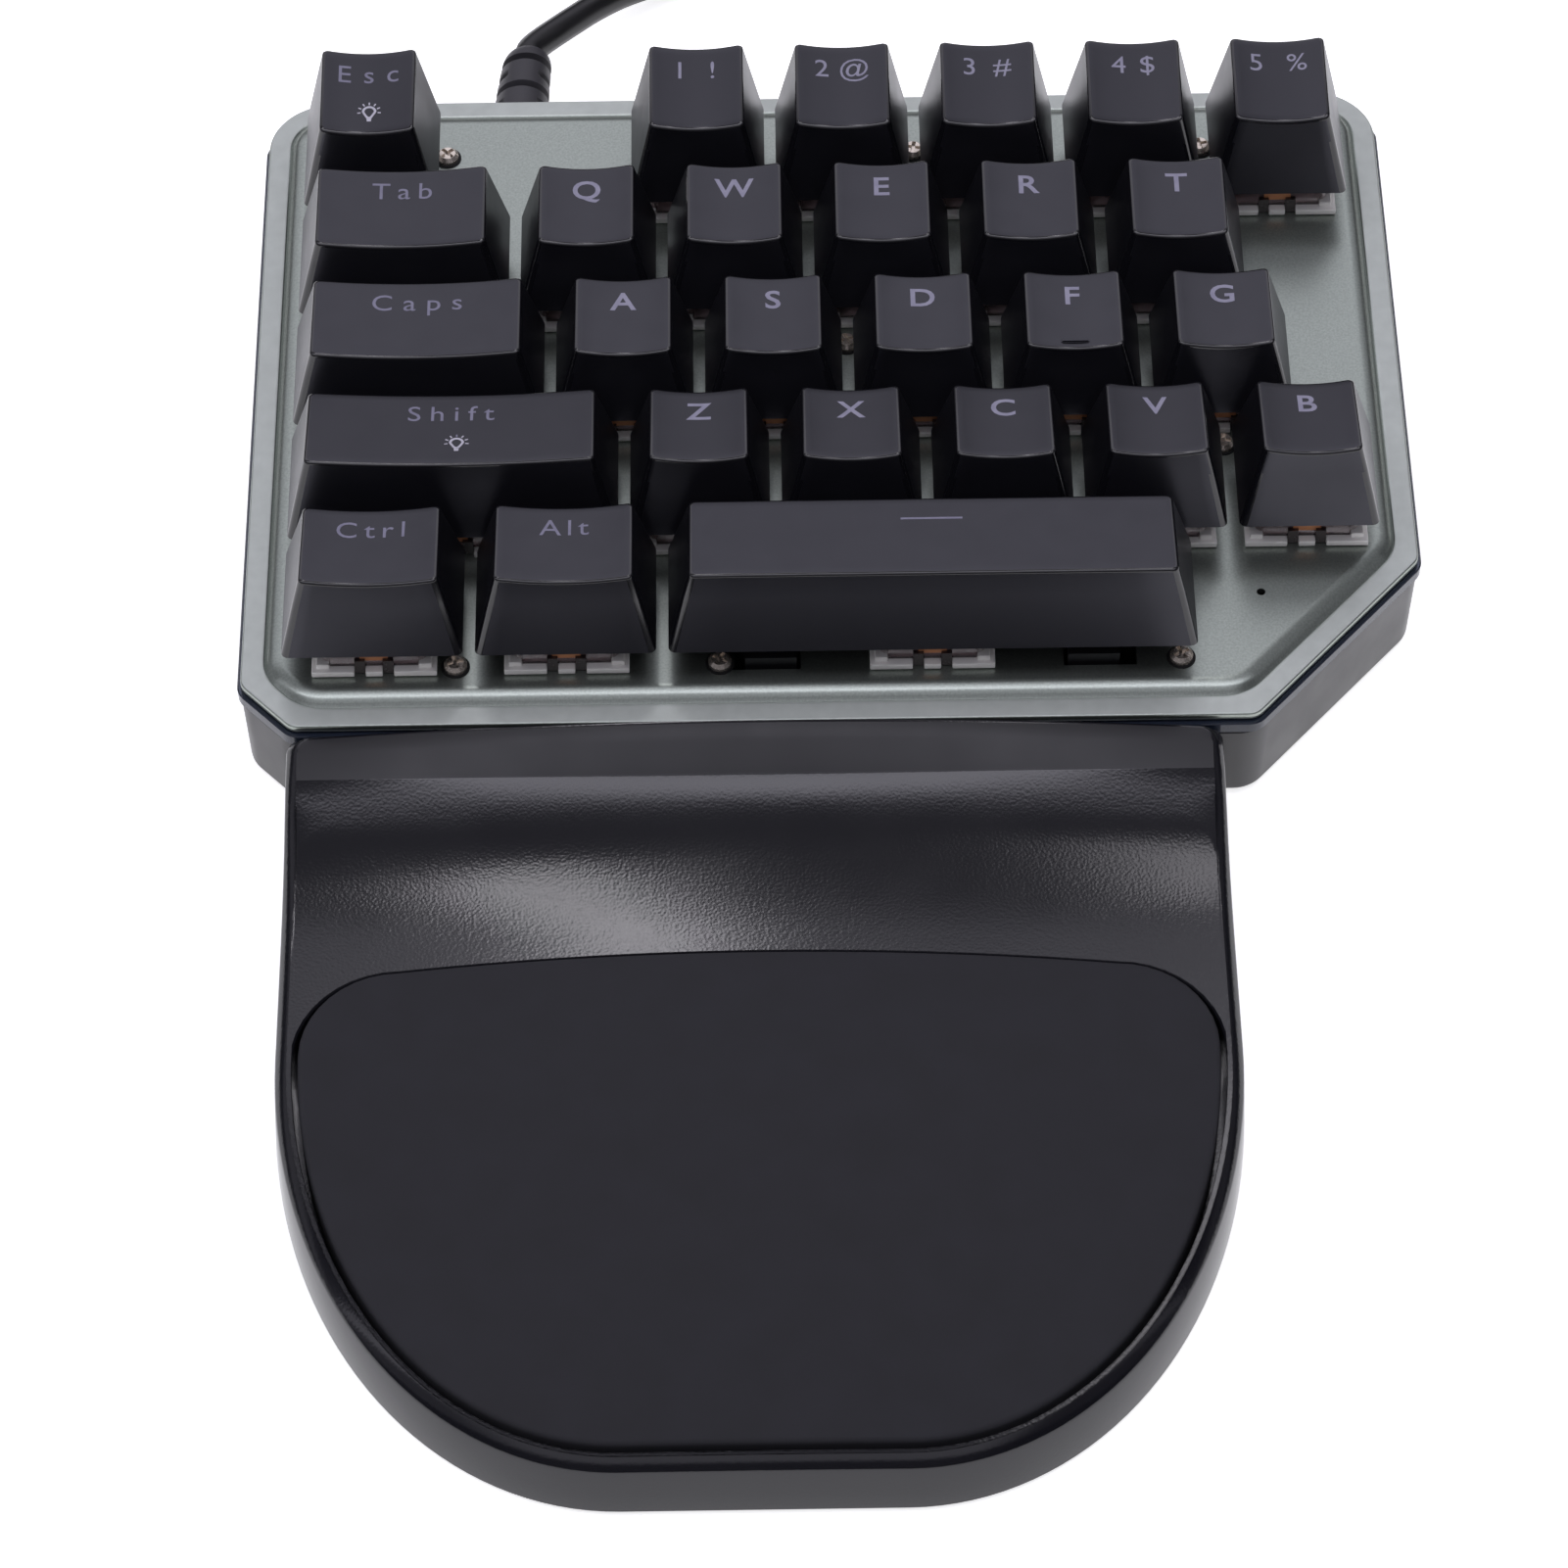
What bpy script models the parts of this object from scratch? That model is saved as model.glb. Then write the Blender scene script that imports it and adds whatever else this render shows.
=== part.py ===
"""One-hand gaming keypad with a pull-off wrist rest and a coiled USB lead.

Metres, +Z up, desk at Z = 0, keys facing up, +Y away from the user.
Lengths are named below in millimetres times MM and everything else follows from them.
The grid frame used by the code has X = 0 at the left edge of the key columns and Y = 0 on the
centre line of the bottom key row. One empty carries every piece and moves the grid frame so that
the origin is the centre of the footprint of keypad and wrist rest.
"""
import math

import bmesh
import bpy
from mathutils import Vector

MM = 0.001

# Clearances
FIT_GAP = 0.3 * MM
HEAD_GAP = 0.15 * MM
CUT_OVERRUN = 1.0 * MM
MERGE_DISTANCE = 0.003 * MM

# Key grid, with every place and width in shares of the key pitch
KEY_PITCH = 19.05 * MM
KEY_ROW_SHARES = (
    (0.0, (("ctrl", 0.0, 1.25), ("alt", 1.25, 1.25), ("space", 2.5, 3.5))),
    (1.0, (("shift", 0.0, 2.25), ("z", 2.25, 1.0), ("x", 3.25, 1.0), ("c", 4.25, 1.0),
           ("v", 5.25, 1.0), ("b", 6.25, 1.0))),
    (2.0, (("caps", 0.0, 1.75), ("a", 1.75, 1.0), ("s", 2.75, 1.0), ("d", 3.75, 1.0),
           ("f", 4.75, 1.0), ("g", 5.75, 1.0))),
    (3.0, (("tab", 0.0, 1.5), ("q", 1.5, 1.0), ("w", 2.5, 1.0), ("e", 3.5, 1.0),
           ("r", 4.5, 1.0), ("t", 5.5, 1.0))),
    (4.0, (("esc", 0.0, 1.0), ("1", 2.25, 1.0), ("2", 3.25, 1.0), ("3", 4.25, 1.0),
           ("4", 5.25, 1.0), ("5", 6.25, 1.0))),
)

# Keycap shell, heights above the plate
CAP_SIDE_GAP = 0.75 * MM
CAP_BASE_HEIGHT = 5.1 * MM
CAP_TOP_INSET = 2.6 * MM
CAP_TOP_REAR = 8.0 * MM
CAP_TOP_FRONT = 5.55 * MM
CAP_DISH = 0.9 * MM
CAP_CORNER = 1.0 * MM
CAP_WALL = 0.9 * MM
CAP_CEILING = 1.6 * MM
CAP_REAR_HEIGHTS = (13.6 * MM, 13.3 * MM, 13.6 * MM, 14.4 * MM, 17.0 * MM)
CAP_FRONT_HEIGHTS = (16.0 * MM, 16.25 * MM, 15.0 * MM, 15.0 * MM, 16.2 * MM)
FLAT_KEYS = ("space",)
EDGE_SHARES = (0.0, 0.25, 0.5, 0.75, 1.0)

# Slider under each cap, guided in its switch
SLIDER_RADIUS = 2.9 * MM
SLIDER_BOTTOM = 2.4 * MM
KEY_TRAVEL = 4.0 * MM

# Switches, soldered to the board and clipped in the plate
SWITCH_CUT_OUT = 14.0 * MM
SWITCH_FLANGE = 15.5 * MM
SWITCH_FLANGE_THICKNESS = 0.9 * MM
SWITCH_UPPER_BASE = 14.0 * MM
SWITCH_UPPER_TOP = 8.8 * MM
SWITCH_UPPER_HEIGHT = 5.4 * MM
SWITCH_WELL = 6.7 * MM
SWITCH_WELL_SPARE = 1.0 * MM
BOARD_DEPTH = 5.0 * MM
BOARD_THICKNESS = 1.6 * MM
BOARD_SIDE_GAP = 1.0 * MM

# Plate outline: margins of its outer edge round the key grid, and the cut corners
PLATE_MARGIN_LEFT = 4.85 * MM
PLATE_MARGIN_RIGHT = 4.6 * MM
PLATE_MARGIN_FRONT = 4.975 * MM
PLATE_MARGIN_REAR = 6.775 * MM
FRONT_LEFT_CUT_X = 6.5 * MM
FRONT_LEFT_CUT_Y = 6.8 * MM
FRONT_RIGHT_CUT_X = 21.8 * MM
FRONT_RIGHT_CUT_Y = 24.6 * MM
REAR_RIGHT_CUT_X = 4.3 * MM
REAR_RIGHT_CUT_Y = 6.9 * MM
REAR_LEFT_CUT_X = 5.0 * MM
REAR_LEFT_CUT_Y = 7.5 * MM
CORNER_RADIUS = 2.4 * MM
CORNER_RADIUS_MIN = 0.4 * MM
PLATE_REAR_ROUND = 8.4 * MM
# Just under 1, so that the two arcs of a round corner don't share a point
ROUND_SHARE = 0.995
CORNER_STEPS = 2

# Stack of the keypad from the desk up
FOOT_DROP = 0.4 * MM
CASE_HEIGHT = 12.4 * MM
CASE_WALL = 2.2 * MM
CASE_FLOOR = 2.0 * MM
CASE_DRAFT = 0.4 * MM
CASE_EDGE = 1.0 * MM
CASE_CORNER_RADIUS = 5.0 * MM
STRIP_THICKNESS = 1.7 * MM
STRIP_WIDTH = 4.0 * MM
STRIP_PROUD = 0.5 * MM
PLATE_THICKNESS = 1.2 * MM
PLATE_STEP = 1.0 * MM
PLATE_RIM_WIDTH = 3.1 * MM
PLATE_SHOULDER_RUN = 2.1 * MM
INDICATOR_SHARES = (6.425, 0.215)
INDICATOR_RADIUS = 0.6 * MM

# Plate screws, placed in shares of the key pitch, and the case bosses that take them
SCREW_PLACE_SHARES = (
    (1.0, 4.25), (4.25, 4.25), (6.25, 4.25), (3.75, 2.45), (6.25, 1.5),
    (1.15, -0.33), (2.87, -0.33), (5.87, -0.33),
)
SCREW_RADIUS = 1.0 * MM
SCREW_HEAD_RADIUS = 1.45 * MM
SCREW_HEAD_HEIGHT = 0.9 * MM
SCREW_LENGTH = 8.0 * MM
SCREW_SIDES = 8
BOSS_RADIUS = 2.4 * MM
BOSS_SIDES = 12
BOSS_HOLE_EXTRA_DEPTH = 1.0 * MM
HOLE_SIDES = 12

# Stabilisers of the two longest keys
STABILISED_KEYS = (("space", 20.0 * MM), ("shift", 11.9 * MM))
STAB_WIDTH = 6.4 * MM
STAB_FRONT = 6.8 * MM
STAB_REAR = 6.5 * MM
STAB_ABOVE_PLATE = 1.6 * MM
STAB_SHELF_REACH = 2.8 * MM
STAB_SHELF_THICKNESS = 0.9 * MM
STAB_FOOT_X = 3.0 * MM
STAB_FOOT_Y = 3.2 * MM
STAB_FOOT_GAP = 0.35 * MM
STAB_WIRE_RADIUS = 0.8 * MM
STAB_WIRE_BEVEL_STEPS = 1
STAB_PIVOT_Y = 8.0 * MM
STAB_PIVOT_DEPTH = 2.6 * MM
STAB_HOOK_HEIGHT = 0.1 * MM
STAB_HOOK_LENGTH = 2.2 * MM

# Feet of the keypad and of the wrist rest
FOOT_RADIUS = 4.5 * MM
FOOT_HEIGHT = 1.0 * MM
FOOT_SIDES = 16
FOOT_EDGE_INSET = 10.0 * MM
REST_FOOT_INSET_X = 24.0 * MM
REST_FOOT_INSET_Y = 22.0 * MM

# Wrist rest, standing in front of the case
REST_WIDTH = 116.5 * MM
REST_DEPTH = 102.3 * MM
REST_LEFT_INSET = 5.45 * MM
REST_JOIN_GAP = 0.4 * MM
REST_FLAT_FRONT = 33.0 * MM
REST_ROUND_DEPTH = 57.6 * MM
REST_REAR_CORNER = 1.5 * MM
REST_SIDE_MIN = 1.5 * MM
REST_WALL = 1.2 * MM
REST_DRAFT = 0.5 * MM
REST_RIM_WIDTH = 2.6 * MM
REST_RIM_CHAMFER = 1.5 * MM
REST_RIM_DROP = 2.0 * MM
REST_LIP_ARCH = 2.8 * MM
REST_LIP_RUN = 6.2 * MM
REST_SADDLE_STRETCH = 0.22
REST_REAR_HEIGHT = 15.4 * MM
REST_RUN_SHARES = (0.0, 0.061, 0.137, 0.215, 0.303, 0.508, 0.743, 1.0)
REST_HEIGHT_SHARES = (1.0, 0.948, 0.805, 0.727, 0.708, 0.695, 0.643, 0.558)
REST_SWEEP_SHARES = (0.12, 0.22, 0.38, 0.58, 0.8)
POCKET_REAR_RUN = 30.5 * MM
POCKET_REAR_ARCH = 2.4 * MM
POCKET_CORNER = 12.5 * MM
POCKET_FLOOR = 5.6 * MM
POCKET_FLOOR_THICKNESS = 1.4 * MM
BASE_THICKNESS = 1.5 * MM
PAD_GAP = 0.7 * MM
PAD_RISE = 0.6 * MM
PAD_EDGE_ROLL = 1.2 * MM
PAD_CROWN = 1.6 * MM
PAD_CROWN_SHARES = (0.18, 0.45, 0.75)
OUTLINE_REAR_STEPS = 12
OUTLINE_CORNER_STEPS = 4
OUTLINE_SIDE_STEPS = 3
OUTLINE_ROUND_STEPS = 9
OUTLINE_FRONT_STEPS = 2

# Lead: boot, free stretch, coil, tie and plug
LEAD_RADIUS = 2.0 * MM
LEAD_EXIT_X = 28.0 * MM
LEAD_EXIT_HEIGHT = 6.6 * MM
BOOT_NECK_RADIUS = 2.9 * MM
BOOT_FLANGE_RADIUS = 3.6 * MM
BOOT_FLANGE_THICKNESS = 1.6 * MM
BOOT_BASE_RADIUS = 4.0 * MM
BOOT_TIP_RADIUS = 3.3 * MM
BOOT_END_RADIUS = 2.4 * MM
BOOT_LEAN = 1.0 * MM
BOOT_LENGTH = 17.2 * MM
BOOT_GROOVE_DEPTH = 0.5 * MM
BOOT_GROOVE_WIDTH = 0.7 * MM
BOOT_GROOVE_SHARES = (0.3, 0.55, 0.8)
BOOT_SIDES = 12
LEAD_ROUTE_SHARES = (
    (0.265, 4.7, 1.65), (0.46, 5.0, 1.64), (0.775, 5.35, 1.625), (1.225, 5.8, 1.6),
    (1.8, 6.4, 1.525), (2.425, 7.075, 1.4), (3.3, 7.9, 1.2), (4.35, 8.7, 0.925),
    (5.55, 9.4, 0.7), (7.0, 9.975, 0.525),
)
LEAD_STEPS_PER_POINT = 3
LEAD_BEVEL_STEPS = 2
COIL_OFFSET_X = 39.0 * MM
COIL_OFFSET_Y = 74.7 * MM
COIL_OUTER_RADIUS = 34.0 * MM
COIL_TURN_STEP = 4.5 * MM
COIL_LAYER_STEP = 4.45 * MM
COIL_LAST_TURN_STEP = 4.7 * MM
COIL_TURNS = 8.5
COIL_POINTS_PER_TURN = 24
COIL_BEVEL_STEPS = 1
COIL_CLIMB_TURNS = 0.5
COIL_END_DROP_TURNS = 0.4
COIL_TAIL = 21.0 * MM
TIE_THICKNESS = 0.9 * MM
TIE_WIDTH = 9.0 * MM
TIE_GAP = 0.4 * MM
TIE_SAMPLES = 8
TIE_LIFT_SPREAD = 0.45
PLUG_LENGTH = 34.0 * MM
PLUG_WIDTH = 15.5 * MM
PLUG_HEIGHT = 8.4 * MM
PLUG_EDGE = 1.4 * MM
SHELL_LENGTH = 12.5 * MM
SHELL_WIDTH = 12.0 * MM
SHELL_HEIGHT = 4.5 * MM
SHELL_WALL = 0.4 * MM
SHELL_POCKET = 9.0 * MM

# Outer edges of the plate in the grid frame
PLATE_LEFT = -PLATE_MARGIN_LEFT
PLATE_RIGHT = max(left + width for _, keys in KEY_ROW_SHARES
                  for _, left, width in keys) * KEY_PITCH + PLATE_MARGIN_RIGHT
PLATE_FRONT = (KEY_ROW_SHARES[0][0] - 0.5) * KEY_PITCH - PLATE_MARGIN_FRONT
PLATE_REAR = (KEY_ROW_SHARES[-1][0] + 0.5) * KEY_PITCH + PLATE_MARGIN_REAR

# Heights that follow from the stack
CASE_BOTTOM = FOOT_DROP
CASE_TOP = CASE_BOTTOM + CASE_HEIGHT
STRIP_BOTTOM = CASE_TOP + FIT_GAP
STRIP_TOP = STRIP_BOTTOM + STRIP_THICKNESS
RIM_TOP = STRIP_TOP + FIT_GAP + PLATE_THICKNESS
FIELD_TOP = RIM_TOP + PLATE_STEP
FIELD_UNDER = FIELD_TOP - PLATE_THICKNESS
BOARD_TOP = FIELD_TOP - BOARD_DEPTH
BOARD_UNDER = BOARD_TOP - BOARD_THICKNESS
CASE_OUTER_INSET = -STRIP_PROUD + FIT_GAP
REST_REAR = PLATE_FRONT - STRIP_PROUD - REST_JOIN_GAP
REST_FRONT = REST_REAR - REST_DEPTH
REST_CENTRE_X = PLATE_LEFT + REST_LEFT_INSET + REST_WIDTH / 2.0
KEYPAD_REAR = PLATE_REAR + STRIP_PROUD
COIL_CENTRE_X = LEAD_EXIT_X + COIL_OFFSET_X
COIL_CENTRE_Y = PLATE_REAR + COIL_OFFSET_Y

# Frame of the whole part: centre of the footprint of keypad and wrist rest
ORIGIN_X = (PLATE_LEFT + PLATE_RIGHT) / 2.0
ORIGIN_Y = (REST_FRONT + KEYPAD_REAR) / 2.0


# Scene, collections and materials
for old in list(bpy.data.objects):
    bpy.data.objects.remove(old, do_unlink=True)

parts = bpy.data.collections.new("gaming_keypad")
cutters = bpy.data.collections.new("cutters")
bpy.context.scene.collection.children.link(parts)
bpy.context.scene.collection.children.link(cutters)

frame = bpy.data.objects.new("keypad_frame", None)
frame.location = (-ORIGIN_X, -ORIGIN_Y, 0.0)
parts.objects.link(frame)


def srgb(code):
    """Linear RGBA of a colour written as six hex digits."""
    channels = [int(code[i:i + 2], 16) / 255.0 for i in (0, 2, 4)]
    linear = [c / 12.92 if c <= 0.04045 else ((c + 0.055) / 1.055) ** 2.4 for c in channels]
    return (*linear, 1.0)


def material(name, code, roughness, metallic=0.0, alpha=1.0):
    """Plain Principled material in one colour."""
    made = bpy.data.materials.new(name)
    made.use_nodes = True
    shader = made.node_tree.nodes["Principled BSDF"]
    shader.inputs["Base Color"].default_value = srgb(code)
    shader.inputs["Roughness"].default_value = roughness
    shader.inputs["Metallic"].default_value = metallic
    shader.inputs["Alpha"].default_value = alpha
    return made


CAP_PLASTIC = material("keycap_plastic", "2C2C31", 0.45)
CASE_PLASTIC = material("case_plastic", "3A393D", 0.42)
PLATE_METAL = material("plate_metal", "9AA29F", 0.42, 0.7)
CLEAR_ACRYLIC = material("clear_acrylic", "2A3242", 0.1, 0.0, 0.6)
SWITCH_PLASTIC = material("switch_plastic", "E6E8E6", 0.35)
STAB_PLASTIC = material("stabiliser_plastic", "202022", 0.5)
STEEL = material("plated_steel", "B9B4AA", 0.3, 1.0)
REST_PLASTIC = material("rest_plastic", "2C2C31", 0.5)
PAD_SKIN = material("pad_skin", "2F2F34", 0.75)
FOOT_RUBBER = material("foot_rubber", "18181A", 0.9)
LEAD_JACKET = material("lead_jacket", "28272C", 0.55)
TIE_FABRIC = material("tie_fabric", "1E1E20", 0.9)


# Shared builders
def to_object(name, bm, mat, group=parts, location=(0.0, 0.0, 0.0)):
    """Object from a bmesh, carried by the part's frame."""
    bmesh.ops.recalc_face_normals(bm, faces=bm.faces)
    mesh = bpy.data.meshes.new(name)
    bm.to_mesh(mesh)
    bm.free()
    made = bpy.data.objects.new(name, mesh)
    made.location = location
    made.parent = frame
    if mat is not None:
        mesh.materials.append(mat)
    group.objects.link(made)
    if group is cutters:
        made.hide_render = True
        made.display_type = 'WIRE'
    return made


def loft(bm, rings, cap_first=True, cap_last=True):
    """Closed skin over rings of equally many points, in order."""
    loops = [[bm.verts.new(point) for point in ring] for ring in rings]
    count = len(loops[0])
    for low, high in zip(loops, loops[1:]):
        for i in range(count):
            j = (i + 1) % count
            bm.faces.new((low[i], low[j], high[j], high[i]))
    if cap_first:
        bm.faces.new(list(reversed(loops[0])))
    if cap_last:
        bm.faces.new(loops[-1])
    return loops


def circle(radius, z, sides, x=0.0, y=0.0):
    """Ring of points round a vertical axis."""
    turn = 2.0 * math.pi / sides
    return [Vector((x + radius * math.cos(i * turn), y + radius * math.sin(i * turn), z))
            for i in range(sides)]


def rectangle(x_low, x_high, y_low, y_high, z):
    """Four corners at one height, counter-clockwise from above."""
    return [Vector((x_low, y_low, z)), Vector((x_high, y_low, z)),
            Vector((x_high, y_high, z)), Vector((x_low, y_high, z))]


def add_box(bm, x_low, x_high, y_low, y_high, z_low, z_high):
    """Box between two corners."""
    cube = bmesh.ops.create_cube(bm, size=1.0)
    centre = Vector(((x_low + x_high) / 2.0, (y_low + y_high) / 2.0, (z_low + z_high) / 2.0))
    size = Vector((x_high - x_low, y_high - y_low, z_high - z_low))
    for vert in cube["verts"]:
        vert.co = Vector(co * s for co, s in zip(vert.co, size)) + centre


def add_cylinder(bm, x, y, z_low, z_high, radius, sides):
    """Upright cylinder between two heights."""
    made = bmesh.ops.create_cone(bm, cap_ends=True, segments=sides,
                                 radius1=radius, radius2=radius, depth=z_high - z_low)
    bmesh.ops.translate(bm, verts=made["verts"], vec=(x, y, (z_low + z_high) / 2.0))


def boolean(target, tool, operation):
    """Exact Boolean modifier on target with one mesh tool."""
    step = target.modifiers.new(tool.name, 'BOOLEAN')
    step.operation = operation
    step.solver = 'EXACT'
    step.object = tool


def tool_object(name, fill):
    """Cutter or filler mesh that never renders, filled by a function."""
    bm = bmesh.new()
    fill(bm)
    return to_object(name, bm, None, cutters)


# Keypad outline
def keypad_corners(rear_round):
    """Corners of the keypad counter-clockwise, the rear ones cut for an arc where it has one."""
    cut = rear_round * (2.0 - math.sqrt(2.0))
    right_x, right_y = (cut, cut) if rear_round else (REAR_RIGHT_CUT_X, REAR_RIGHT_CUT_Y)
    left_x, left_y = (cut, cut) if rear_round else (REAR_LEFT_CUT_X, REAR_LEFT_CUT_Y)
    return [
        (PLATE_LEFT, PLATE_FRONT + FRONT_LEFT_CUT_Y),
        (PLATE_LEFT + FRONT_LEFT_CUT_X, PLATE_FRONT),
        (PLATE_RIGHT - FRONT_RIGHT_CUT_X, PLATE_FRONT),
        (PLATE_RIGHT, PLATE_FRONT + FRONT_RIGHT_CUT_Y),
        (PLATE_RIGHT, PLATE_REAR - right_y),
        (PLATE_RIGHT - right_x, PLATE_REAR),
        (PLATE_LEFT + left_x, PLATE_REAR),
        (PLATE_LEFT, PLATE_REAR - left_y),
    ]


def keypad_outline(inset, z, corner_radius=CORNER_RADIUS, rear_round=0.0):
    """Keypad outline moved inwards by inset, with rounded corners."""
    corners = [Vector(corner) for corner in keypad_corners(rear_round)]
    count = len(corners)
    lines = []
    for i in range(count):
        along = (corners[(i + 1) % count] - corners[i]).normalized()
        inward = Vector((-along.y, along.x))
        lines.append((corners[i] + inward * inset, along))
    ring = []
    for i in range(count):
        round_here = rear_round * ROUND_SHARE if rear_round and i >= count // 2 else corner_radius
        radius = max(round_here - inset, CORNER_RADIUS_MIN)
        start, before = lines[i - 1]
        base, after = lines[i]
        cross = before.x * after.y - before.y * after.x
        offset = base - start
        reach = (offset.x * after.y - offset.y * after.x) / cross
        corner = start + before * reach
        turn = math.atan2(cross, before.dot(after))
        tangent = radius * math.tan(turn / 2.0)
        centre = corner - before * tangent + Vector((-before.y, before.x)) * radius
        heading = math.atan2(before.y, before.x) - math.pi / 2.0
        for step in range(CORNER_STEPS + 1):
            angle = heading + turn * step / CORNER_STEPS
            ring.append(Vector((centre.x + radius * math.cos(angle),
                                centre.y + radius * math.sin(angle), z)))
    return ring


# Keys
def key_places():
    """Name, centre x, centre y, width share and row index of every key."""
    places = []
    for row, (row_share, keys) in enumerate(KEY_ROW_SHARES):
        for name, left_share, width_share in keys:
            x = (left_share + width_share / 2.0) * KEY_PITCH
            places.append((name, x, row_share * KEY_PITCH, width_share, row))
    return places


def screw_places():
    """Centre of every plate screw."""
    return [(x * KEY_PITCH, y * KEY_PITCH) for x, y in SCREW_PLACE_SHARES]


def cap_ring(half_width, front, rear, corner, z_front, z_rear, dish=0.0):
    """Chamfered rectangle with points along front and rear edges, dished across X."""
    inner = half_width - corner

    def height(x, y):
        along = (y + front) / (front + rear)
        level = z_front + (z_rear - z_front) * along
        return level - dish * (1.0 - min(1.0, abs(x) / half_width) ** 2)

    spots = [(-inner + 2.0 * inner * share, -front) for share in EDGE_SHARES]
    spots += [(half_width, -front + corner), (half_width, rear - corner)]
    spots += [(inner - 2.0 * inner * share, rear) for share in EDGE_SHARES]
    spots += [(-half_width, rear - corner), (-half_width, -front + corner)]
    return [Vector((x, y, height(x, y))) for x, y in spots]


def cap_top_faces(bm, loop):
    """Dished top between the front and the rear edge points of a cap ring."""
    last = len(EDGE_SHARES) - 1
    rear_first = last + 3
    rear_last = rear_first + last
    for i in range(last):
        bm.faces.new((loop[i], loop[i + 1], loop[rear_last - i - 1], loop[rear_last - i]))
    bm.faces.new((loop[last], loop[last + 1], loop[last + 2], loop[rear_first]))
    bm.faces.new((loop[rear_last], loop[rear_last + 1], loop[rear_last + 2], loop[0]))


def make_keycap(name, width_share, row):
    """Cap shell with its post and slider, the origin on the plate surface."""
    bm = bmesh.new()
    half = width_share * KEY_PITCH / 2.0 - CAP_SIDE_GAP
    top_half = half - CAP_TOP_INSET
    dish = 0.0 if name in FLAT_KEYS else CAP_DISH
    z_front = CAP_FRONT_HEIGHTS[row]
    z_rear = CAP_REAR_HEIGHTS[row]
    ceiling = min(z_front, z_rear) - CAP_DISH - CAP_CEILING
    depth = KEY_PITCH / 2.0 - CAP_SIDE_GAP
    outer_base = cap_ring(half, depth, depth, CAP_CORNER, CAP_BASE_HEIGHT, CAP_BASE_HEIGHT)
    outer_top = cap_ring(top_half, CAP_TOP_FRONT, CAP_TOP_REAR, CAP_CORNER, z_front, z_rear, dish)
    inner_base = cap_ring(half - CAP_WALL, depth - CAP_WALL, depth - CAP_WALL, CAP_CORNER,
                          CAP_BASE_HEIGHT, CAP_BASE_HEIGHT)
    inner_top = cap_ring(top_half - CAP_WALL, CAP_TOP_FRONT - CAP_WALL, CAP_TOP_REAR - CAP_WALL,
                         CAP_CORNER, ceiling, ceiling)
    sides = len(inner_top)
    post_top = []
    post_end = []
    for i, point in enumerate(inner_top):
        angle = 2.0 * math.pi * (i - 2) / sides - math.pi / 2.0
        x = SLIDER_RADIUS * math.cos(angle)
        y = SLIDER_RADIUS * math.sin(angle)
        post_top.append(Vector((x, y, ceiling)))
        post_end.append(Vector((x, y, SLIDER_BOTTOM)))
    loops = loft(bm, [outer_top, outer_base, inner_base, inner_top, post_top, post_end],
                 cap_first=False)
    cap_top_faces(bm, loops[0])
    return bm


def make_keys():
    """Every key, its origin on the plate surface at the centre of its switch."""
    caps = {}
    for name, x, y, width_share, row in key_places():
        bm = make_keycap(name, width_share, row)
        caps[name] = to_object("keycap_" + name, bm, CAP_PLASTIC, parts, (x, y, FIELD_TOP))
    return caps


def stab_centres():
    """Name, x and y of each stabiliser housing and the side of its key that it is on."""
    places = {name: (x, y) for name, x, y, _, _ in key_places()}
    for name, reach in STABILISED_KEYS:
        x, y = places[name]
        for side, label in ((-1.0, "left"), (1.0, "right")):
            yield name, label, side, x + side * reach, y


def stab_foot_bottom():
    """Height of the underside of a stabiliser foot above the plate, at rest."""
    return STAB_HOOK_HEIGHT + STAB_WIRE_RADIUS + STAB_FOOT_GAP


def add_stab_feet(caps):
    """Fuse two stabiliser feet to the underside of each long cap."""
    for name, reach in STABILISED_KEYS:
        cap = caps[name]
        row = next(row for key, _, _, _, row in key_places() if key == name)
        ceiling = min(CAP_FRONT_HEIGHTS[row], CAP_REAR_HEIGHTS[row]) - CAP_DISH - CAP_CEILING

        def fill(bm):
            for side in (-1.0, 1.0):
                x = side * reach
                add_box(bm, x - STAB_FOOT_X / 2.0, x + STAB_FOOT_X / 2.0, -STAB_FOOT_Y / 2.0,
                        STAB_FOOT_Y / 2.0, stab_foot_bottom(), ceiling + CAP_CEILING / 2.0)

        feet = tool_object("stab_feet_" + name, fill)
        feet.location = cap.location
        boolean(cap, feet, 'UNION')


# Plate
def housing_slots(bm):
    """Plate openings for the stabiliser housings."""
    half = STAB_WIDTH / 2.0 + FIT_GAP
    for _, _, _, x, y in stab_centres():
        add_box(bm, x - half, x + half, y - STAB_FRONT - FIT_GAP, y + STAB_REAR + FIT_GAP,
                FIELD_UNDER - CUT_OVERRUN, FIELD_TOP + CUT_OVERRUN)


def arm_slots(bm):
    """Plate openings beside the housings, where the wire arms swing."""
    reach = STAB_WIDTH / 2.0 + 3.0 * FIT_GAP + 2.0 * STAB_WIRE_RADIUS
    for _, _, side, x, y in stab_centres():
        outer = x + side * reach
        add_box(bm, min(x, outer), max(x, outer), y - STAB_WIRE_RADIUS - 3.0 * FIT_GAP,
                y + STAB_REAR + FIT_GAP / 2.0, FIELD_UNDER - CUT_OVERRUN / 2.0,
                FIELD_TOP + CUT_OVERRUN / 2.0)


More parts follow.
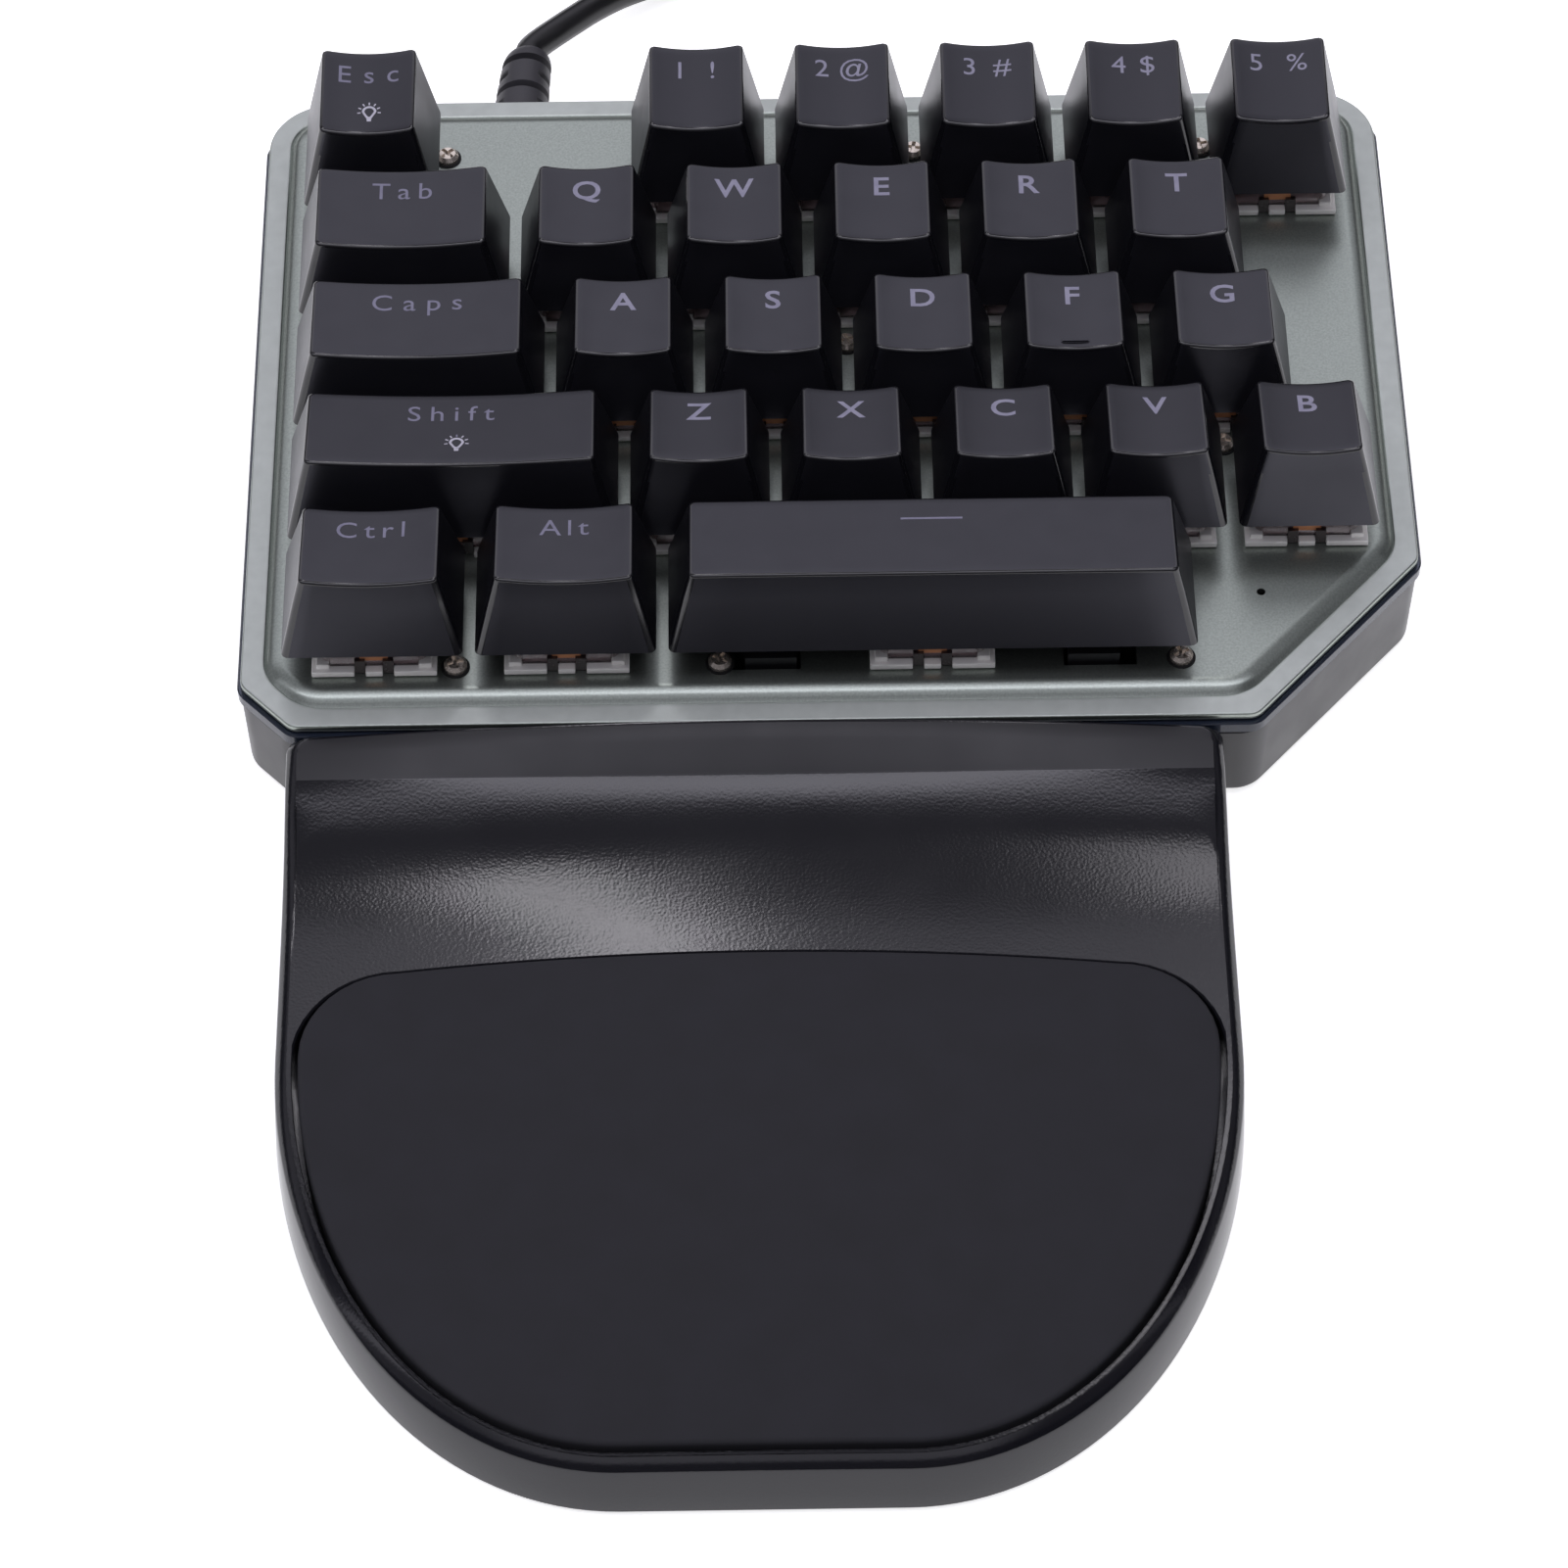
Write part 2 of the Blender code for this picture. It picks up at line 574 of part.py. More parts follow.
def make_plate():
    """Pressed plate: a flat rim, a raised field and every opening in it."""
    bm = bmesh.new()
    shoulder = PLATE_RIM_WIDTH + PLATE_SHOULDER_RUN
    under = RIM_TOP - PLATE_THICKNESS
    levels = ((shoulder, FIELD_UNDER), (PLATE_RIM_WIDTH, under), (0.0, under), (0.0, RIM_TOP),
              (PLATE_RIM_WIDTH, RIM_TOP), (shoulder, FIELD_TOP))
    loft(bm, [keypad_outline(inset, z, rear_round=PLATE_REAR_ROUND) for inset, z in levels])
    plate = to_object("top_plate", bm, PLATE_METAL)

    def fill(bm):
        z_low = FIELD_UNDER - CUT_OVERRUN
        z_high = FIELD_TOP + CUT_OVERRUN
        half = SWITCH_CUT_OUT / 2.0
        for _, x, y, _, _ in key_places():
            add_box(bm, x - half, x + half, y - half, y + half, z_low, z_high)
        for x, y in screw_places():
            add_cylinder(bm, x, y, z_low, z_high, SCREW_RADIUS + FIT_GAP, HOLE_SIDES)
        x, y = (share * KEY_PITCH for share in INDICATOR_SHARES)
        add_cylinder(bm, x, y, z_low, z_high, INDICATOR_RADIUS, HOLE_SIDES)

    boolean(plate, tool_object("plate_openings", fill), 'DIFFERENCE')
    boolean(plate, tool_object("plate_housing_slots", housing_slots), 'DIFFERENCE')
    boolean(plate, tool_object("plate_arm_slots", arm_slots), 'DIFFERENCE')


# Board and switches
def switch_rings(x, y):
    """Rings of one switch housing, from its well floor round the outside to its foot."""
    def square(size, z):
        half = size / 2.0
        return rectangle(x - half, x + half, y - half, y + half, z)

    body = SWITCH_CUT_OUT - 2.0 * FIT_GAP
    flange_low = FIELD_TOP + HEAD_GAP
    flange_high = flange_low + SWITCH_FLANGE_THICKNESS
    return [
        square(SWITCH_WELL, FIELD_TOP + SLIDER_BOTTOM - KEY_TRAVEL - SWITCH_WELL_SPARE),
        square(SWITCH_WELL, FIELD_TOP + SWITCH_UPPER_HEIGHT),
        square(SWITCH_UPPER_TOP, FIELD_TOP + SWITCH_UPPER_HEIGHT),
        square(SWITCH_UPPER_BASE, flange_high),
        square(SWITCH_FLANGE, flange_high),
        square(SWITCH_FLANGE, flange_low),
        square(body, flange_low),
        square(body, BOARD_TOP - BOARD_THICKNESS / 2.0),
    ]


def make_board():
    """Circuit board with its soldered switches, and holes that clear the case bosses."""
    bm = bmesh.new()
    inset = CASE_OUTER_INSET + CASE_WALL + BOARD_SIDE_GAP
    loft(bm, [keypad_outline(inset, BOARD_UNDER), keypad_outline(inset, BOARD_TOP)])
    board = to_object("switch_board", bm, SWITCH_PLASTIC)

    def fill_switches(bm):
        for _, x, y, _, _ in key_places():
            loft(bm, switch_rings(x, y))

    def fill_holes(bm):
        for x, y in screw_places():
            add_cylinder(bm, x, y, BOARD_UNDER - CUT_OVERRUN, BOARD_TOP + CUT_OVERRUN,
                         BOSS_RADIUS + FIT_GAP, BOSS_SIDES)

    boolean(board, tool_object("switch_housings", fill_switches), 'UNION')
    boolean(board, tool_object("board_holes", fill_holes), 'DIFFERENCE')


# Stabilisers
def make_stab_housings():
    """Four housings, each open at its outer side where the wire hook enters."""
    z_low = BOARD_TOP + FIT_GAP
    z_high = FIELD_TOP + STAB_ABOVE_PLATE
    half_width = STAB_WIDTH / 2.0
    well_x = STAB_FOOT_X / 2.0 + FIT_GAP
    well_y = STAB_FOOT_Y / 2.0 + FIT_GAP
    slot_y = STAB_WIRE_RADIUS + 3.0 * FIT_GAP
    for key, label, side, x, y in stab_centres():
        bm = bmesh.new()
        well = rectangle(x - well_x, x + well_x, y - well_y, y + well_y, z_low)
        add_box(bm, x - half_width, x + half_width, y - STAB_FRONT, y + STAB_REAR, z_low, z_high)
        name = "stabiliser_housing_" + key + "_" + label
        housing = to_object(name, bm, STAB_PLASTIC)

        def fill_shelf(bm):
            add_box(bm, x - half_width, x + half_width, y, y + STAB_REAR + STAB_SHELF_REACH,
                    z_low, z_low + STAB_SHELF_THICKNESS)

        def fill_well(bm):
            add_box(bm, well[0].x, well[1].x, well[0].y, well[2].y,
                    z_low - CUT_OVERRUN, z_high + CUT_OVERRUN)

        def fill_slot(bm):
            outer = x + side * (half_width + CUT_OVERRUN)
            add_box(bm, min(x, outer), max(x, outer), y - slot_y, y + slot_y,
                    z_low - CUT_OVERRUN, z_high + CUT_OVERRUN)

        boolean(housing, tool_object(name + "_shelf", fill_shelf), 'UNION')
        boolean(housing, tool_object(name + "_well", fill_well), 'DIFFERENCE')
        boolean(housing, tool_object(name + "_slot", fill_slot), 'DIFFERENCE')


def bevelled_curve(name, points, radius, bevel_steps, mat, location=(0.0, 0.0, 0.0)):
    """Round tube with filled caps along a list of points."""
    curve = bpy.data.curves.new(name, 'CURVE')
    curve.dimensions = '3D'
    curve.bevel_depth = radius
    curve.bevel_resolution = bevel_steps
    curve.use_fill_caps = True
    spline = curve.splines.new('POLY')
    spline.points.add(len(points) - 1)
    for spot, point in zip(spline.points, points):
        spot.co = (*point, 1.0)
    curve.materials.append(mat)
    made = bpy.data.objects.new(name, curve)
    made.location = location
    made.parent = frame
    parts.objects.link(made)
    return made


def make_stab_wires():
    """Bent wires, the origin on the bar that each wire turns about."""
    places = {name: (x, y) for name, x, y, _, _ in key_places()}
    for key, reach in STABILISED_KEYS:
        x, y = places[key]
        arm_x = reach + STAB_WIDTH / 2.0 + FIT_GAP + STAB_WIRE_RADIUS
        hook_x = reach + STAB_WIDTH / 2.0 - STAB_HOOK_LENGTH
        rise = STAB_HOOK_HEIGHT + STAB_PIVOT_DEPTH
        right = [
            Vector((arm_x, 0.0, 0.0)),
            Vector((arm_x, -STAB_PIVOT_Y, rise)),
            Vector((hook_x, -STAB_PIVOT_Y, rise)),
        ]
        left = [Vector((-point.x, point.y, point.z)) for point in reversed(right)]
        bevelled_curve("stabiliser_wire_" + key, left + right, STAB_WIRE_RADIUS,
                       STAB_WIRE_BEVEL_STEPS, STEEL,
                       (x, y + STAB_PIVOT_Y, FIELD_TOP - STAB_PIVOT_DEPTH))


# Screws
def make_screws():
    """Eight pan-head screws through the plate into the case bosses."""
    head_under = FIELD_TOP + HEAD_GAP
    head_top = head_under + SCREW_HEAD_HEIGHT
    for number, (x, y) in enumerate(screw_places(), 1):
        bm = bmesh.new()
        rings = [
            circle(SCREW_RADIUS, head_under - SCREW_LENGTH, SCREW_SIDES),
            circle(SCREW_RADIUS, head_under, SCREW_SIDES),
            circle(SCREW_HEAD_RADIUS, head_under, SCREW_SIDES),
            circle(SCREW_HEAD_RADIUS, head_under + SCREW_HEAD_HEIGHT / 2.0, SCREW_SIDES),
            circle(SCREW_RADIUS, head_top, SCREW_SIDES),
        ]
        loft(bm, rings)
        to_object("plate_screw_" + str(number), bm, STEEL, parts, (x, y, 0.0))


# Case, light strip and feet
def keypad_foot_places():
    """Centres of the four feet under the keypad case."""
    left = PLATE_LEFT + CASE_DRAFT + FOOT_EDGE_INSET
    right = PLATE_RIGHT - CASE_DRAFT - FOOT_EDGE_INSET
    rear = PLATE_REAR - CASE_DRAFT - FOOT_EDGE_INSET
    front = PLATE_FRONT + CASE_DRAFT + FOOT_EDGE_INSET
    front_right = PLATE_RIGHT - FRONT_RIGHT_CUT_X - FOOT_EDGE_INSET
    return [(left, front), (front_right, front), (right, rear), (left, rear)]


def rest_foot_places():
    """Centres of the two feet under the wrist rest."""
    y = REST_FRONT + REST_FOOT_INSET_Y
    half = REST_WIDTH / 2.0 - REST_FOOT_INSET_X
    return [(REST_CENTRE_X - half, y), (REST_CENTRE_X + half, y)]


def make_feet():
    """Rubber feet, each in its own recess with its lower face on the desk."""
    names = ("foot_front_left", "foot_front_right", "foot_rear_right", "foot_rear_left",
             "rest_foot_left", "rest_foot_right")
    for name, (x, y) in zip(names, keypad_foot_places() + rest_foot_places()):
        bm = bmesh.new()
        add_cylinder(bm, 0.0, 0.0, 0.0, FOOT_HEIGHT, FOOT_RADIUS, FOOT_SIDES)
        to_object(name, bm, FOOT_RUBBER, parts, (x, y, 0.0))


def foot_recesses(places):
    """Filler for the recesses that hold feet at the given places."""
    def fill(bm):
        for x, y in places:
            add_cylinder(bm, x, y, -CUT_OVERRUN, FOOT_HEIGHT + FIT_GAP,
                         FOOT_RADIUS + FIT_GAP, FOOT_SIDES)
    return fill


def make_case():
    """Drafted tray with screw bosses, foot recesses and the lead hole in its rear wall."""
    bm = bmesh.new()
    outer = CASE_OUTER_INSET
    inner = outer + CASE_WALL
    floor = CASE_BOTTOM + CASE_FLOOR
    levels = ((outer + CASE_DRAFT + CASE_EDGE, CASE_BOTTOM),
              (outer + CASE_DRAFT, CASE_BOTTOM + CASE_EDGE), (outer, CASE_TOP),
              (inner, CASE_TOP), (inner + CASE_DRAFT, floor))
    loft(bm, [keypad_outline(inset, z, CASE_CORNER_RADIUS) for inset, z in levels])
    case = to_object("bottom_case", bm, CASE_PLASTIC)

    def fill_bosses(bm):
        for x, y in screw_places():
            add_cylinder(bm, x, y, floor - CASE_FLOOR / 2.0, FIELD_UNDER - FIT_GAP,
                         BOSS_RADIUS, BOSS_SIDES)

    def fill_holes(bm):
        bottom = FIELD_TOP + HEAD_GAP - SCREW_LENGTH - BOSS_HOLE_EXTRA_DEPTH
        for x, y in screw_places():
            add_cylinder(bm, x, y, bottom, FIELD_UNDER + CUT_OVERRUN,
                         SCREW_RADIUS + FIT_GAP, HOLE_SIDES)

    def fill_lead_hole(bm):
        rear = KEYPAD_REAR + CUT_OVERRUN
        front = PLATE_REAR - CASE_WALL - CASE_DRAFT - CUT_OVERRUN
        made = bmesh.ops.create_cone(bm, cap_ends=True, segments=BOOT_SIDES,
                                     radius1=BOOT_NECK_RADIUS + FIT_GAP,
                                     radius2=BOOT_NECK_RADIUS + FIT_GAP, depth=rear - front)
        for vert in made["verts"]:
            x, y, z = vert.co
            vert.co = (LEAD_EXIT_X + x, (rear + front) / 2.0 - z, LEAD_EXIT_HEIGHT + y)

    boolean(case, tool_object("case_bosses", fill_bosses), 'UNION')
    boolean(case, tool_object("boss_holes", fill_holes), 'DIFFERENCE')
    boolean(case, tool_object("case_foot_recesses", foot_recesses(keypad_foot_places())),
            'DIFFERENCE')
    boolean(case, tool_object("lead_hole", fill_lead_hole), 'DIFFERENCE')


def make_light_strip():
    """Clear ring between the case and the plate."""
    bm = bmesh.new()
    inner = STRIP_WIDTH - STRIP_PROUD
    rings = [
        keypad_outline(-STRIP_PROUD, STRIP_BOTTOM),
        keypad_outline(-STRIP_PROUD, STRIP_TOP),
        keypad_outline(inner, STRIP_TOP),
        keypad_outline(inner, STRIP_BOTTOM),
    ]
    loft(bm, rings + rings[:1], cap_first=False, cap_last=False)
    bmesh.ops.remove_doubles(bm, verts=bm.verts, dist=MERGE_DISTANCE)
    to_object("light_strip", bm, CLEAR_ACRYLIC)


# Wrist rest
def rest_height(x, y):
    """Height of the top surface of the wrist rest above the desk."""
    run = min(max(REST_REAR - y, 0.0), REST_DEPTH)
    across = (x - REST_CENTRE_X) / (REST_WIDTH / 2.0)
    bulge = 1.0 - min(1.0, across * across)
    fade = max(0.0, 1.0 - run / REST_LIP_RUN)
    past_lip = max(0.0, run - REST_LIP_RUN)
    share = (run - past_lip * REST_SADDLE_STRETCH * bulge) / REST_DEPTH
    level = REST_REAR_HEIGHT * smooth_value(share, REST_RUN_SHARES, REST_HEIGHT_SHARES)
    return level + REST_LIP_ARCH * bulge * fade


def smooth_value(at, stops, values):
    """Cubic through stops and values, with slopes taken from the neighbours."""
    last = len(stops) - 1
    slopes = []
    for i in range(last + 1):
        low = max(i - 1, 0)
        high = min(i + 1, last)
        slopes.append((values[high] - values[low]) / (stops[high] - stops[low]))
    i = 0
    while i < last - 1 and at > stops[i + 1]:
        i += 1
    span = stops[i + 1] - stops[i]
    t = (at - stops[i]) / span
    return ((2.0 * t ** 3 - 3.0 * t ** 2 + 1.0) * values[i]
            + (t ** 3 - 2.0 * t ** 2 + t) * span * slopes[i]
            + (3.0 * t ** 2 - 2.0 * t ** 3) * values[i + 1]
            + (t ** 3 - t ** 2) * span * slopes[i + 1])


def rest_outline(inset, rear, corner, arch=0.0):
    """Outline of the wrist rest moved inwards, as x and y, from the rear left corner round."""
    half = REST_WIDTH / 2.0 - inset
    flat = REST_FLAT_FRONT / 2.0
    front = REST_FRONT + inset
    round_half = half - flat
    round_depth = REST_ROUND_DEPTH - inset
    side_end = front + round_depth
    side_start = rear - arch - corner
    side_low = min(side_end, side_start - REST_SIDE_MIN)

    def side_x(y):
        sink = max(0.0, side_end - y) / round_depth
        return flat + round_half * math.sqrt(1.0 - sink * sink)

    reach = side_x(side_start) - (half - corner)
    points = []
    for i in range(OUTLINE_REAR_STEPS + 1):
        across = -1.0 + 2.0 * i / OUTLINE_REAR_STEPS
        x = across * (half - corner)
        points.append((x, rear - arch * across * across))
    for i in range(1, OUTLINE_CORNER_STEPS + 1):
        angle = math.pi / 2.0 * (1.0 - i / OUTLINE_CORNER_STEPS)
        points.append((half - corner + reach * math.cos(angle),
                       side_start + corner * math.sin(angle)))
    for i in range(1, OUTLINE_SIDE_STEPS + 1):
        y = side_start + (side_low - side_start) * i / OUTLINE_SIDE_STEPS
        points.append((side_x(y), y))
    first = math.asin((side_end - side_low) / round_depth)
    for i in range(1, OUTLINE_ROUND_STEPS + 1):
        angle = first + (math.pi / 2.0 - first) * i / OUTLINE_ROUND_STEPS
        points.append((flat + round_half * math.cos(angle),
                       side_end - round_depth * math.sin(angle)))
    for i in range(1, OUTLINE_FRONT_STEPS):
        points.append((flat - REST_FLAT_FRONT * i / OUTLINE_FRONT_STEPS, front))
    right_side = points[OUTLINE_REAR_STEPS + 1:len(points) - (OUTLINE_FRONT_STEPS - 1)]
    points += [(-x, y) for x, y in reversed(right_side)]
    return [(REST_CENTRE_X + x, y) for x, y in points]


def flat_ring(spots, z):
    """Outline at one height."""
    return [Vector((x, y, z)) for x, y in spots]


def surface_ring(spots, drop=0.0):
    """Outline laid on the top surface of the wrist rest, lowered by drop."""
    return [Vector((x, y, rest_height(x, y) - drop)) for x, y in spots]


def between(first, second, share):
    """Outline part of the way from one outline to another."""
    return [(a[0] + (b[0] - a[0]) * share, a[1] + (b[1] - a[1]) * share)
            for a, b in zip(first, second)]


def pocket_outline(inset):
    """Edge of the pad pocket, moved inwards by inset."""
    return rest_outline(REST_RIM_WIDTH + inset, REST_REAR - POCKET_REAR_RUN - inset,
                        POCKET_CORNER - inset, POCKET_REAR_ARCH)


def make_rest_shell():
    """Top shell of the wrist rest, with the pad pocket above and a hollow below."""
    bm = bmesh.new()
    bottom = FOOT_DROP
    outside = rest_outline(0.0, REST_REAR, REST_REAR_CORNER)
    drafted = rest_outline(REST_DRAFT, REST_REAR, REST_REAR_CORNER)
    crest = rest_outline(REST_RIM_CHAMFER, REST_REAR - REST_DRAFT, REST_REAR_CORNER)
    pocket = pocket_outline(0.0)
    hollow = rest_outline(REST_WALL, REST_REAR - REST_WALL, REST_REAR_CORNER)
    under = pocket_outline(-REST_WALL)
    ceiling = POCKET_FLOOR - POCKET_FLOOR_THICKNESS
    rings = [flat_ring(pocket, POCKET_FLOOR), surface_ring(pocket)]
    rings += [surface_ring(between(crest, pocket, share)) for share in reversed(REST_SWEEP_SHARES)]
    rings += [surface_ring(crest), surface_ring(drafted, REST_RIM_DROP), flat_ring(outside, bottom),
              flat_ring(hollow, bottom)]
    under_drop = REST_RIM_DROP + REST_WALL
    rings += [surface_ring(hollow, under_drop)]
    rings += [surface_ring(between(hollow, under, share), under_drop)
              for share in REST_SWEEP_SHARES[1:]]
    rings += [surface_ring(under, under_drop), flat_ring(under, ceiling)]
    loft(bm, rings)
    to_object("wrist_rest_shell", bm, REST_PLASTIC)


def make_rest_base():
    """Flat plate that closes the wrist rest from below."""
    bm = bmesh.new()
    inset = REST_WALL + FIT_GAP
    spots = rest_outline(inset, REST_REAR - inset, REST_REAR_CORNER)
    loft(bm, [flat_ring(spots, FOOT_DROP), flat_ring(spots, FOOT_DROP + BASE_THICKNESS)])
    base = to_object("wrist_rest_base", bm, REST_PLASTIC)
    boolean(base, tool_object("rest_foot_recesses", foot_recesses(rest_foot_places())), 'DIFFERENCE')


def make_pad():
    """Crowned soft pad in the pocket, its edge rolled down into the gap."""
    bm = bmesh.new()
    bottom = POCKET_FLOOR + FIT_GAP
    edge = pocket_outline(PAD_GAP)
    rolled = pocket_outline(PAD_GAP + PAD_EDGE_ROLL)
    centre_y = (REST_REAR - POCKET_REAR_RUN + REST_FRONT) / 2.0
    centre = [(REST_CENTRE_X, centre_y)] * len(edge)
    rings = [flat_ring(edge, bottom), surface_ring(edge, PAD_EDGE_ROLL - PAD_RISE),
             surface_ring(rolled, -PAD_RISE)]
    for share in PAD_CROWN_SHARES:
        rings.append(surface_ring(between(rolled, centre, share),
                                  -PAD_RISE - PAD_CROWN * (1.0 - (1.0 - share) ** 2)))
    loft(bm, rings)
    to_object("wrist_pad", bm, PAD_SKIN)


# Lead
def make_boot():
    """Strain relief: flange inside the rear wall, neck through it, grooved taper outside."""
    wall_out = PLATE_REAR - CASE_OUTER_INSET
    wall_in = wall_out - CASE_WALL - CASE_DRAFT
    start = wall_out + FIT_GAP
    end = start + BOOT_LENGTH
    profile = [
        (BOOT_FLANGE_RADIUS, wall_in - FIT_GAP - BOOT_FLANGE_THICKNESS),
        (BOOT_FLANGE_RADIUS, wall_in - FIT_GAP),
        (BOOT_NECK_RADIUS, wall_in - FIT_GAP),
        (BOOT_NECK_RADIUS, start),
        (BOOT_BASE_RADIUS, start),
    ]
    for share in BOOT_GROOVE_SHARES:
        radius = BOOT_BASE_RADIUS + (BOOT_TIP_RADIUS - BOOT_BASE_RADIUS) * share
        y = start + BOOT_LENGTH * share
        profile += [(radius, y), (radius - BOOT_GROOVE_DEPTH, y),
                    (radius - BOOT_GROOVE_DEPTH, y + BOOT_GROOVE_WIDTH),
                    (radius, y + BOOT_GROOVE_WIDTH)]
    profile += [(BOOT_TIP_RADIUS, end - BOOT_END_RADIUS), (BOOT_END_RADIUS, end)]
    bm = bmesh.new()
    rings = []
    for radius, y in profile:
        lean = BOOT_LEAN * max(0.0, (y - start) / BOOT_LENGTH) ** 2
        rings.append([Vector((lean + point.x, y, point.y))
                      for point in circle(radius, 0.0, BOOT_SIDES)])
    loft(bm, rings)
    to_object("cable_strain_relief", bm, LEAD_JACKET, parts, (LEAD_EXIT_X, 0.0, LEAD_EXIT_HEIGHT))
    return end


def catmull(points, steps):
    """Points on the smooth curve through a route."""
    padded = [points[0] * 2.0 - points[1]] + points + [points[-1] * 2.0 - points[-2]]
    made = []
    for a, b, c, d in zip(padded, padded[1:], padded[2:], padded[3:]):
        for step in range(steps):
            t = step / steps
            made.append(0.5 * (2.0 * b + (c - a) * t + (2.0 * a - 5.0 * b + 4.0 * c - d) * t * t
                               + (3.0 * b - a - 3.0 * c + d) * t ** 3))
    made.append(points[-1])
    return made


def coil_points():
    """Centre line of the coil: two layers, spiralling in below and out above."""
    low = LEAD_RADIUS + FIT_GAP / 3.0
    plug_axis = PLUG_HEIGHT / 2.0
    end_radius = COIL_OUTER_RADIUS + COIL_LAST_TURN_STEP
    turns_in = (COIL_TURNS - (end_radius - COIL_OUTER_RADIUS) / COIL_TURN_STEP) / 2.0
    inner_radius = COIL_OUTER_RADIUS - COIL_TURN_STEP * turns_in
    lift = TIE_THICKNESS + TIE_GAP
    count = int(round(COIL_TURNS * COIL_POINTS_PER_TURN))
    made = []
    for i in range(count + 1):
        turn = i / COIL_POINTS_PER_TURN
        radius = inner_radius + COIL_TURN_STEP * abs(turn - turns_in)
        climb = smooth_step((turn - turns_in) / COIL_CLIMB_TURNS + 0.5)
        drop = smooth_step((turn - COIL_TURNS + COIL_END_DROP_TURNS) / COIL_END_DROP_TURNS)
        z = low + COIL_LAYER_STEP * climb
        z += (plug_axis - z) * drop
        angle = 2.0 * math.pi * turn - math.pi / 2.0
        off_tie = math.remainder(angle, 2.0 * math.pi)
        z += lift * math.exp(-(off_tie / TIE_LIFT_SPREAD) ** 2)
        made.append(Vector((COIL_CENTRE_X + radius * math.cos(angle),
                            COIL_CENTRE_Y + radius * math.sin(angle), z)))
    return made


def smooth_step(t):
    """Ease from 0 to 1 with no slope at either end."""
    t = min(1.0, max(0.0, t))
    return t * t * (3.0 - 2.0 * t)


def path_length(points):
    """Length of a line through points."""
    return sum((b - a).length for a, b in zip(points, points[1:]))


def least_self_gap(points, radius):
    """Least clear space between stretches of a tube that aren't neighbours on it."""
    nearest = None
    skip = int(COIL_POINTS_PER_TURN / 2)
    for i, point in enumerate(points):
        for other in points[i + skip:]:
            gap = (other - point).length - 2.0 * radius
            if nearest is None or gap < nearest:
                nearest = gap
    return nearest


def make_lead(boot_end):
    """Free stretch from the boot to the coil, then the coil with a straight start and end."""
    coil = coil_points()
    straight = 2.0 * LEAD_RADIUS
    coil_start = coil[0] + Vector((-straight, 0.0, 0.0))
    coil_end = coil[-1] + Vector((-COIL_TAIL, 0.0, 0.0))
    bevelled_curve("cable_coil", [coil_start] + coil + [coil_end], LEAD_RADIUS,
                   COIL_BEVEL_STEPS, LEAD_JACKET)
    route = [Vector((LEAD_EXIT_X + BOOT_LEAN, boot_end + FIT_GAP, LEAD_EXIT_HEIGHT))]
    exit_point = Vector((LEAD_EXIT_X, PLATE_REAR, 0.0))
    route += [exit_point + Vector(shares) * 2.0 * LEAD_RADIUS for shares in LEAD_ROUTE_SHARES]
    route.append(coil_start + Vector((-FIT_GAP, 0.0, 0.0)))
    free = catmull(route, LEAD_STEPS_PER_POINT)
    bevelled_curve("cable", free, LEAD_RADIUS, LEAD_BEVEL_STEPS, LEAD_JACKET)
    total = path_length(free) + path_length([coil_start] + coil + [coil_end])
    print("lead length", round(total, 4), "m, free stretch", round(path_length(free), 4), "m")
    print("least gap between coil turns", round(least_self_gap(coil, LEAD_RADIUS) / MM, 3), "mm")
    return coil_end


def make_tie():
    """Flat tie round all turns on the right of the coil."""
    bm = bmesh.new()
    coil = coil_points()
    shares = [i / TIE_SAMPLES for i in range(TIE_SAMPLES)]
    fine = [a.lerp(b, share) for a, b in zip(coil, coil[1:]) for share in shares]
    turns = [point for point in fine
             if abs(point.y - COIL_CENTRE_Y) < TIE_WIDTH / 2.0 and point.x > COIL_CENTRE_X]
    clear = LEAD_RADIUS + TIE_GAP
    x_low = min(point.x for point in turns) - clear
    x_high = max(point.x for point in turns) + clear
    z_low = TIE_THICKNESS
    z_high = max(point.z for point in turns) + clear
    rings = []
    for y, grow in ((-1.0, 0.0), (-1.0, 1.0), (1.0, 1.0), (1.0, 0.0)):
        reach = grow * TIE_THICKNESS
        level = COIL_CENTRE_Y + y * TIE_WIDTH / 2.0
        rings.append([Vector((x_low - reach, level, z_low - reach)),
                      Vector((x_high + reach, level, z_low - reach)),
                      Vector((x_high + reach, level, z_high + reach)),
                      Vector((x_low - reach, level, z_high + reach))])
    loft(bm, rings + rings[:1], cap_first=False, cap_last=False)
    bmesh.ops.remove_doubles(bm, verts=bm.verts, dist=MERGE_DISTANCE)
    to_object("cable_tie", bm, TIE_FABRIC)


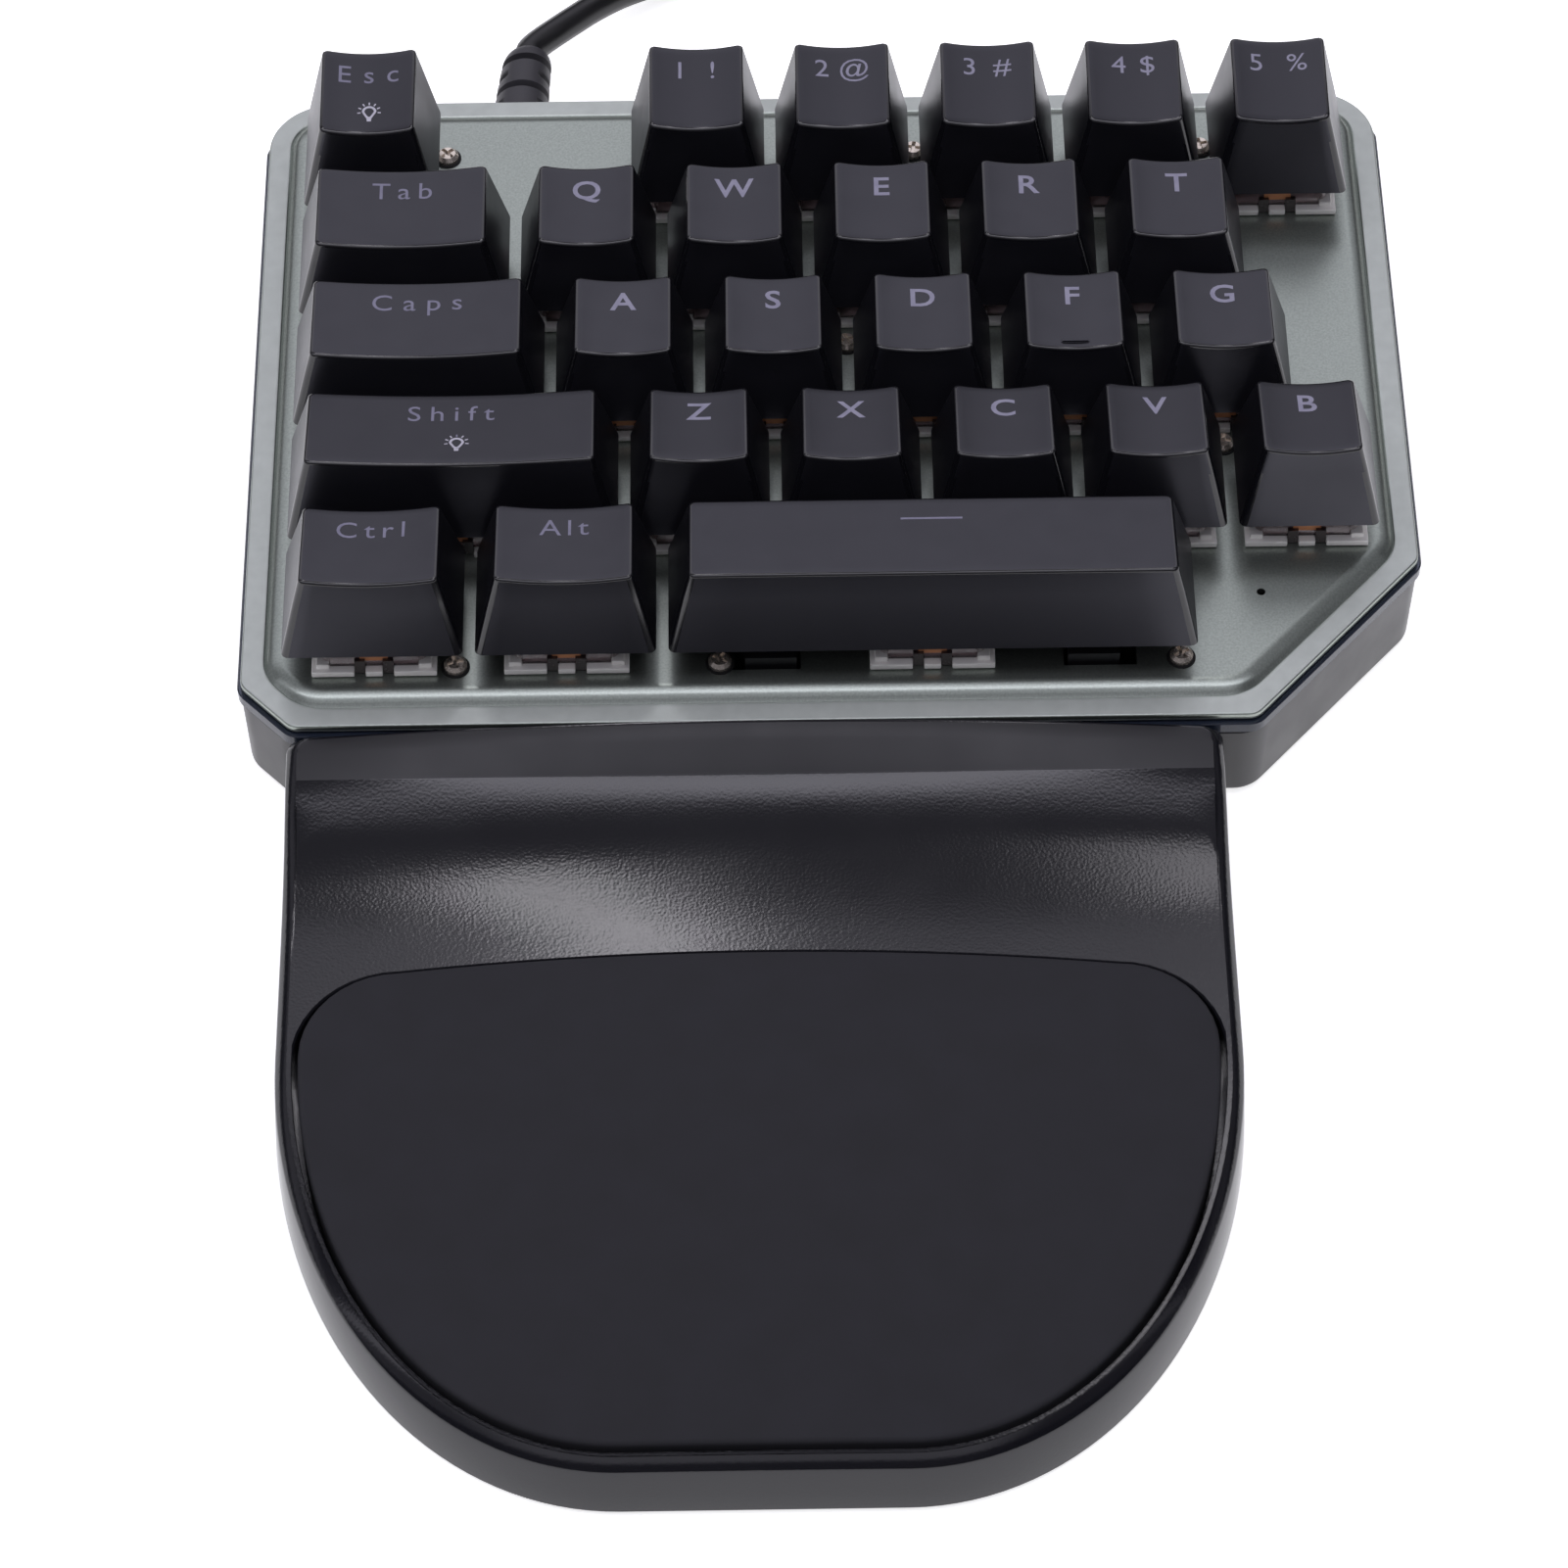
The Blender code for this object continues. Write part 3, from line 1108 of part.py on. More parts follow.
def make_plug(coil_end):
    """Moulded plug grip and its metal shell, lying on the desk beside the coil."""
    right = coil_end.x - FIT_GAP
    left = right - PLUG_LENGTH
    y = coil_end.y
    bm = bmesh.new()
    add_box(bm, left, right, y - PLUG_WIDTH / 2.0, y + PLUG_WIDTH / 2.0, 0.0, PLUG_HEIGHT)
    grip = to_object("usb_plug_body", bm, LEAD_JACKET)
    bevel = grip.modifiers.new("rounded_edges", 'BEVEL')
    bevel.width = PLUG_EDGE
    bevel.segments = 2
    z_mid = PLUG_HEIGHT / 2.0
    half_w = SHELL_WIDTH / 2.0
    half_h = SHELL_HEIGHT / 2.0
    rings = []
    for x, wall in ((left - FIT_GAP, 0.0), (left - FIT_GAP - SHELL_LENGTH, 0.0),
                    (left - FIT_GAP - SHELL_LENGTH, SHELL_WALL),
                    (left - FIT_GAP - SHELL_LENGTH + SHELL_POCKET, SHELL_WALL)):
        rings.append([Vector((x, y - half_w + wall, z_mid - half_h + wall)),
                      Vector((x, y + half_w - wall, z_mid - half_h + wall)),
                      Vector((x, y + half_w - wall, z_mid + half_h - wall)),
                      Vector((x, y - half_w + wall, z_mid + half_h - wall))])
    bm = bmesh.new()
    loft(bm, rings)
    to_object("usb_plug_shell", bm, STEEL)


key_caps = make_keys()
add_stab_feet(key_caps)
make_plate()
make_board()
make_stab_housings()
make_stab_wires()
make_screws()
make_case()
make_light_strip()
make_feet()
make_rest_shell()
make_rest_base()
make_pad()
lead_end = make_lead(make_boot())
make_tie()
make_plug(lead_end)
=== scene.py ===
# %% [markdown]
# # A left-hand gaming keypad with a wrist rest
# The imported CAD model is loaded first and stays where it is: it says where every piece goes and
# which body it moves with. Everything below dresses it, one piece at a time, in metres.

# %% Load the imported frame
import math

import bmesh
import bpy
from mathutils import Matrix, Vector


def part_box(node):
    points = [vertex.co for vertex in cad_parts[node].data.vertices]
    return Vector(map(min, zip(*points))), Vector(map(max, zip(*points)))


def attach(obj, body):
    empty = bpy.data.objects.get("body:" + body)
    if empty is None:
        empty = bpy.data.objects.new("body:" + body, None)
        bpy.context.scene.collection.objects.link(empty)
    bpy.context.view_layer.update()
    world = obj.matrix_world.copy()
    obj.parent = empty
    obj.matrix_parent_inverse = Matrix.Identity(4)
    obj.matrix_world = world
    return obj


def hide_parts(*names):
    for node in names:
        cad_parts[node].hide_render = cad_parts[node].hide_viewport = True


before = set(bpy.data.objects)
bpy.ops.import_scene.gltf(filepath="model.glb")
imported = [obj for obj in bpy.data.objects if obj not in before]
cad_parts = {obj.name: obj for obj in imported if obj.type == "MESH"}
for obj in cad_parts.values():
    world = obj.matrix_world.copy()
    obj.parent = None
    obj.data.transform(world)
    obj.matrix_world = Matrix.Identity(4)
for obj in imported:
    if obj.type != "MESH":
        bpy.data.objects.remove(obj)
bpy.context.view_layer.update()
MM = 0.001

# %% [markdown]
# ## Camera
# The photograph looks down at the keypad from the front, from about 0.7 m away, so the far keys
# are only a little smaller than the near ones. A long lens keeps that flat look. The three
# directions are those of the fitted photograph: right, up and the way the camera looks.

# %% Camera
SENSOR_WIDTH = 36.0
LENS_SHARE = 3.70655
CAMERA_PLACE = Vector((-9.938, -448.303, 576.176)) * MM
CAMERA_LOOK = Vector((0.004705, 0.614506, -0.788898)).normalized()
CAMERA_RIGHT = Vector((0.999892, -0.013848, -0.004823)).normalized()
NEAREST_VIEW = 10.0 * MM

camera_data = bpy.data.cameras.new("camera")
camera_data.sensor_width = SENSOR_WIDTH
camera_data.lens = SENSOR_WIDTH * LENS_SHARE
camera_data.clip_start = NEAREST_VIEW
camera = bpy.data.objects.new("camera", camera_data)
bpy.context.scene.collection.objects.link(camera)
camera_up = CAMERA_RIGHT.cross(CAMERA_LOOK)
camera.matrix_world = Matrix.Translation(CAMERA_PLACE) @ Matrix(
    (CAMERA_RIGHT, camera_up, -CAMERA_LOOK)).transposed().to_4x4()
bpy.context.scene.camera = camera
print("camera at", [round(c / MM) for c in CAMERA_PLACE], "mm")
print("lens", round(camera_data.lens), "mm")

# %% [markdown]
# ## Helpers for nodes and colours
# Colours are written as sRGB hex, as a colour picker shows them, and Blender wants linear light,
# so one function turns them. One more adds a node, sets it and fills its inputs.


# %% Colour and node helpers
def linear(code):
    """Linear RGBA of a colour written as six sRGB hex digits."""
    channels = [int(code[i:i + 2], 16) / 255.0 for i in (0, 2, 4)]
    return (*(c / 12.92 if c <= 0.04045 else ((c + 0.055) / 1.055) ** 2.4 for c in channels), 1.0)


def node(tree, kind, inputs=None, **settings):
    """Add a node, set its own settings, then fill its inputs with values or links."""
    made = tree.nodes.new(kind)
    for name, value in settings.items():
        setattr(made, name, value)
    for socket, value in (inputs or {}).items():
        if isinstance(value, bpy.types.NodeSocket):
            tree.links.new(value, made.inputs[socket])
        else:
            made.inputs[socket].default_value = value
    return made


def finish(name, code, roughness, metallic=0.0, ior=1.5, **more):
    """A Principled material in one colour, ready for its pattern."""
    made = bpy.data.materials.new(name)
    made.use_nodes = True
    shader = made.node_tree.nodes["Principled BSDF"]
    shader.inputs["Base Color"].default_value = linear(code)
    shader.inputs["Roughness"].default_value = roughness
    shader.inputs["Metallic"].default_value = metallic
    if metallic == 0.0:
        shader.inputs["IOR"].default_value = ior
    for socket, value in more.items():
        shader.inputs[socket.replace("_", " ")].default_value = value
    return made, made.node_tree, shader


# %% Pattern helpers
RELIEF_DETAIL = 2.0
CLOUD_DETAIL = 3.0
NOISE_MIDDLE = (0.3, 0.7)


def grain(tree, shader, size, depth, detail=RELIEF_DETAIL):
    """Fine relief of a moulded or blasted surface: noise of a real grain size as a bump."""
    place = node(tree, "ShaderNodeTexCoord").outputs["Object"]
    noise = node(tree, "ShaderNodeTexNoise",
                 {"Vector": place, "Scale": 1.0 / size, "Detail": detail}).outputs["Fac"]
    bump = node(tree, "ShaderNodeBump", {"Height": noise, "Distance": depth, "Strength": 1.0})
    tree.links.new(bump.outputs["Normal"], shader.inputs["Normal"])
    return noise


def colour_between(tree, share, low, high):
    """Colour from low to high over the middle of a noise's range."""
    ramp = node(tree, "ShaderNodeValToRGB", {"Fac": share})
    for stop, position, code in zip(ramp.color_ramp.elements, NOISE_MIDDLE, (low, high)):
        stop.position = position
        stop.color = linear(code)
    return ramp.outputs["Color"]


def mottle(tree, shader, socket, low, high, size):
    """Slow change of roughness or colour over a surface, from low to high."""
    place = node(tree, "ShaderNodeTexCoord").outputs["Object"]
    noise = node(tree, "ShaderNodeTexNoise",
                 {"Vector": place, "Scale": 1.0 / size, "Detail": CLOUD_DETAIL}).outputs["Fac"]
    if isinstance(low, str):
        spread = colour_between(tree, noise, low, high)
    else:
        spread = node(tree, "ShaderNodeMapRange",
                      {"Value": noise, "From Min": NOISE_MIDDLE[0], "From Max": NOISE_MIDDLE[1],
                       "To Min": low, "To Max": high}).outputs["Result"]
    tree.links.new(spread, shader.inputs[socket])


# %% [markdown]
# ## Plastics
# Nearly everything you see is moulded plastic. The tool leaves its own skin on each part: keycaps
# come out satin, the wrist rest has a spark-eroded skin that glitters a little where it catches
# the light, and the case is smoother. The grain is drawn coarser than real, 0.2 to 0.5 mm, because
# finer grain would vanish in the picture. A GRAIN is the size of a grain, a RELIEF its depth and a
# CLOUD the size of the slow changes of gloss or colour.

# %% Plastics of keycaps and legends
# Keycaps: nearly black ABS, whose satin skin turns grey where it mirrors something bright
KEYCAP_GRAIN, KEYCAP_RELIEF, KEYCAP_CLOUD = 0.22 * MM, 0.006 * MM, 4.0 * MM
KEYCAP_ABS, tree, shader = finish("keycap_abs_satin", "111115", 0.36, ior=1.6)
shader.inputs["Specular Tint"].default_value = linear("F2F2FF")
grain(tree, shader, KEYCAP_GRAIN, KEYCAP_RELIEF)
mottle(tree, shader, "Roughness", 0.34, 0.38, KEYCAP_CLOUD)

# Cap edges and front corners: the same plastic, smoothed by handling, so it draws thin
# bright lines
EDGE_CLOUD = 2.0 * MM
KEYCAP_EDGE, tree, shader = finish("keycap_abs_handled_edge", "111115", 0.15, ior=1.6)
mottle(tree, shader, "Roughness", 0.12, 0.18, EDGE_CLOUD)

# Legends: lilac grey translucent plastic, level with the cap
LEGEND_CLOUD = 1.5 * MM
LEGEND_PC, tree, shader = finish("legend_translucent", "9492A6", 0.5)
mottle(tree, shader, "Base Color", "8D8BA0", "9B99AC", LEGEND_CLOUD)

# Word legends: a dimmer copy of the legend plastic, painted shade for the weaker light on them
WORD_PC_PAINTED_SHADE, tree, shader = finish("word_translucent", "828095", 0.5)
mottle(tree, shader, "Base Color", "7B798E", "89879C", LEGEND_CLOUD)

# The lamp sign is filled with a whiter plastic, because it marks a light
SIGN_PC, tree, shader = finish("sign_translucent", "C4C2CE", 0.5)
mottle(tree, shader, "Base Color", "BFBDC9", "CAC8D4", LEGEND_CLOUD)

# %% Plastics of case and wrist rest
# Bottom case: dark ABS with a smoother skin that shows soft window-like streaks
CASE_GRAIN, CASE_RELIEF, CASE_CLOUD = 0.3 * MM, 0.006 * MM, 9.0 * MM
CASE_ABS, tree, shader = finish("case_abs_satin", "1B1A1E", 0.38)
grain(tree, shader, CASE_GRAIN, CASE_RELIEF)
mottle(tree, shader, "Roughness", 0.32, 0.42, CASE_CLOUD)

# Wrist rest: spark-eroded ABS, tiny facets that sparkle inside a highlight
REST_GRAIN, REST_RELIEF, REST_CLOUD = 0.36 * MM, 0.0095 * MM, 12.0 * MM
REST_ABS, tree, shader = finish("rest_abs_spark_eroded", "15151A", 0.14)
grain(tree, shader, REST_GRAIN, REST_RELIEF, detail=0.5)
mottle(tree, shader, "Roughness", 0.13, 0.16, REST_CLOUD)

# The band next to the keys has no texture, so it looks even
SMOOTH_CLOUD = 8.0 * MM
REST_SMOOTH, tree, shader = finish("rest_abs_smooth", "1B1B1F", 0.45)
mottle(tree, shader, "Roughness", 0.42, 0.48, SMOOTH_CLOUD)

# Wrist pad: soft skin over foam, so matt that it has no highlight
PAD_GRAIN, PAD_RELIEF, PAD_CLOUD = 0.35 * MM, 0.015 * MM, 6.0 * MM
PAD_SKIN, tree, shader = finish("pad_soft_skin", "25252A", 0.85)
grain(tree, shader, PAD_GRAIN, PAD_RELIEF, detail=4.0)
mottle(tree, shader, "Base Color", "242428", "27272C", PAD_CLOUD)

# %% Plastics of the switches
# Switch housing below: white nylon, smooth and bright
SWITCH_CLOUD = 2.0 * MM
SWITCH_NYLON, tree, shader = finish("switch_white_nylon", "FCFAF5", 0.3)
mottle(tree, shader, "Roughness", 0.28, 0.38, SWITCH_CLOUD)

# Switch housing above: clear smoky polycarbonate that shows the stem inside
SWITCH_SMOKE, tree, shader = finish("switch_smoky_polycarbonate", "C9B6B8", 0.12, ior=1.58,
                                    Transmission_Weight=0.9)
mottle(tree, shader, "Roughness", 0.1, 0.2, SWITCH_CLOUD)

# Clips of the upper housing: real clip legs, coloured dark and nearly opaque as painted shade for
# the deep notches
CLIP_CLOUD = 1.0 * MM
CLIP_SMOKE_AND_PAINTED_SHADE, tree, shader = finish("switch_clip_dark_polycarbonate", "3A2F30", 0.25, ior=1.58)
mottle(tree, shader, "Roughness", 0.2, 0.3, CLIP_CLOUD)

# Stem: acetal in orange brown, with a soft waxy gloss
STEM_ACETAL, tree, shader = finish("stem_brown_acetal", "A8623A", 0.38)
mottle(tree, shader, "Roughness", 0.34, 0.42, SWITCH_CLOUD)

# Stabiliser housings: black glass-filled nylon, duller than the caps
STAB_GRAIN, STAB_RELIEF = 0.25 * MM, 0.01 * MM
STAB_NYLON, tree, shader = finish("stabiliser_black_nylon", "17171A", 0.5)
grain(tree, shader, STAB_GRAIN, STAB_RELIEF)

# %% Acrylic, board, rubber and the lead
# Light strip: dark clear acrylic with polished edges
STRIP_CLOUD = 6.0 * MM
ACRYLIC, tree, shader = finish("strip_clear_acrylic", "3E4759", 0.06, ior=1.49,
                               Transmission_Weight=0.6)
mottle(tree, shader, "Roughness", 0.04, 0.12, STRIP_CLOUD)

# Circuit board: black solder mask, whose slight waves follow the glass fibre below
BOARD_GRAIN, BOARD_RELIEF = 0.5 * MM, 0.01 * MM
BOARD_MASK, tree, shader = finish("board_solder_mask", "0F1512", 0.3)
grain(tree, shader, BOARD_GRAIN, BOARD_RELIEF)

# Feet: black rubber, so matt that only its grain shows
FOOT_GRAIN, FOOT_RELIEF = 0.4 * MM, 0.03 * MM
FOOT_RUBBER, tree, shader = finish("foot_rubber", "19191B", 0.85)
grain(tree, shader, FOOT_GRAIN, FOOT_RELIEF)

# Lead and plug grip: PVC with a smooth satin skin
LEAD_GRAIN, LEAD_RELIEF, LEAD_CLOUD = 0.5 * MM, 0.004 * MM, 7.0 * MM
LEAD_PVC, tree, shader = finish("lead_pvc", "0A0A0C", 0.4)
grain(tree, shader, LEAD_GRAIN, LEAD_RELIEF)
mottle(tree, shader, "Roughness", 0.32, 0.42, LEAD_CLOUD)

# Boot: the softer, greyer rubber of a strain relief
BOOT_GRAIN, BOOT_RELIEF = 0.4 * MM, 0.006 * MM
BOOT_RUBBER, tree, shader = finish("boot_grey_rubber", "3A393D", 0.5)
grain(tree, shader, BOOT_GRAIN, BOOT_RELIEF)

# Dark rings under the screws: painted shade for the shadowed hole round each head, dull and dark
SHADE_RING_GRAIN, SHADE_RING_RELIEF = 0.2 * MM, 0.02 * MM
SHADE_RING_PAINT, tree, shader = finish("washer_black_fibre", "0C0C0D", 0.8)
grain(tree, shader, SHADE_RING_GRAIN, SHADE_RING_RELIEF)

# Tie: woven hook-and-loop tape, whose threads give it a matt, knobbly look
TIE_THREAD, TIE_RELIEF = 0.6 * MM, 0.15 * MM
TIE_TAPE, tree, shader = finish("tie_woven_tape", "1D1D20", 0.85, Sheen_Weight=0.3)
place = node(tree, "ShaderNodeTexCoord").outputs["Object"]
weave = node(tree, "ShaderNodeTexVoronoi", {"Vector": place, "Scale": 1.0 / TIE_THREAD})
bump = node(tree, "ShaderNodeBump",
            {"Height": weave.outputs["Distance"], "Distance": TIE_RELIEF, "Strength": 1.0})
tree.links.new(bump.outputs["Normal"], shader.inputs["Normal"])

print("plastics and soft materials made:", len(bpy.data.materials))

# %% [markdown]
# ## Metals
# The plate is sheet metal under a thin grey-green satin coat, so it mirrors light but only as a
# broad soft glow, and a fine blasted grain breaks that glow up. The screws are bright plated.

# %% Metal materials
# Plate: satin coat with a blasted grain, each grain a little lighter or darker
PLATE_GRAIN, PLATE_RELIEF = 0.28 * MM, 0.007 * MM
PLATE_COAT, tree, shader = finish("plate_satin_coat", "989F98", 0.3, 0.88)
speckle = grain(tree, shader, PLATE_GRAIN, PLATE_RELIEF, detail=3.0)
tree.links.new(colour_between(tree, speckle, "909790", "A0A7A0"), shader.inputs["Base Color"])

# The pressed rim: a lighter, more diffuse copy of the plate's coat, painted light that keeps the
# rim bright
RIM_GRAIN, RIM_RELIEF, RIM_CLOUD = 0.24 * MM, 0.006 * MM, 2.0 * MM
RIM_COAT_PAINTED_LIGHT, tree, shader = finish("plate_rim_thick_coat", "BEC4BE", 0.42, 0.3)
grain(tree, shader, RIM_GRAIN, RIM_RELIEF, detail=3.0)
mottle(tree, shader, "Base Color", "BAC0BA", "C2C8C2", RIM_CLOUD)

# Contact leaf in a switch: bare copper alloy, dulled by air, a warm spot of colour
LEAF_CLOUD = 1.0 * MM
CONTACT_COPPER, tree, shader = finish("contact_leaf_copper", "D08D62", 0.45, 0.3)
mottle(tree, shader, "Roughness", 0.3, 0.4, LEAF_CLOUD)

# Screws: nickel over brass, a little warm and bright
SCREW_CLOUD = 0.8 * MM
SCREW_PLATING, tree, shader = finish("screw_bright_plating", "D8CEC2", 0.3, 0.8)
mottle(tree, shader, "Roughness", 0.2, 0.32, SCREW_CLOUD)

# Wires and plug shell: drawn or pressed steel with bright nickel
WIRE_CLOUD = 1.5 * MM
NICKEL, tree, shader = finish("bright_nickel", "C9C6BE", 0.22, 1.0)
mottle(tree, shader, "Roughness", 0.16, 0.32, WIRE_CLOUD)

# Plug contacts: gold flash, yellow and bright
GOLD, tree, shader = finish("contact_gold", "D9A441", 0.25, 1.0)
mottle(tree, shader, "Roughness", 0.2, 0.32, SCREW_CLOUD)
print("metals made, materials in all:", len(bpy.data.materials))

# %% [markdown]
# ## Shape helpers
# Most pieces here are skins drawn over rings of points, like ribs under a boat's hull. Rings with
# equally many points are joined by quads, and the ends are closed. Edges that turn sharply are
# marked sharp and all others are shaded smooth.

# %% Shape helpers
SHARP_ANGLE = math.radians(38.0)
MERGE = 0.001 * MM


def loft(bm, rings, close_first=True, close_last=True):
    """Skin over rings of equally many points, in order."""
    loops = [[bm.verts.new(point) for point in ring] for ring in rings]
    count = len(loops[0])
    for low, high in zip(loops, loops[1:]):
        for i in range(count):
            j = (i + 1) % count
            bm.faces.new((low[i], low[j], high[j], high[i]))
    if close_first:
        bm.faces.new(list(reversed(loops[0])))
    if close_last:
        bm.faces.new(loops[-1])
    return loops


def add_box(bm, low, high):
    """Box between two corners."""
    made = bmesh.ops.create_cube(bm, size=1.0)["verts"]
    for vert in made:
        vert.co = Vector(l + (h - l) * (c + 0.5) for l, h, c in zip(low, high, vert.co))
    return made


def circle(radius, z, sides):
    """Ring of points round the Z axis."""
    angles = [2.0 * math.pi * i / sides for i in range(sides)]
    return [Vector((radius * math.cos(angle), radius * math.sin(angle), z)) for angle in angles]


def add_disc(bm, centre, radius, depth, sides):
    """Round disc or pin about its centre."""
    made = bmesh.ops.create_cone(bm, cap_ends=True, segments=sides, radius1=radius,
                                 radius2=radius, depth=depth)
    bmesh.ops.translate(bm, verts=made["verts"], vec=centre)


def box_middle(name, z):
    """Middle of a CAD node's box, at one height."""
    low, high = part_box(name)
    return Vector(((low.x + high.x) / 2.0, (low.y + high.y) / 2.0, z))


def ease(t):
    """Ease from 0 to 1 with no slope at either end."""
    t = min(1.0, max(0.0, t))
    return t * t * (3.0 - 2.0 * t)


def steps(count):
    """Shares from 0 to 1 in so many steps."""
    return [i / count for i in range(count + 1)]


# %% Helpers for pieces
def new_object(name, mesh):
    """Object of a mesh, at the origin."""
    made = bpy.data.objects.new(name, mesh)
    bpy.context.scene.collection.objects.link(made)
    return made


def to_piece(name, bm, *materials, sharp=SHARP_ANGLE, outward=True):
    """Object from a bmesh, shaded smooth but for its sharp edges."""
    if outward:
        bmesh.ops.recalc_face_normals(bm, faces=bm.faces[:])
    for face in bm.faces:
        face.smooth = True
    for edge in bm.edges:
        if len(edge.link_faces) == 2 and edge.calc_face_angle(0.0) > sharp:
            edge.smooth = False
    mesh = bpy.data.meshes.new(name)
    bm.to_mesh(mesh)
    bm.free()
    for made in materials:
        mesh.materials.append(made)
    return new_object(name, mesh)


def place_piece(piece, body, slot, *nodes):
    """Ride a body and stand for CAD nodes; the slot argument is not used."""
    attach(piece, body)
    if nodes:
        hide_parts(*nodes)
    return piece


def plain(piece):
    """Turn a piece with modifiers into a plain mesh of the same name."""
    bpy.context.view_layer.update()
    evaluated = piece.evaluated_get(bpy.context.evaluated_depsgraph_get())
    mesh = bpy.data.meshes.new_from_object(evaluated)
    piece.modifiers.clear()
    piece.data = mesh
    mesh.name = piece.name
    return piece


def cut_away(piece, tool):
    """Boolean step that takes a tool out of a piece."""
    step = piece.modifiers.new(tool.name, 'BOOLEAN')
    step.operation = 'DIFFERENCE'
    step.solver = 'EXACT'
    step.object = tool
    return step


# %% [markdown]
# ## The lead
# The lead leaves a rubber boot at the back, bends right and runs out of the picture. The rest of
# its 1.5 m is put away as a flat coil behind the keypad, with a tie and a plug. The route is the
# CAD model's, as one curve with a round bevel, so the lead is one unbroken tube.

# %% Lead: route and coil
LEAD_RADIUS = 2.0 * MM
LEAD_GAP = 0.3 * MM
BOOT_BASE_RADIUS = 4.0 * MM
BOOT_LEAN = 1.0 * MM
# Points of the route in lead diameters: right, back and up from the desk below the boot
ROUTE_DIAMETERS = (
    (0.265, 4.7, 1.65), (0.46, 5.0, 1.64), (0.775, 5.35, 1.625), (1.225, 5.8, 1.6),
    (1.8, 6.4, 1.525), (2.425, 7.075, 1.4), (3.3, 7.9, 1.2), (4.35, 8.7, 0.925),
    (5.55, 9.4, 0.7), (7.0, 9.975, 0.525),
)
ROUTE_STEPS = 3
COIL_OFFSET = Vector((39.0, 74.7, 0.0)) * MM
COIL_OUTER_RADIUS = 34.0 * MM
COIL_TURN_STEP = 4.5 * MM
COIL_LAYER_STEP = 4.45 * MM
COIL_LAST_TURN_STEP = 4.7 * MM
COIL_TURNS = 8.5
COIL_POINTS_PER_TURN = 48
COIL_CLIMB_TURNS = 0.5
COIL_END_DROP_TURNS = 0.4
COIL_TAIL = 21.0 * MM
TIE_LIFT = 1.3 * MM
TIE_LIFT_SPREAD = 0.45

boot_low, boot_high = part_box("cable_strain_relief")
plate_low, plate_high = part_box("top_plate")
plug_low, plug_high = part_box("usb_plug_body")
exit_x = boot_low.x + BOOT_BASE_RADIUS
exit_z = (boot_low.z + boot_high.z) / 2.0
exit_floor = Vector((exit_x, plate_high.y, 0.0))


# %% Lead: curve through its route
def through(points, count):
    """Points on a smooth curve through a route."""
    longer = [points[0] * 2.0 - points[1]] + points + [points[-1] * 2.0 - points[-2]]
    made = []
    for a, b, c, d in zip(longer, longer[1:], longer[2:], longer[3:]):
        for step in range(count):
            t = step / count
            made.append(0.5 * (2.0 * b + (c - a) * t + (2.0 * a - 5.0 * b + 4.0 * c - d) * t * t
                               + (3.0 * b - a - 3.0 * c + d) * t ** 3))
    return made + [points[-1]]


def coil_line():
    """Centre line of the coil: in along the floor, then out again one layer up."""
    centre = exit_floor + COIL_OFFSET
    turns_in = (COIL_TURNS - COIL_LAST_TURN_STEP / COIL_TURN_STEP) / 2.0
    inner = COIL_OUTER_RADIUS - COIL_TURN_STEP * turns_in
    made = []
    for i in range(int(round(COIL_TURNS * COIL_POINTS_PER_TURN)) + 1):
        turn = i / COIL_POINTS_PER_TURN
        radius = inner + COIL_TURN_STEP * abs(turn - turns_in)
        z = LEAD_RADIUS + LEAD_GAP / 3.0
        z += COIL_LAYER_STEP * ease((turn - turns_in) / COIL_CLIMB_TURNS + 0.5)
        drop = ease((turn - COIL_TURNS + COIL_END_DROP_TURNS) / COIL_END_DROP_TURNS)
        z += ((plug_low.z + plug_high.z) / 2.0 - z) * drop
        angle = 2.0 * math.pi * turn - math.pi / 2.0
        z += TIE_LIFT * math.exp(-(math.remainder(angle, 2.0 * math.pi) / TIE_LIFT_SPREAD) ** 2)
        made.append(centre + Vector((radius * math.cos(angle), radius * math.sin(angle), z)))
    return made


coil = coil_line()
coil_start = coil[0] - Vector((2.0 * LEAD_RADIUS, 0.0, 0.0))
route = [Vector((exit_x + BOOT_LEAN, boot_high.y + LEAD_GAP, exit_z))]
route += [exit_floor + Vector(place) * 2.0 * LEAD_RADIUS for place in ROUTE_DIAMETERS]
route.append(coil_start - Vector((LEAD_GAP, 0.0, 0.0)))
lead_line = through(route, ROUTE_STEPS) + [coil_start] + coil
lead_line.append(coil[-1] - Vector((COIL_TAIL, 0.0, 0.0)))
lead_measured = sum((b - a).length for a, b in zip(lead_line, lead_line[1:]))
print("lead", round(lead_measured, 3), "m in", len(lead_line), "points")

# %% Lead: tube
lead_curve = bpy.data.curves.new("lead", 'CURVE')
lead_curve.dimensions = '3D'
lead_curve.bevel_depth = LEAD_RADIUS
lead_curve.bevel_resolution = 3
lead_curve.use_fill_caps = True
lead_spline = lead_curve.splines.new('POLY')
lead_spline.points.add(len(lead_line) - 1)
for spot, point in zip(lead_spline.points, lead_line):
    spot.co = (*point, 1.0)
lead_curve.materials.append(LEAD_PVC)
lead = new_object("lead", lead_curve)
place_piece(lead, "keypad", "lead_jacket", "cable", "cable_coil")

# %% [markdown]
# ## Tie and plug
# A strip of woven tape goes round all turns of the coil, and its end lies over itself. The plug is
# a moulded grip with finger grooves, a pressed metal shell with two latch windows, and inside it a
# white tongue with four gold contacts.

# %% Tie
TIE_THICKNESS = 0.9 * MM
TIE_CORNER = 2.2 * MM
TIE_TAB_LENGTH = 14.0 * MM
TIE_TAB_INSET = 1.0 * MM
TIE_ARC_STEPS = 6
tie_low, tie_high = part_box("cable_tie")


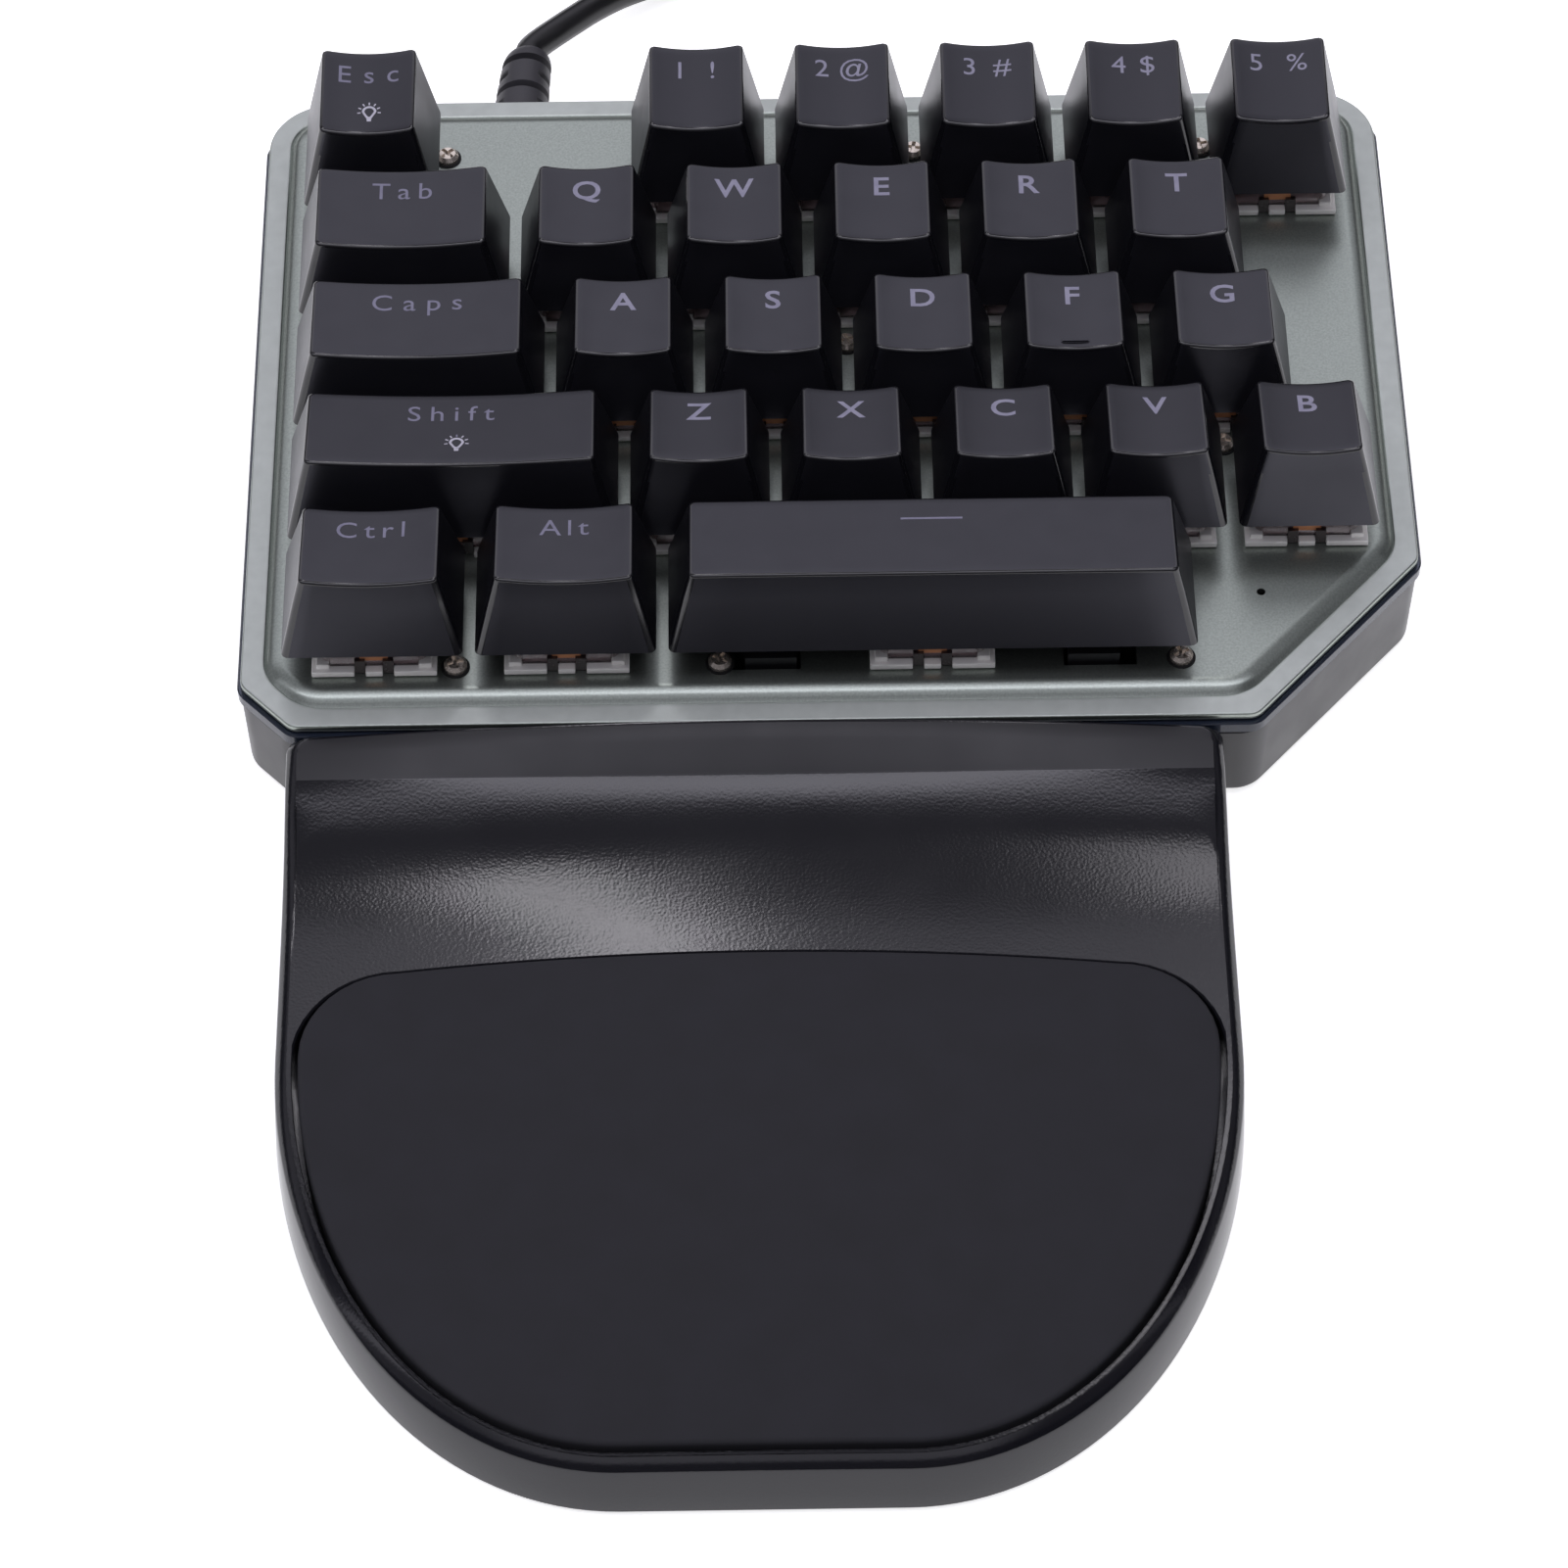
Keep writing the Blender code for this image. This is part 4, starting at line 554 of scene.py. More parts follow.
def round_corners(x_low, x_high, z_low, z_high, radius, arc_steps):
    """Rectangle in X and Z with round corners, as pairs."""
    made = []
    for x, z, start in ((x_high, z_high, 0.0), (x_low, z_high, 0.5),
                        (x_low, z_low, 1.0), (x_high, z_low, 1.5)):
        centre_x = x - radius if x == x_high else x + radius
        centre_z = z - radius if z == z_high else z + radius
        for share in steps(arc_steps):
            angle = math.pi * (start + 0.5 * share)
            made.append((centre_x + radius * math.cos(angle), centre_z + radius * math.sin(angle)))
    return made


bm = bmesh.new()
outer = round_corners(tie_low.x, tie_high.x, tie_low.z, tie_high.z, TIE_CORNER, TIE_ARC_STEPS)
inner = round_corners(tie_low.x + TIE_THICKNESS, tie_high.x - TIE_THICKNESS,
                      tie_low.z + TIE_THICKNESS, tie_high.z - TIE_THICKNESS,
                      TIE_CORNER - TIE_THICKNESS, TIE_ARC_STEPS)
tie_rings = []
for pairs, y in ((inner, tie_low.y), (outer, tie_low.y), (outer, tie_high.y), (inner, tie_high.y)):
    tie_rings.append([Vector((x, y, z)) for x, z in pairs])
loft(bm, tie_rings + tie_rings[:1], False, False)
bmesh.ops.remove_doubles(bm, verts=bm.verts, dist=MERGE)
tab_end = tie_low.x + TIE_CORNER + TIE_TAB_LENGTH
add_box(bm, (tie_low.x + TIE_CORNER, tie_low.y + TIE_TAB_INSET, tie_high.z),
        (tab_end, tie_high.y - TIE_TAB_INSET, tie_high.z + TIE_THICKNESS))
tie = to_piece("coil_tie", bm, TIE_TAPE)
place_piece(tie, "keypad", "tie_fabric", "cable_tie")

# %% Plug grip
PLUG_EDGE = 1.6 * MM
PLUG_NECK_LENGTH = 9.0 * MM
PLUG_NECK_HALF = 2.9 * MM
PLUG_GROOVE_DEPTH = 0.6 * MM
PLUG_GROOVE_STEP = 2.0 * MM
PLUG_GROOVES = 5
PLUG_GROOVE_START = 3.0 * PLUG_GROOVE_STEP
PLUG_GROOVE_SHAPE = ((0.0, 0.0), (0.2, 1.0), (0.4, 1.0), (0.6, 0.0))
PLUG_NECK_STEPS = 6
PLUG_NECK_TAPER = 1.4
PLUG_NECK_ROUNDNESS = 0.9
PLUG_ARC_STEPS = 5


def rounded_section(x, half_y, half_z, radius, centre):
    """Cross-section of the plug across X."""
    pairs = round_corners(-half_y, half_y, -half_z, half_z, radius, PLUG_ARC_STEPS)
    return [Vector((x, centre.y + y, centre.z + z)) for y, z in pairs]


plug_centre = (plug_low + plug_high) / 2.0
plug_half = (plug_high - plug_low) / 2.0
neck_start = plug_high.x - PLUG_NECK_LENGTH
sections = [(plug_low.x, -PLUG_EDGE / 2.0), (plug_low.x + PLUG_EDGE / 2.0, 0.0)]
for i in range(PLUG_GROOVES):
    x = plug_low.x + PLUG_GROOVE_START + i * PLUG_GROOVE_STEP
    sections += [(x + PLUG_GROOVE_STEP * along, -PLUG_GROOVE_DEPTH * depth)
                 for along, depth in PLUG_GROOVE_SHAPE]
sections.append((neck_start, 0.0))
bm = bmesh.new()
rings = [rounded_section(x, plug_half.y + grow, plug_half.z + grow / 2.0, PLUG_EDGE, plug_centre)
         for x, grow in sections]
for share in steps(PLUG_NECK_STEPS)[1:]:
    taper = ease(share * PLUG_NECK_TAPER)
    half_y = plug_half.y + (PLUG_NECK_HALF - plug_half.y) * taper
    half_z = plug_half.z + (PLUG_NECK_HALF - plug_half.z) * taper
    corner = PLUG_EDGE + (PLUG_NECK_HALF * PLUG_NECK_ROUNDNESS - PLUG_EDGE) * share
    rings.append(rounded_section(neck_start + PLUG_NECK_LENGTH * share, half_y, half_z, corner,
                                 plug_centre))
loft(bm, rings)
plug = to_piece("plug_grip", bm, LEAD_PVC)
place_piece(plug, "keypad", "lead_jacket", "usb_plug_body")

# %% Plug shell and contacts
SHELL_WALL = 0.4 * MM
SHELL_CORNER = 0.7 * MM
SHELL_CORNER_SHARE = 0.6
WINDOW_LENGTH = 2.4 * MM
WINDOW_WIDTH = 2.2 * MM
WINDOW_OFFSET_SHARE = 0.25
WINDOW_DEPTH = 0.15 * MM
TONGUE_TOP_SHARE = 0.1
CONTACTS = 4
CONTACT_STEP_SHARE = 0.42
CONTACT_WIDTH = 1.1 * MM
CONTACT_LENGTH = 7.5 * MM
CONTACT_HEIGHT = 0.1 * MM
shell_low, shell_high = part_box("usb_plug_shell")
shell_centre = (shell_low + shell_high) / 2.0
shell_half = (shell_high - shell_low) / 2.0


def shell_ring(x, inset):
    """Ring of the plug shell at one place along it."""
    pairs = round_corners(-shell_half.y + inset, shell_half.y - inset, -shell_half.z + inset,
                          shell_half.z - inset, SHELL_CORNER - inset * SHELL_CORNER_SHARE,
                          PLUG_ARC_STEPS)
    return [Vector((x, shell_centre.y + y, shell_centre.z + z)) for y, z in pairs]


bm = bmesh.new()
loft(bm, [shell_ring(shell_high.x, 0.0), shell_ring(shell_low.x + SHELL_WALL / 2.0, 0.0),
          shell_ring(shell_low.x, SHELL_WALL / 2.0), shell_ring(shell_low.x, SHELL_WALL),
          shell_ring(shell_high.x - SHELL_WALL, SHELL_WALL)])
plug_shell = to_piece("plug_shell", bm, NICKEL)
place_piece(plug_shell, "keypad", "plated_steel", "usb_plug_shell")

# The two latch windows are dark plates on the shell: painted shade for the holes
bm = bmesh.new()
for side in (-1.0, 1.0):
    y = shell_centre.y + side * shell_half.y * 2.0 * WINDOW_OFFSET_SHARE
    add_box(bm, (shell_centre.x - WINDOW_LENGTH / 2.0, y - WINDOW_WIDTH / 2.0,
                 shell_high.z - WINDOW_DEPTH),
            (shell_centre.x + WINDOW_LENGTH / 2.0, y + WINDOW_WIDTH / 2.0,
             shell_high.z + WINDOW_DEPTH / 4.0))
latch_window_shade = to_piece("plug_latch_windows", bm, STAB_NYLON)
place_piece(latch_window_shade, "keypad", "stabiliser_plastic")

bm = bmesh.new()
tongue_top = shell_centre.z + shell_half.z * TONGUE_TOP_SHARE
add_box(bm, (shell_low.x + SHELL_WALL * 2.0, shell_low.y + SHELL_WALL, shell_low.z + SHELL_WALL),
        (shell_high.x - SHELL_WALL, shell_high.y - SHELL_WALL, tongue_top))
tongue = to_piece("plug_tongue", bm, SWITCH_NYLON)
place_piece(tongue, "keypad", "switch_plastic")

bm = bmesh.new()
for i in range(CONTACTS):
    y = shell_centre.y + (i - (CONTACTS - 1) / 2.0) * shell_half.y * CONTACT_STEP_SHARE
    add_box(bm, (shell_low.x + SHELL_WALL * 3.0, y - CONTACT_WIDTH / 2.0, tongue_top),
            (shell_low.x + SHELL_WALL * 3.0 + CONTACT_LENGTH, y + CONTACT_WIDTH / 2.0,
             tongue_top + CONTACT_HEIGHT))
contacts = to_piece("plug_contacts", bm, GOLD)
place_piece(contacts, "keypad", "plated_steel")

# %% [markdown]
# ## The boot
# A boot keeps the lead from kinking at the case. It tapers, and cuts across it let it bend: some
# go all the way round, and between them pairs of short slots leave a bridge of rubber on top. One
# formula gives the radius at each place along and around the boot.

# %% Boot
BOOT_NECK_RADIUS = 2.9 * MM
BOOT_TIP_RADIUS = 3.3 * MM
BOOT_END_RADIUS = 2.3 * MM
BOOT_CUT_DEPTH = 1.1 * MM
BOOT_CUT_WIDTH = 0.85 * MM
BOOT_CUT_FLAT = 0.35 * BOOT_CUT_WIDTH
BOOT_CUT_SLOPE = 0.3 * BOOT_CUT_WIDTH
BOOT_RING_SHARES = (0.2, 0.52, 0.84)
BOOT_SLOT_SHARES = (0.36, 0.68)
BOOT_BRIDGE_SHARE = 0.62
BOOT_BRIDGE_FADE = 0.12
BOOT_SIDES = 40
BOOT_SLICES = 86
case_low, case_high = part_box("bottom_case")
boot_start = case_high.y + LEAD_GAP
boot_length = boot_high.y - boot_start


def cut_share(distance):
    """How deep a cut is at a distance from its middle, from 0 to 1."""
    return 1.0 - ease((abs(distance) - BOOT_CUT_FLAT) / BOOT_CUT_SLOPE)


def boot_radius(share, angle):
    """Radius of the boot at a share of its length and an angle round it."""
    radius = BOOT_BASE_RADIUS + (BOOT_TIP_RADIUS - BOOT_BASE_RADIUS) * share
    along = share * boot_length
    depth = max(cut_share(along - ring * boot_length) for ring in BOOT_RING_SHARES)
    side = ease((abs(math.cos(angle)) - BOOT_BRIDGE_SHARE) / BOOT_BRIDGE_FADE)
    slots = max(cut_share(along - slot * boot_length) for slot in BOOT_SLOT_SHARES)
    depth = max(depth, slots * side)
    radius -= BOOT_CUT_DEPTH * depth
    left = boot_length - along
    if left < BOOT_END_RADIUS:
        t = 1.0 - left / BOOT_END_RADIUS
        radius -= (BOOT_TIP_RADIUS - BOOT_END_RADIUS) * (1.0 - math.sqrt(max(0.0, 1.0 - t * t)))
    return radius


def boot_ring(y, radius_at):
    """Ring round the boot's axis."""
    made = []
    axis_x = exit_x + BOOT_LEAN * max(0.0, (y - boot_start) / boot_length) ** 2
    for i in range(BOOT_SIDES):
        angle = 2.0 * math.pi * i / BOOT_SIDES
        radius = radius_at(angle)
        made.append(Vector((axis_x + radius * math.cos(angle), y,
                            exit_z + radius * math.sin(angle))))
    return made


bm = bmesh.new()
rings = [boot_ring(boot_low.y, lambda angle: BOOT_NECK_RADIUS),
         boot_ring(boot_start, lambda angle: BOOT_NECK_RADIUS)]
for share in steps(BOOT_SLICES):
    rings.append(boot_ring(boot_start + boot_length * share,
                           lambda angle, share=share: boot_radius(share, angle)))
rings.append(boot_ring(boot_high.y - LEAD_GAP, lambda angle: LEAD_RADIUS - LEAD_GAP))
loft(bm, rings)
boot = to_piece("lead_boot", bm, BOOT_RUBBER)
place_piece(boot, "keypad", "lead_jacket", "cable_strain_relief")
print("boot", round(boot_length / MM, 1), "mm long")

# %% [markdown]
# ## Outline of the keypad
# Case, light strip and plate share one outline: a rectangle with four corners cut off at a slant.
# One function moves that outline in or out and rounds its corners, so every layer follows it.

# %% Keypad outline
FRONT_LEFT_CUT = Vector((6.5, 6.8)) * MM
FRONT_RIGHT_CUT = Vector((21.8, 24.6)) * MM
REAR_RIGHT_CUT = Vector((4.3, 6.9)) * MM
REAR_LEFT_CUT = Vector((5.0, 7.5)) * MM
CORNER_RADIUS = 2.4 * MM
CORNER_RADIUS_MIN = 0.5 * MM
CORNER_STEPS = 8
PLATE_REAR_ROUND = 8.4 * MM
ROUND_SHARE = 0.995


def keypad_corners(rear_round):
    """Corners counter-clockwise from above, the rear ones cut for an arc where there is one."""
    left, front = plate_low.x, plate_low.y
    right, rear = plate_high.x, plate_high.y
    arc_cut = Vector((1.0, 1.0)) * rear_round * (2.0 - math.sqrt(2.0))
    right_cut = arc_cut if rear_round else REAR_RIGHT_CUT
    left_cut = arc_cut if rear_round else REAR_LEFT_CUT
    return [Vector(corner) for corner in (
        (left, front + FRONT_LEFT_CUT.y), (left + FRONT_LEFT_CUT.x, front),
        (right - FRONT_RIGHT_CUT.x, front), (right, front + FRONT_RIGHT_CUT.y),
        (right, rear - right_cut.y), (right - right_cut.x, rear),
        (left + left_cut.x, rear), (left, rear - left_cut.y))]


def keypad_ring(inset, z, corner_radius=CORNER_RADIUS, rear_round=0.0):
    """The outline moved inwards by inset, with round corners, at one height."""
    corners = keypad_corners(rear_round)
    lines = []
    for i, corner in enumerate(corners):
        along = (corners[(i + 1) % len(corners)] - corner).normalized()
        lines.append((corner + Vector((-along.y, along.x)) * inset, along))
    ring = []
    for i, (base, after) in enumerate(lines):
        start, before = lines[i - 1]
        wide = rear_round * ROUND_SHARE if rear_round and i >= len(lines) // 2 else corner_radius
        radius = max(wide - inset, CORNER_RADIUS_MIN)
        cross = before.x * after.y - before.y * after.x
        offset = base - start
        corner = start + before * ((offset.x * after.y - offset.y * after.x) / cross)
        turn = math.atan2(cross, before.dot(after))
        centre = corner - before * (radius * math.tan(turn / 2.0))
        centre += Vector((-before.y, before.x)) * radius
        heading = math.atan2(before.y, before.x) - math.pi / 2.0
        for share in steps(CORNER_STEPS):
            angle = heading + turn * share
            ring.append(Vector((centre.x + radius * math.cos(angle),
                                centre.y + radius * math.sin(angle), z)))
    return ring


print("outline", round((plate_high.x - plate_low.x) / MM, 1), "x",
      round((plate_high.y - plate_low.y) / MM, 1), "mm")

# %% [markdown]
# ## The keys' places
# Every keycap in the CAD model is centred on its switch, so the middle of its box is the switch's
# place and its width says how wide the cap is. The rows have different heights, and each row's top
# leans its own way, so that the fingers meet the caps squarely.

# %% Key places
KEY_ROWS = ("ctrl alt space", "shift z x c v b", "caps a s d f g", "tab q w e r t",
            "esc 1 2 3 4 5")
field_top = plate_high.z


def key_spot(name):
    """Centre of a key on the plate's surface, and half the width of its cap."""
    low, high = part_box("keycap_" + name)
    return box_middle("keycap_" + name, field_top), (high.x - low.x) / 2.0


key_names = [(name, row) for row, names in enumerate(KEY_ROWS) for name in names.split()]
print(len(key_names), "keys")

# %% [markdown]
# ## Keycaps
# A keycap is a thin-walled cup, upside down. Its sides lean in, its top is hollowed like a shallow
# gutter for the fingertip, and all its edges have a small radius that catches the light. Rings go
# from inside the cup round its rim, up the sides, over the edge and in to the middle of the top.

# %% Keycap top and outline
CAP_BASE_HEIGHT = 5.1 * MM
CAP_TOP_INSET = 2.6 * MM
CAP_TOP_REAR = 8.3 * MM
CAP_TOP_FRONT = 5.55 * MM
CAP_DISH = 0.9 * MM
CAP_BASE_CORNER = 0.9 * MM
CAP_TOP_CORNER = 0.8 * MM
CAP_REAR_HEIGHTS = (14.1 * MM, 13.9 * MM, 14.1 * MM, 14.9 * MM, 17.35 * MM)
CAP_FRONT_HEIGHTS = (16.0 * MM, 16.25 * MM, 15.0 * MM, 15.0 * MM, 16.2 * MM)
CAP_HALF_DEPTH = 8.775 * MM
CAP_EDGE_POINTS = 12
CAP_ARC_STEPS = 4
FLAT_KEYS = ("space",)


def cap_surface(name, row, half, x, y):
    """Height of a cap's top above the plate at a place on it."""
    along = (y + CAP_TOP_FRONT) / (CAP_TOP_FRONT + CAP_TOP_REAR)
    level = CAP_FRONT_HEIGHTS[row] + (CAP_REAR_HEIGHTS[row] - CAP_FRONT_HEIGHTS[row]) * along
    if name in FLAT_KEYS:
        return level
    across = min(1.0, abs(x) / (half - CAP_TOP_INSET))
    return level - CAP_DISH * (1.0 - across * across)


def cap_outline(half, front, rear, corner):
    """Rounded rectangle with points along its front and rear edges."""
    inner = half - corner
    made = [(-inner + 2.0 * inner * share, -front) for share in steps(CAP_EDGE_POINTS)[:-1]]
    arcs = ((inner, -front + corner, -0.5), (inner, rear - corner, 0.0),
            (-inner, rear - corner, 0.5), (-inner, -front + corner, 1.0))
    for number, (x, y, start) in enumerate(arcs):
        for share in steps(CAP_ARC_STEPS):
            angle = math.pi * (start + 0.5 * share)
            made.append((x + corner * math.cos(angle), y + corner * math.sin(angle)))
        if number == 1:
            made += [(inner - 2.0 * inner * share, rear) for share in steps(CAP_EDGE_POINTS)[1:-1]]
    return made[:-1]


# %% Keycap rings
CAP_EDGE = 0.45 * MM
CAP_EDGE_STEPS = 4
CAP_RIM_EDGE = 0.2 * MM
CAP_WALL = 0.9 * MM
CAP_CEILING = 1.6 * MM
CAP_SIDE_SHARES = (0.0, 0.35, 0.7, 1.0)
CAP_TOP_SHARES = (0.12, 0.3, 0.5, 0.7, 0.88, 1.0)


def cap_rings(name, row, half):
    """Rings of a cap, from its ceiling round the rim to the middle of its top."""
    top_half = half - CAP_TOP_INSET
    depth = CAP_HALF_DEPTH
    ceiling = min(CAP_FRONT_HEIGHTS[row], CAP_REAR_HEIGHTS[row]) - CAP_DISH - CAP_CEILING

    def flat(pairs, z):
        return [Vector((x, y, z)) for x, y in pairs]

    rings = [flat(cap_outline(top_half - CAP_WALL, CAP_TOP_FRONT - CAP_WALL,
                              CAP_TOP_REAR - CAP_WALL, CAP_TOP_CORNER), ceiling)]
    rings.append(flat(cap_outline(half - CAP_WALL, depth - CAP_WALL, depth - CAP_WALL,
                                  CAP_TOP_CORNER), CAP_BASE_HEIGHT))
    rings.append(flat(cap_outline(half - CAP_RIM_EDGE, depth - CAP_RIM_EDGE, depth - CAP_RIM_EDGE,
                                  CAP_BASE_CORNER), CAP_BASE_HEIGHT))
    for share in CAP_SIDE_SHARES:
        pairs = cap_outline(half - CAP_TOP_INSET * share,
                            depth + (CAP_TOP_FRONT - depth) * share,
                            depth + (CAP_TOP_REAR - depth) * share,
                            CAP_BASE_CORNER + (CAP_TOP_CORNER - CAP_BASE_CORNER) * share)
        base = CAP_BASE_HEIGHT + CAP_RIM_EDGE
        rings.append([Vector((x, y, base + share * (cap_surface(name, row, half, x, y)
                                                    - CAP_EDGE - base))) for x, y in pairs])
    for share in steps(CAP_EDGE_STEPS)[1:]:
        angle = share * math.pi / 2.0
        inset = CAP_EDGE * (1.0 - math.cos(angle))
        drop = CAP_EDGE * (1.0 - math.sin(angle))
        pairs = cap_outline(top_half - inset, CAP_TOP_FRONT - inset, CAP_TOP_REAR - inset,
                            CAP_TOP_CORNER - inset / 2.0)
        rings.append([Vector((x, y, cap_surface(name, row, half, x, y) - drop)) for x, y in pairs])
    middle_y = (CAP_TOP_REAR - CAP_TOP_FRONT) / 2.0
    keep_x = max(0.0, 1.0 - (CAP_TOP_REAR + CAP_TOP_FRONT) / 2.0 / top_half)
    last = rings[-1]
    for share in CAP_TOP_SHARES:
        ring = []
        for point in last:
            x = point.x * (1.0 - share * (1.0 - keep_x))
            y = point.y + (middle_y - point.y) * share
            ring.append(Vector((x, y, cap_surface(name, row, half, x, y))))
        rings.append(ring)
    return rings, ceiling


# %% Keycaps with post and homing bar
POST_RADIUS = 2.75 * MM
POST_SIDES = 20
POST_BOTTOM = 6.1 * MM
HOMING_KEY = "f"
HOMING_HALF = Vector((1.8, 0.42)) * MM
HOMING_Y = -4.05 * MM
HOMING_RISE = 0.35 * MM
# Skins before the sides: from the ceiling to the inner rim, to the outer rim and to its edge
CAP_SIDE_START = 3
CORNER_NORMAL = 0.15


def make_keycap(name, row):
    """One cap with the post that grips its stem, and the homing bar where it has one."""
    spot, half = key_spot(name)
    rings, ceiling = cap_rings(name, row, half)
    bm = bmesh.new()
    loops = loft(bm, [[spot + point for point in ring] for ring in rings], close_last=False)
    bm.faces.ensure_lookup_table()
    bm.normal_update()
    count = len(loops[0])
    # The front corners of the sides and the rounded edge get the handled finish
    side_end = (CAP_SIDE_START + len(CAP_SIDE_SHARES) - 1) * count
    for face in bm.faces[CAP_SIDE_START * count:side_end]:
        across, along = abs(face.normal.x), abs(face.normal.y)
        if min(across, along) > CORNER_NORMAL and face.calc_center_median().y < spot.y:
            face.material_index = 1
    for face in bm.faces[side_end:side_end + CAP_EDGE_STEPS * count]:
        face.material_index = 1
    bmesh.ops.remove_doubles(bm, verts=bm.verts, dist=MERGE)
    loft(bm, [[spot + point for point in circle(POST_RADIUS, z, POST_SIDES)]
              for z in (ceiling + CAP_CEILING / 2.0, POST_BOTTOM)])
    if name == HOMING_KEY:
        level = cap_surface(name, row, half, 0.0, HOMING_Y)
        low = spot + Vector((-HOMING_HALF.x, HOMING_Y - HOMING_HALF.y, level - HOMING_RISE))
        high = spot + Vector((HOMING_HALF.x, HOMING_Y + HOMING_HALF.y, level + HOMING_RISE))
        bar = add_box(bm, low, high)
        edges = {edge for vert in bar for edge in vert.link_edges}
        bmesh.ops.bevel(bm, geom=list(edges), offset=HOMING_RISE / 2.0, segments=2,
                        affect='EDGES')
    cap = to_piece("cap_" + name, bm, KEYCAP_ABS, KEYCAP_EDGE)
    return place_piece(cap, "key_" + name, "keycap_plastic", "keycap_" + name)


cap_faces = sum(len(make_keycap(name, row).data.polygons) for name, row in key_names)
print("keycaps made, faces", cap_faces)

# %% [markdown]
# ## Legends
# The letters are clear plastic that lets light through, level with the cap's skin. A text curve
# gives each outline. It becomes a mesh, its long edges are cut up, and then every point is laid on
# the hollow top, so the letters bend with it. Plain letters are used throughout.

# %% Legend text
LEGENDS = {
    "esc": ("Esc", 7.8 * MM), "tab": ("Tab", 7.7 * MM), "caps": ("Caps", 11.4 * MM),
    "shift": ("Shift", 10.8 * MM), "ctrl": ("Ctrl", 8.4 * MM), "alt": ("Alt", 6.1 * MM),
    "1": ("1 !", 4.7 * MM), "2": ("2 @", 7.0 * MM), "3": ("3 #", 6.2 * MM),
    "4": ("4 $", 5.6 * MM), "5": ("5 %", 7.4 * MM),
}
LEGEND_HEIGHT = 3.05 * MM
WORD_HEIGHT = 2.75 * MM
LEGEND_Y = 4.2 * MM
WORD_Y = 4.45 * MM
LEGEND_WIDEN_SHARE = 1.05
LEGEND_BOLD = 0.07 * MM
LEGEND_SPACING_MIN = 0.8


def text_mesh(text, spacing, bold):
    """Flat mesh of some text at size 1, with its lowest and highest X and Y."""
    curve = bpy.data.curves.new("text", 'FONT')
    curve.body = text
    curve.space_character = spacing
    curve.offset = bold
    curve.resolution_u = 4
    curve.align_x = 'LEFT'
    holder = new_object("text", curve)
    bpy.context.view_layer.update()
    evaluated = holder.evaluated_get(bpy.context.evaluated_depsgraph_get())
    mesh = bpy.data.meshes.new_from_object(evaluated)
    bpy.data.objects.remove(holder)
    bpy.data.curves.remove(curve)
    xs = [vert.co.x for vert in mesh.vertices]
    ys = [vert.co.y for vert in mesh.vertices]
    return mesh, min(xs), max(xs), min(ys), max(ys)


mesh, _, _, capital_low, capital_high = text_mesh("E", 1.0, 0.0)
bpy.data.meshes.remove(mesh)
capital = capital_high - capital_low
print("a capital letter is", round(capital, 3), "of the text size")


def legend_pairs(bm, name):
    """Flat legend of a key in its cap's own X and Y."""
    text, width = LEGENDS.get(name, (name.upper(), None))
    scale = (LEGEND_HEIGHT if width is None else WORD_HEIGHT) / capital
    spacing = 1.0
    if width is not None:
        spans = []
        for trial in (1.0, 2.0):
            mesh, x_low, x_high, _, _ = text_mesh(text, trial, 0.0)
            bpy.data.meshes.remove(mesh)
            spans.append((x_high - x_low) * scale)
        spacing = 1.0 + (width - spans[0]) / (spans[1] - spans[0])
    bold = LEGEND_BOLD / scale if width is None else 0.0
    mesh, x_low, x_high, _, _ = text_mesh(text, max(spacing, LEGEND_SPACING_MIN), bold)
    widen = LEGEND_WIDEN_SHARE if width is None else 1.0
    level = LEGEND_Y if width is None else WORD_Y
    middle = (x_low + x_high) / 2.0
    for vert in mesh.vertices:
        vert.co = Vector(((vert.co.x - middle) * scale * widen,
                          (vert.co.y - capital / 2.0) * scale + level, 0.0))
    bm.from_mesh(mesh)
    bpy.data.meshes.remove(mesh)


# %% Lamp sign
LAMP_RADIUS = 0.95 * MM
LAMP_STROKE = 0.33 * MM
LAMP_NECK = 0.4
LAMP_FOOT_TAPER = 0.8
LAMP_FOOT_HEIGHT = 1.8 * LAMP_STROKE
LAMP_RAYS = 7
LAMP_RAY_SPREAD = 1.1
LAMP_RAY_HALF_STROKES = 0.28
LAMP_RAY_GAP_STROKES = 0.5
LAMP_RAY_LENGTH_STROKES = 1.3
LAMP_SIDES = 24


def add_flat(bm, pairs):
    """Flat face through some places."""
    bm.faces.new([bm.verts.new((x, y, 0.0)) for x, y in pairs])


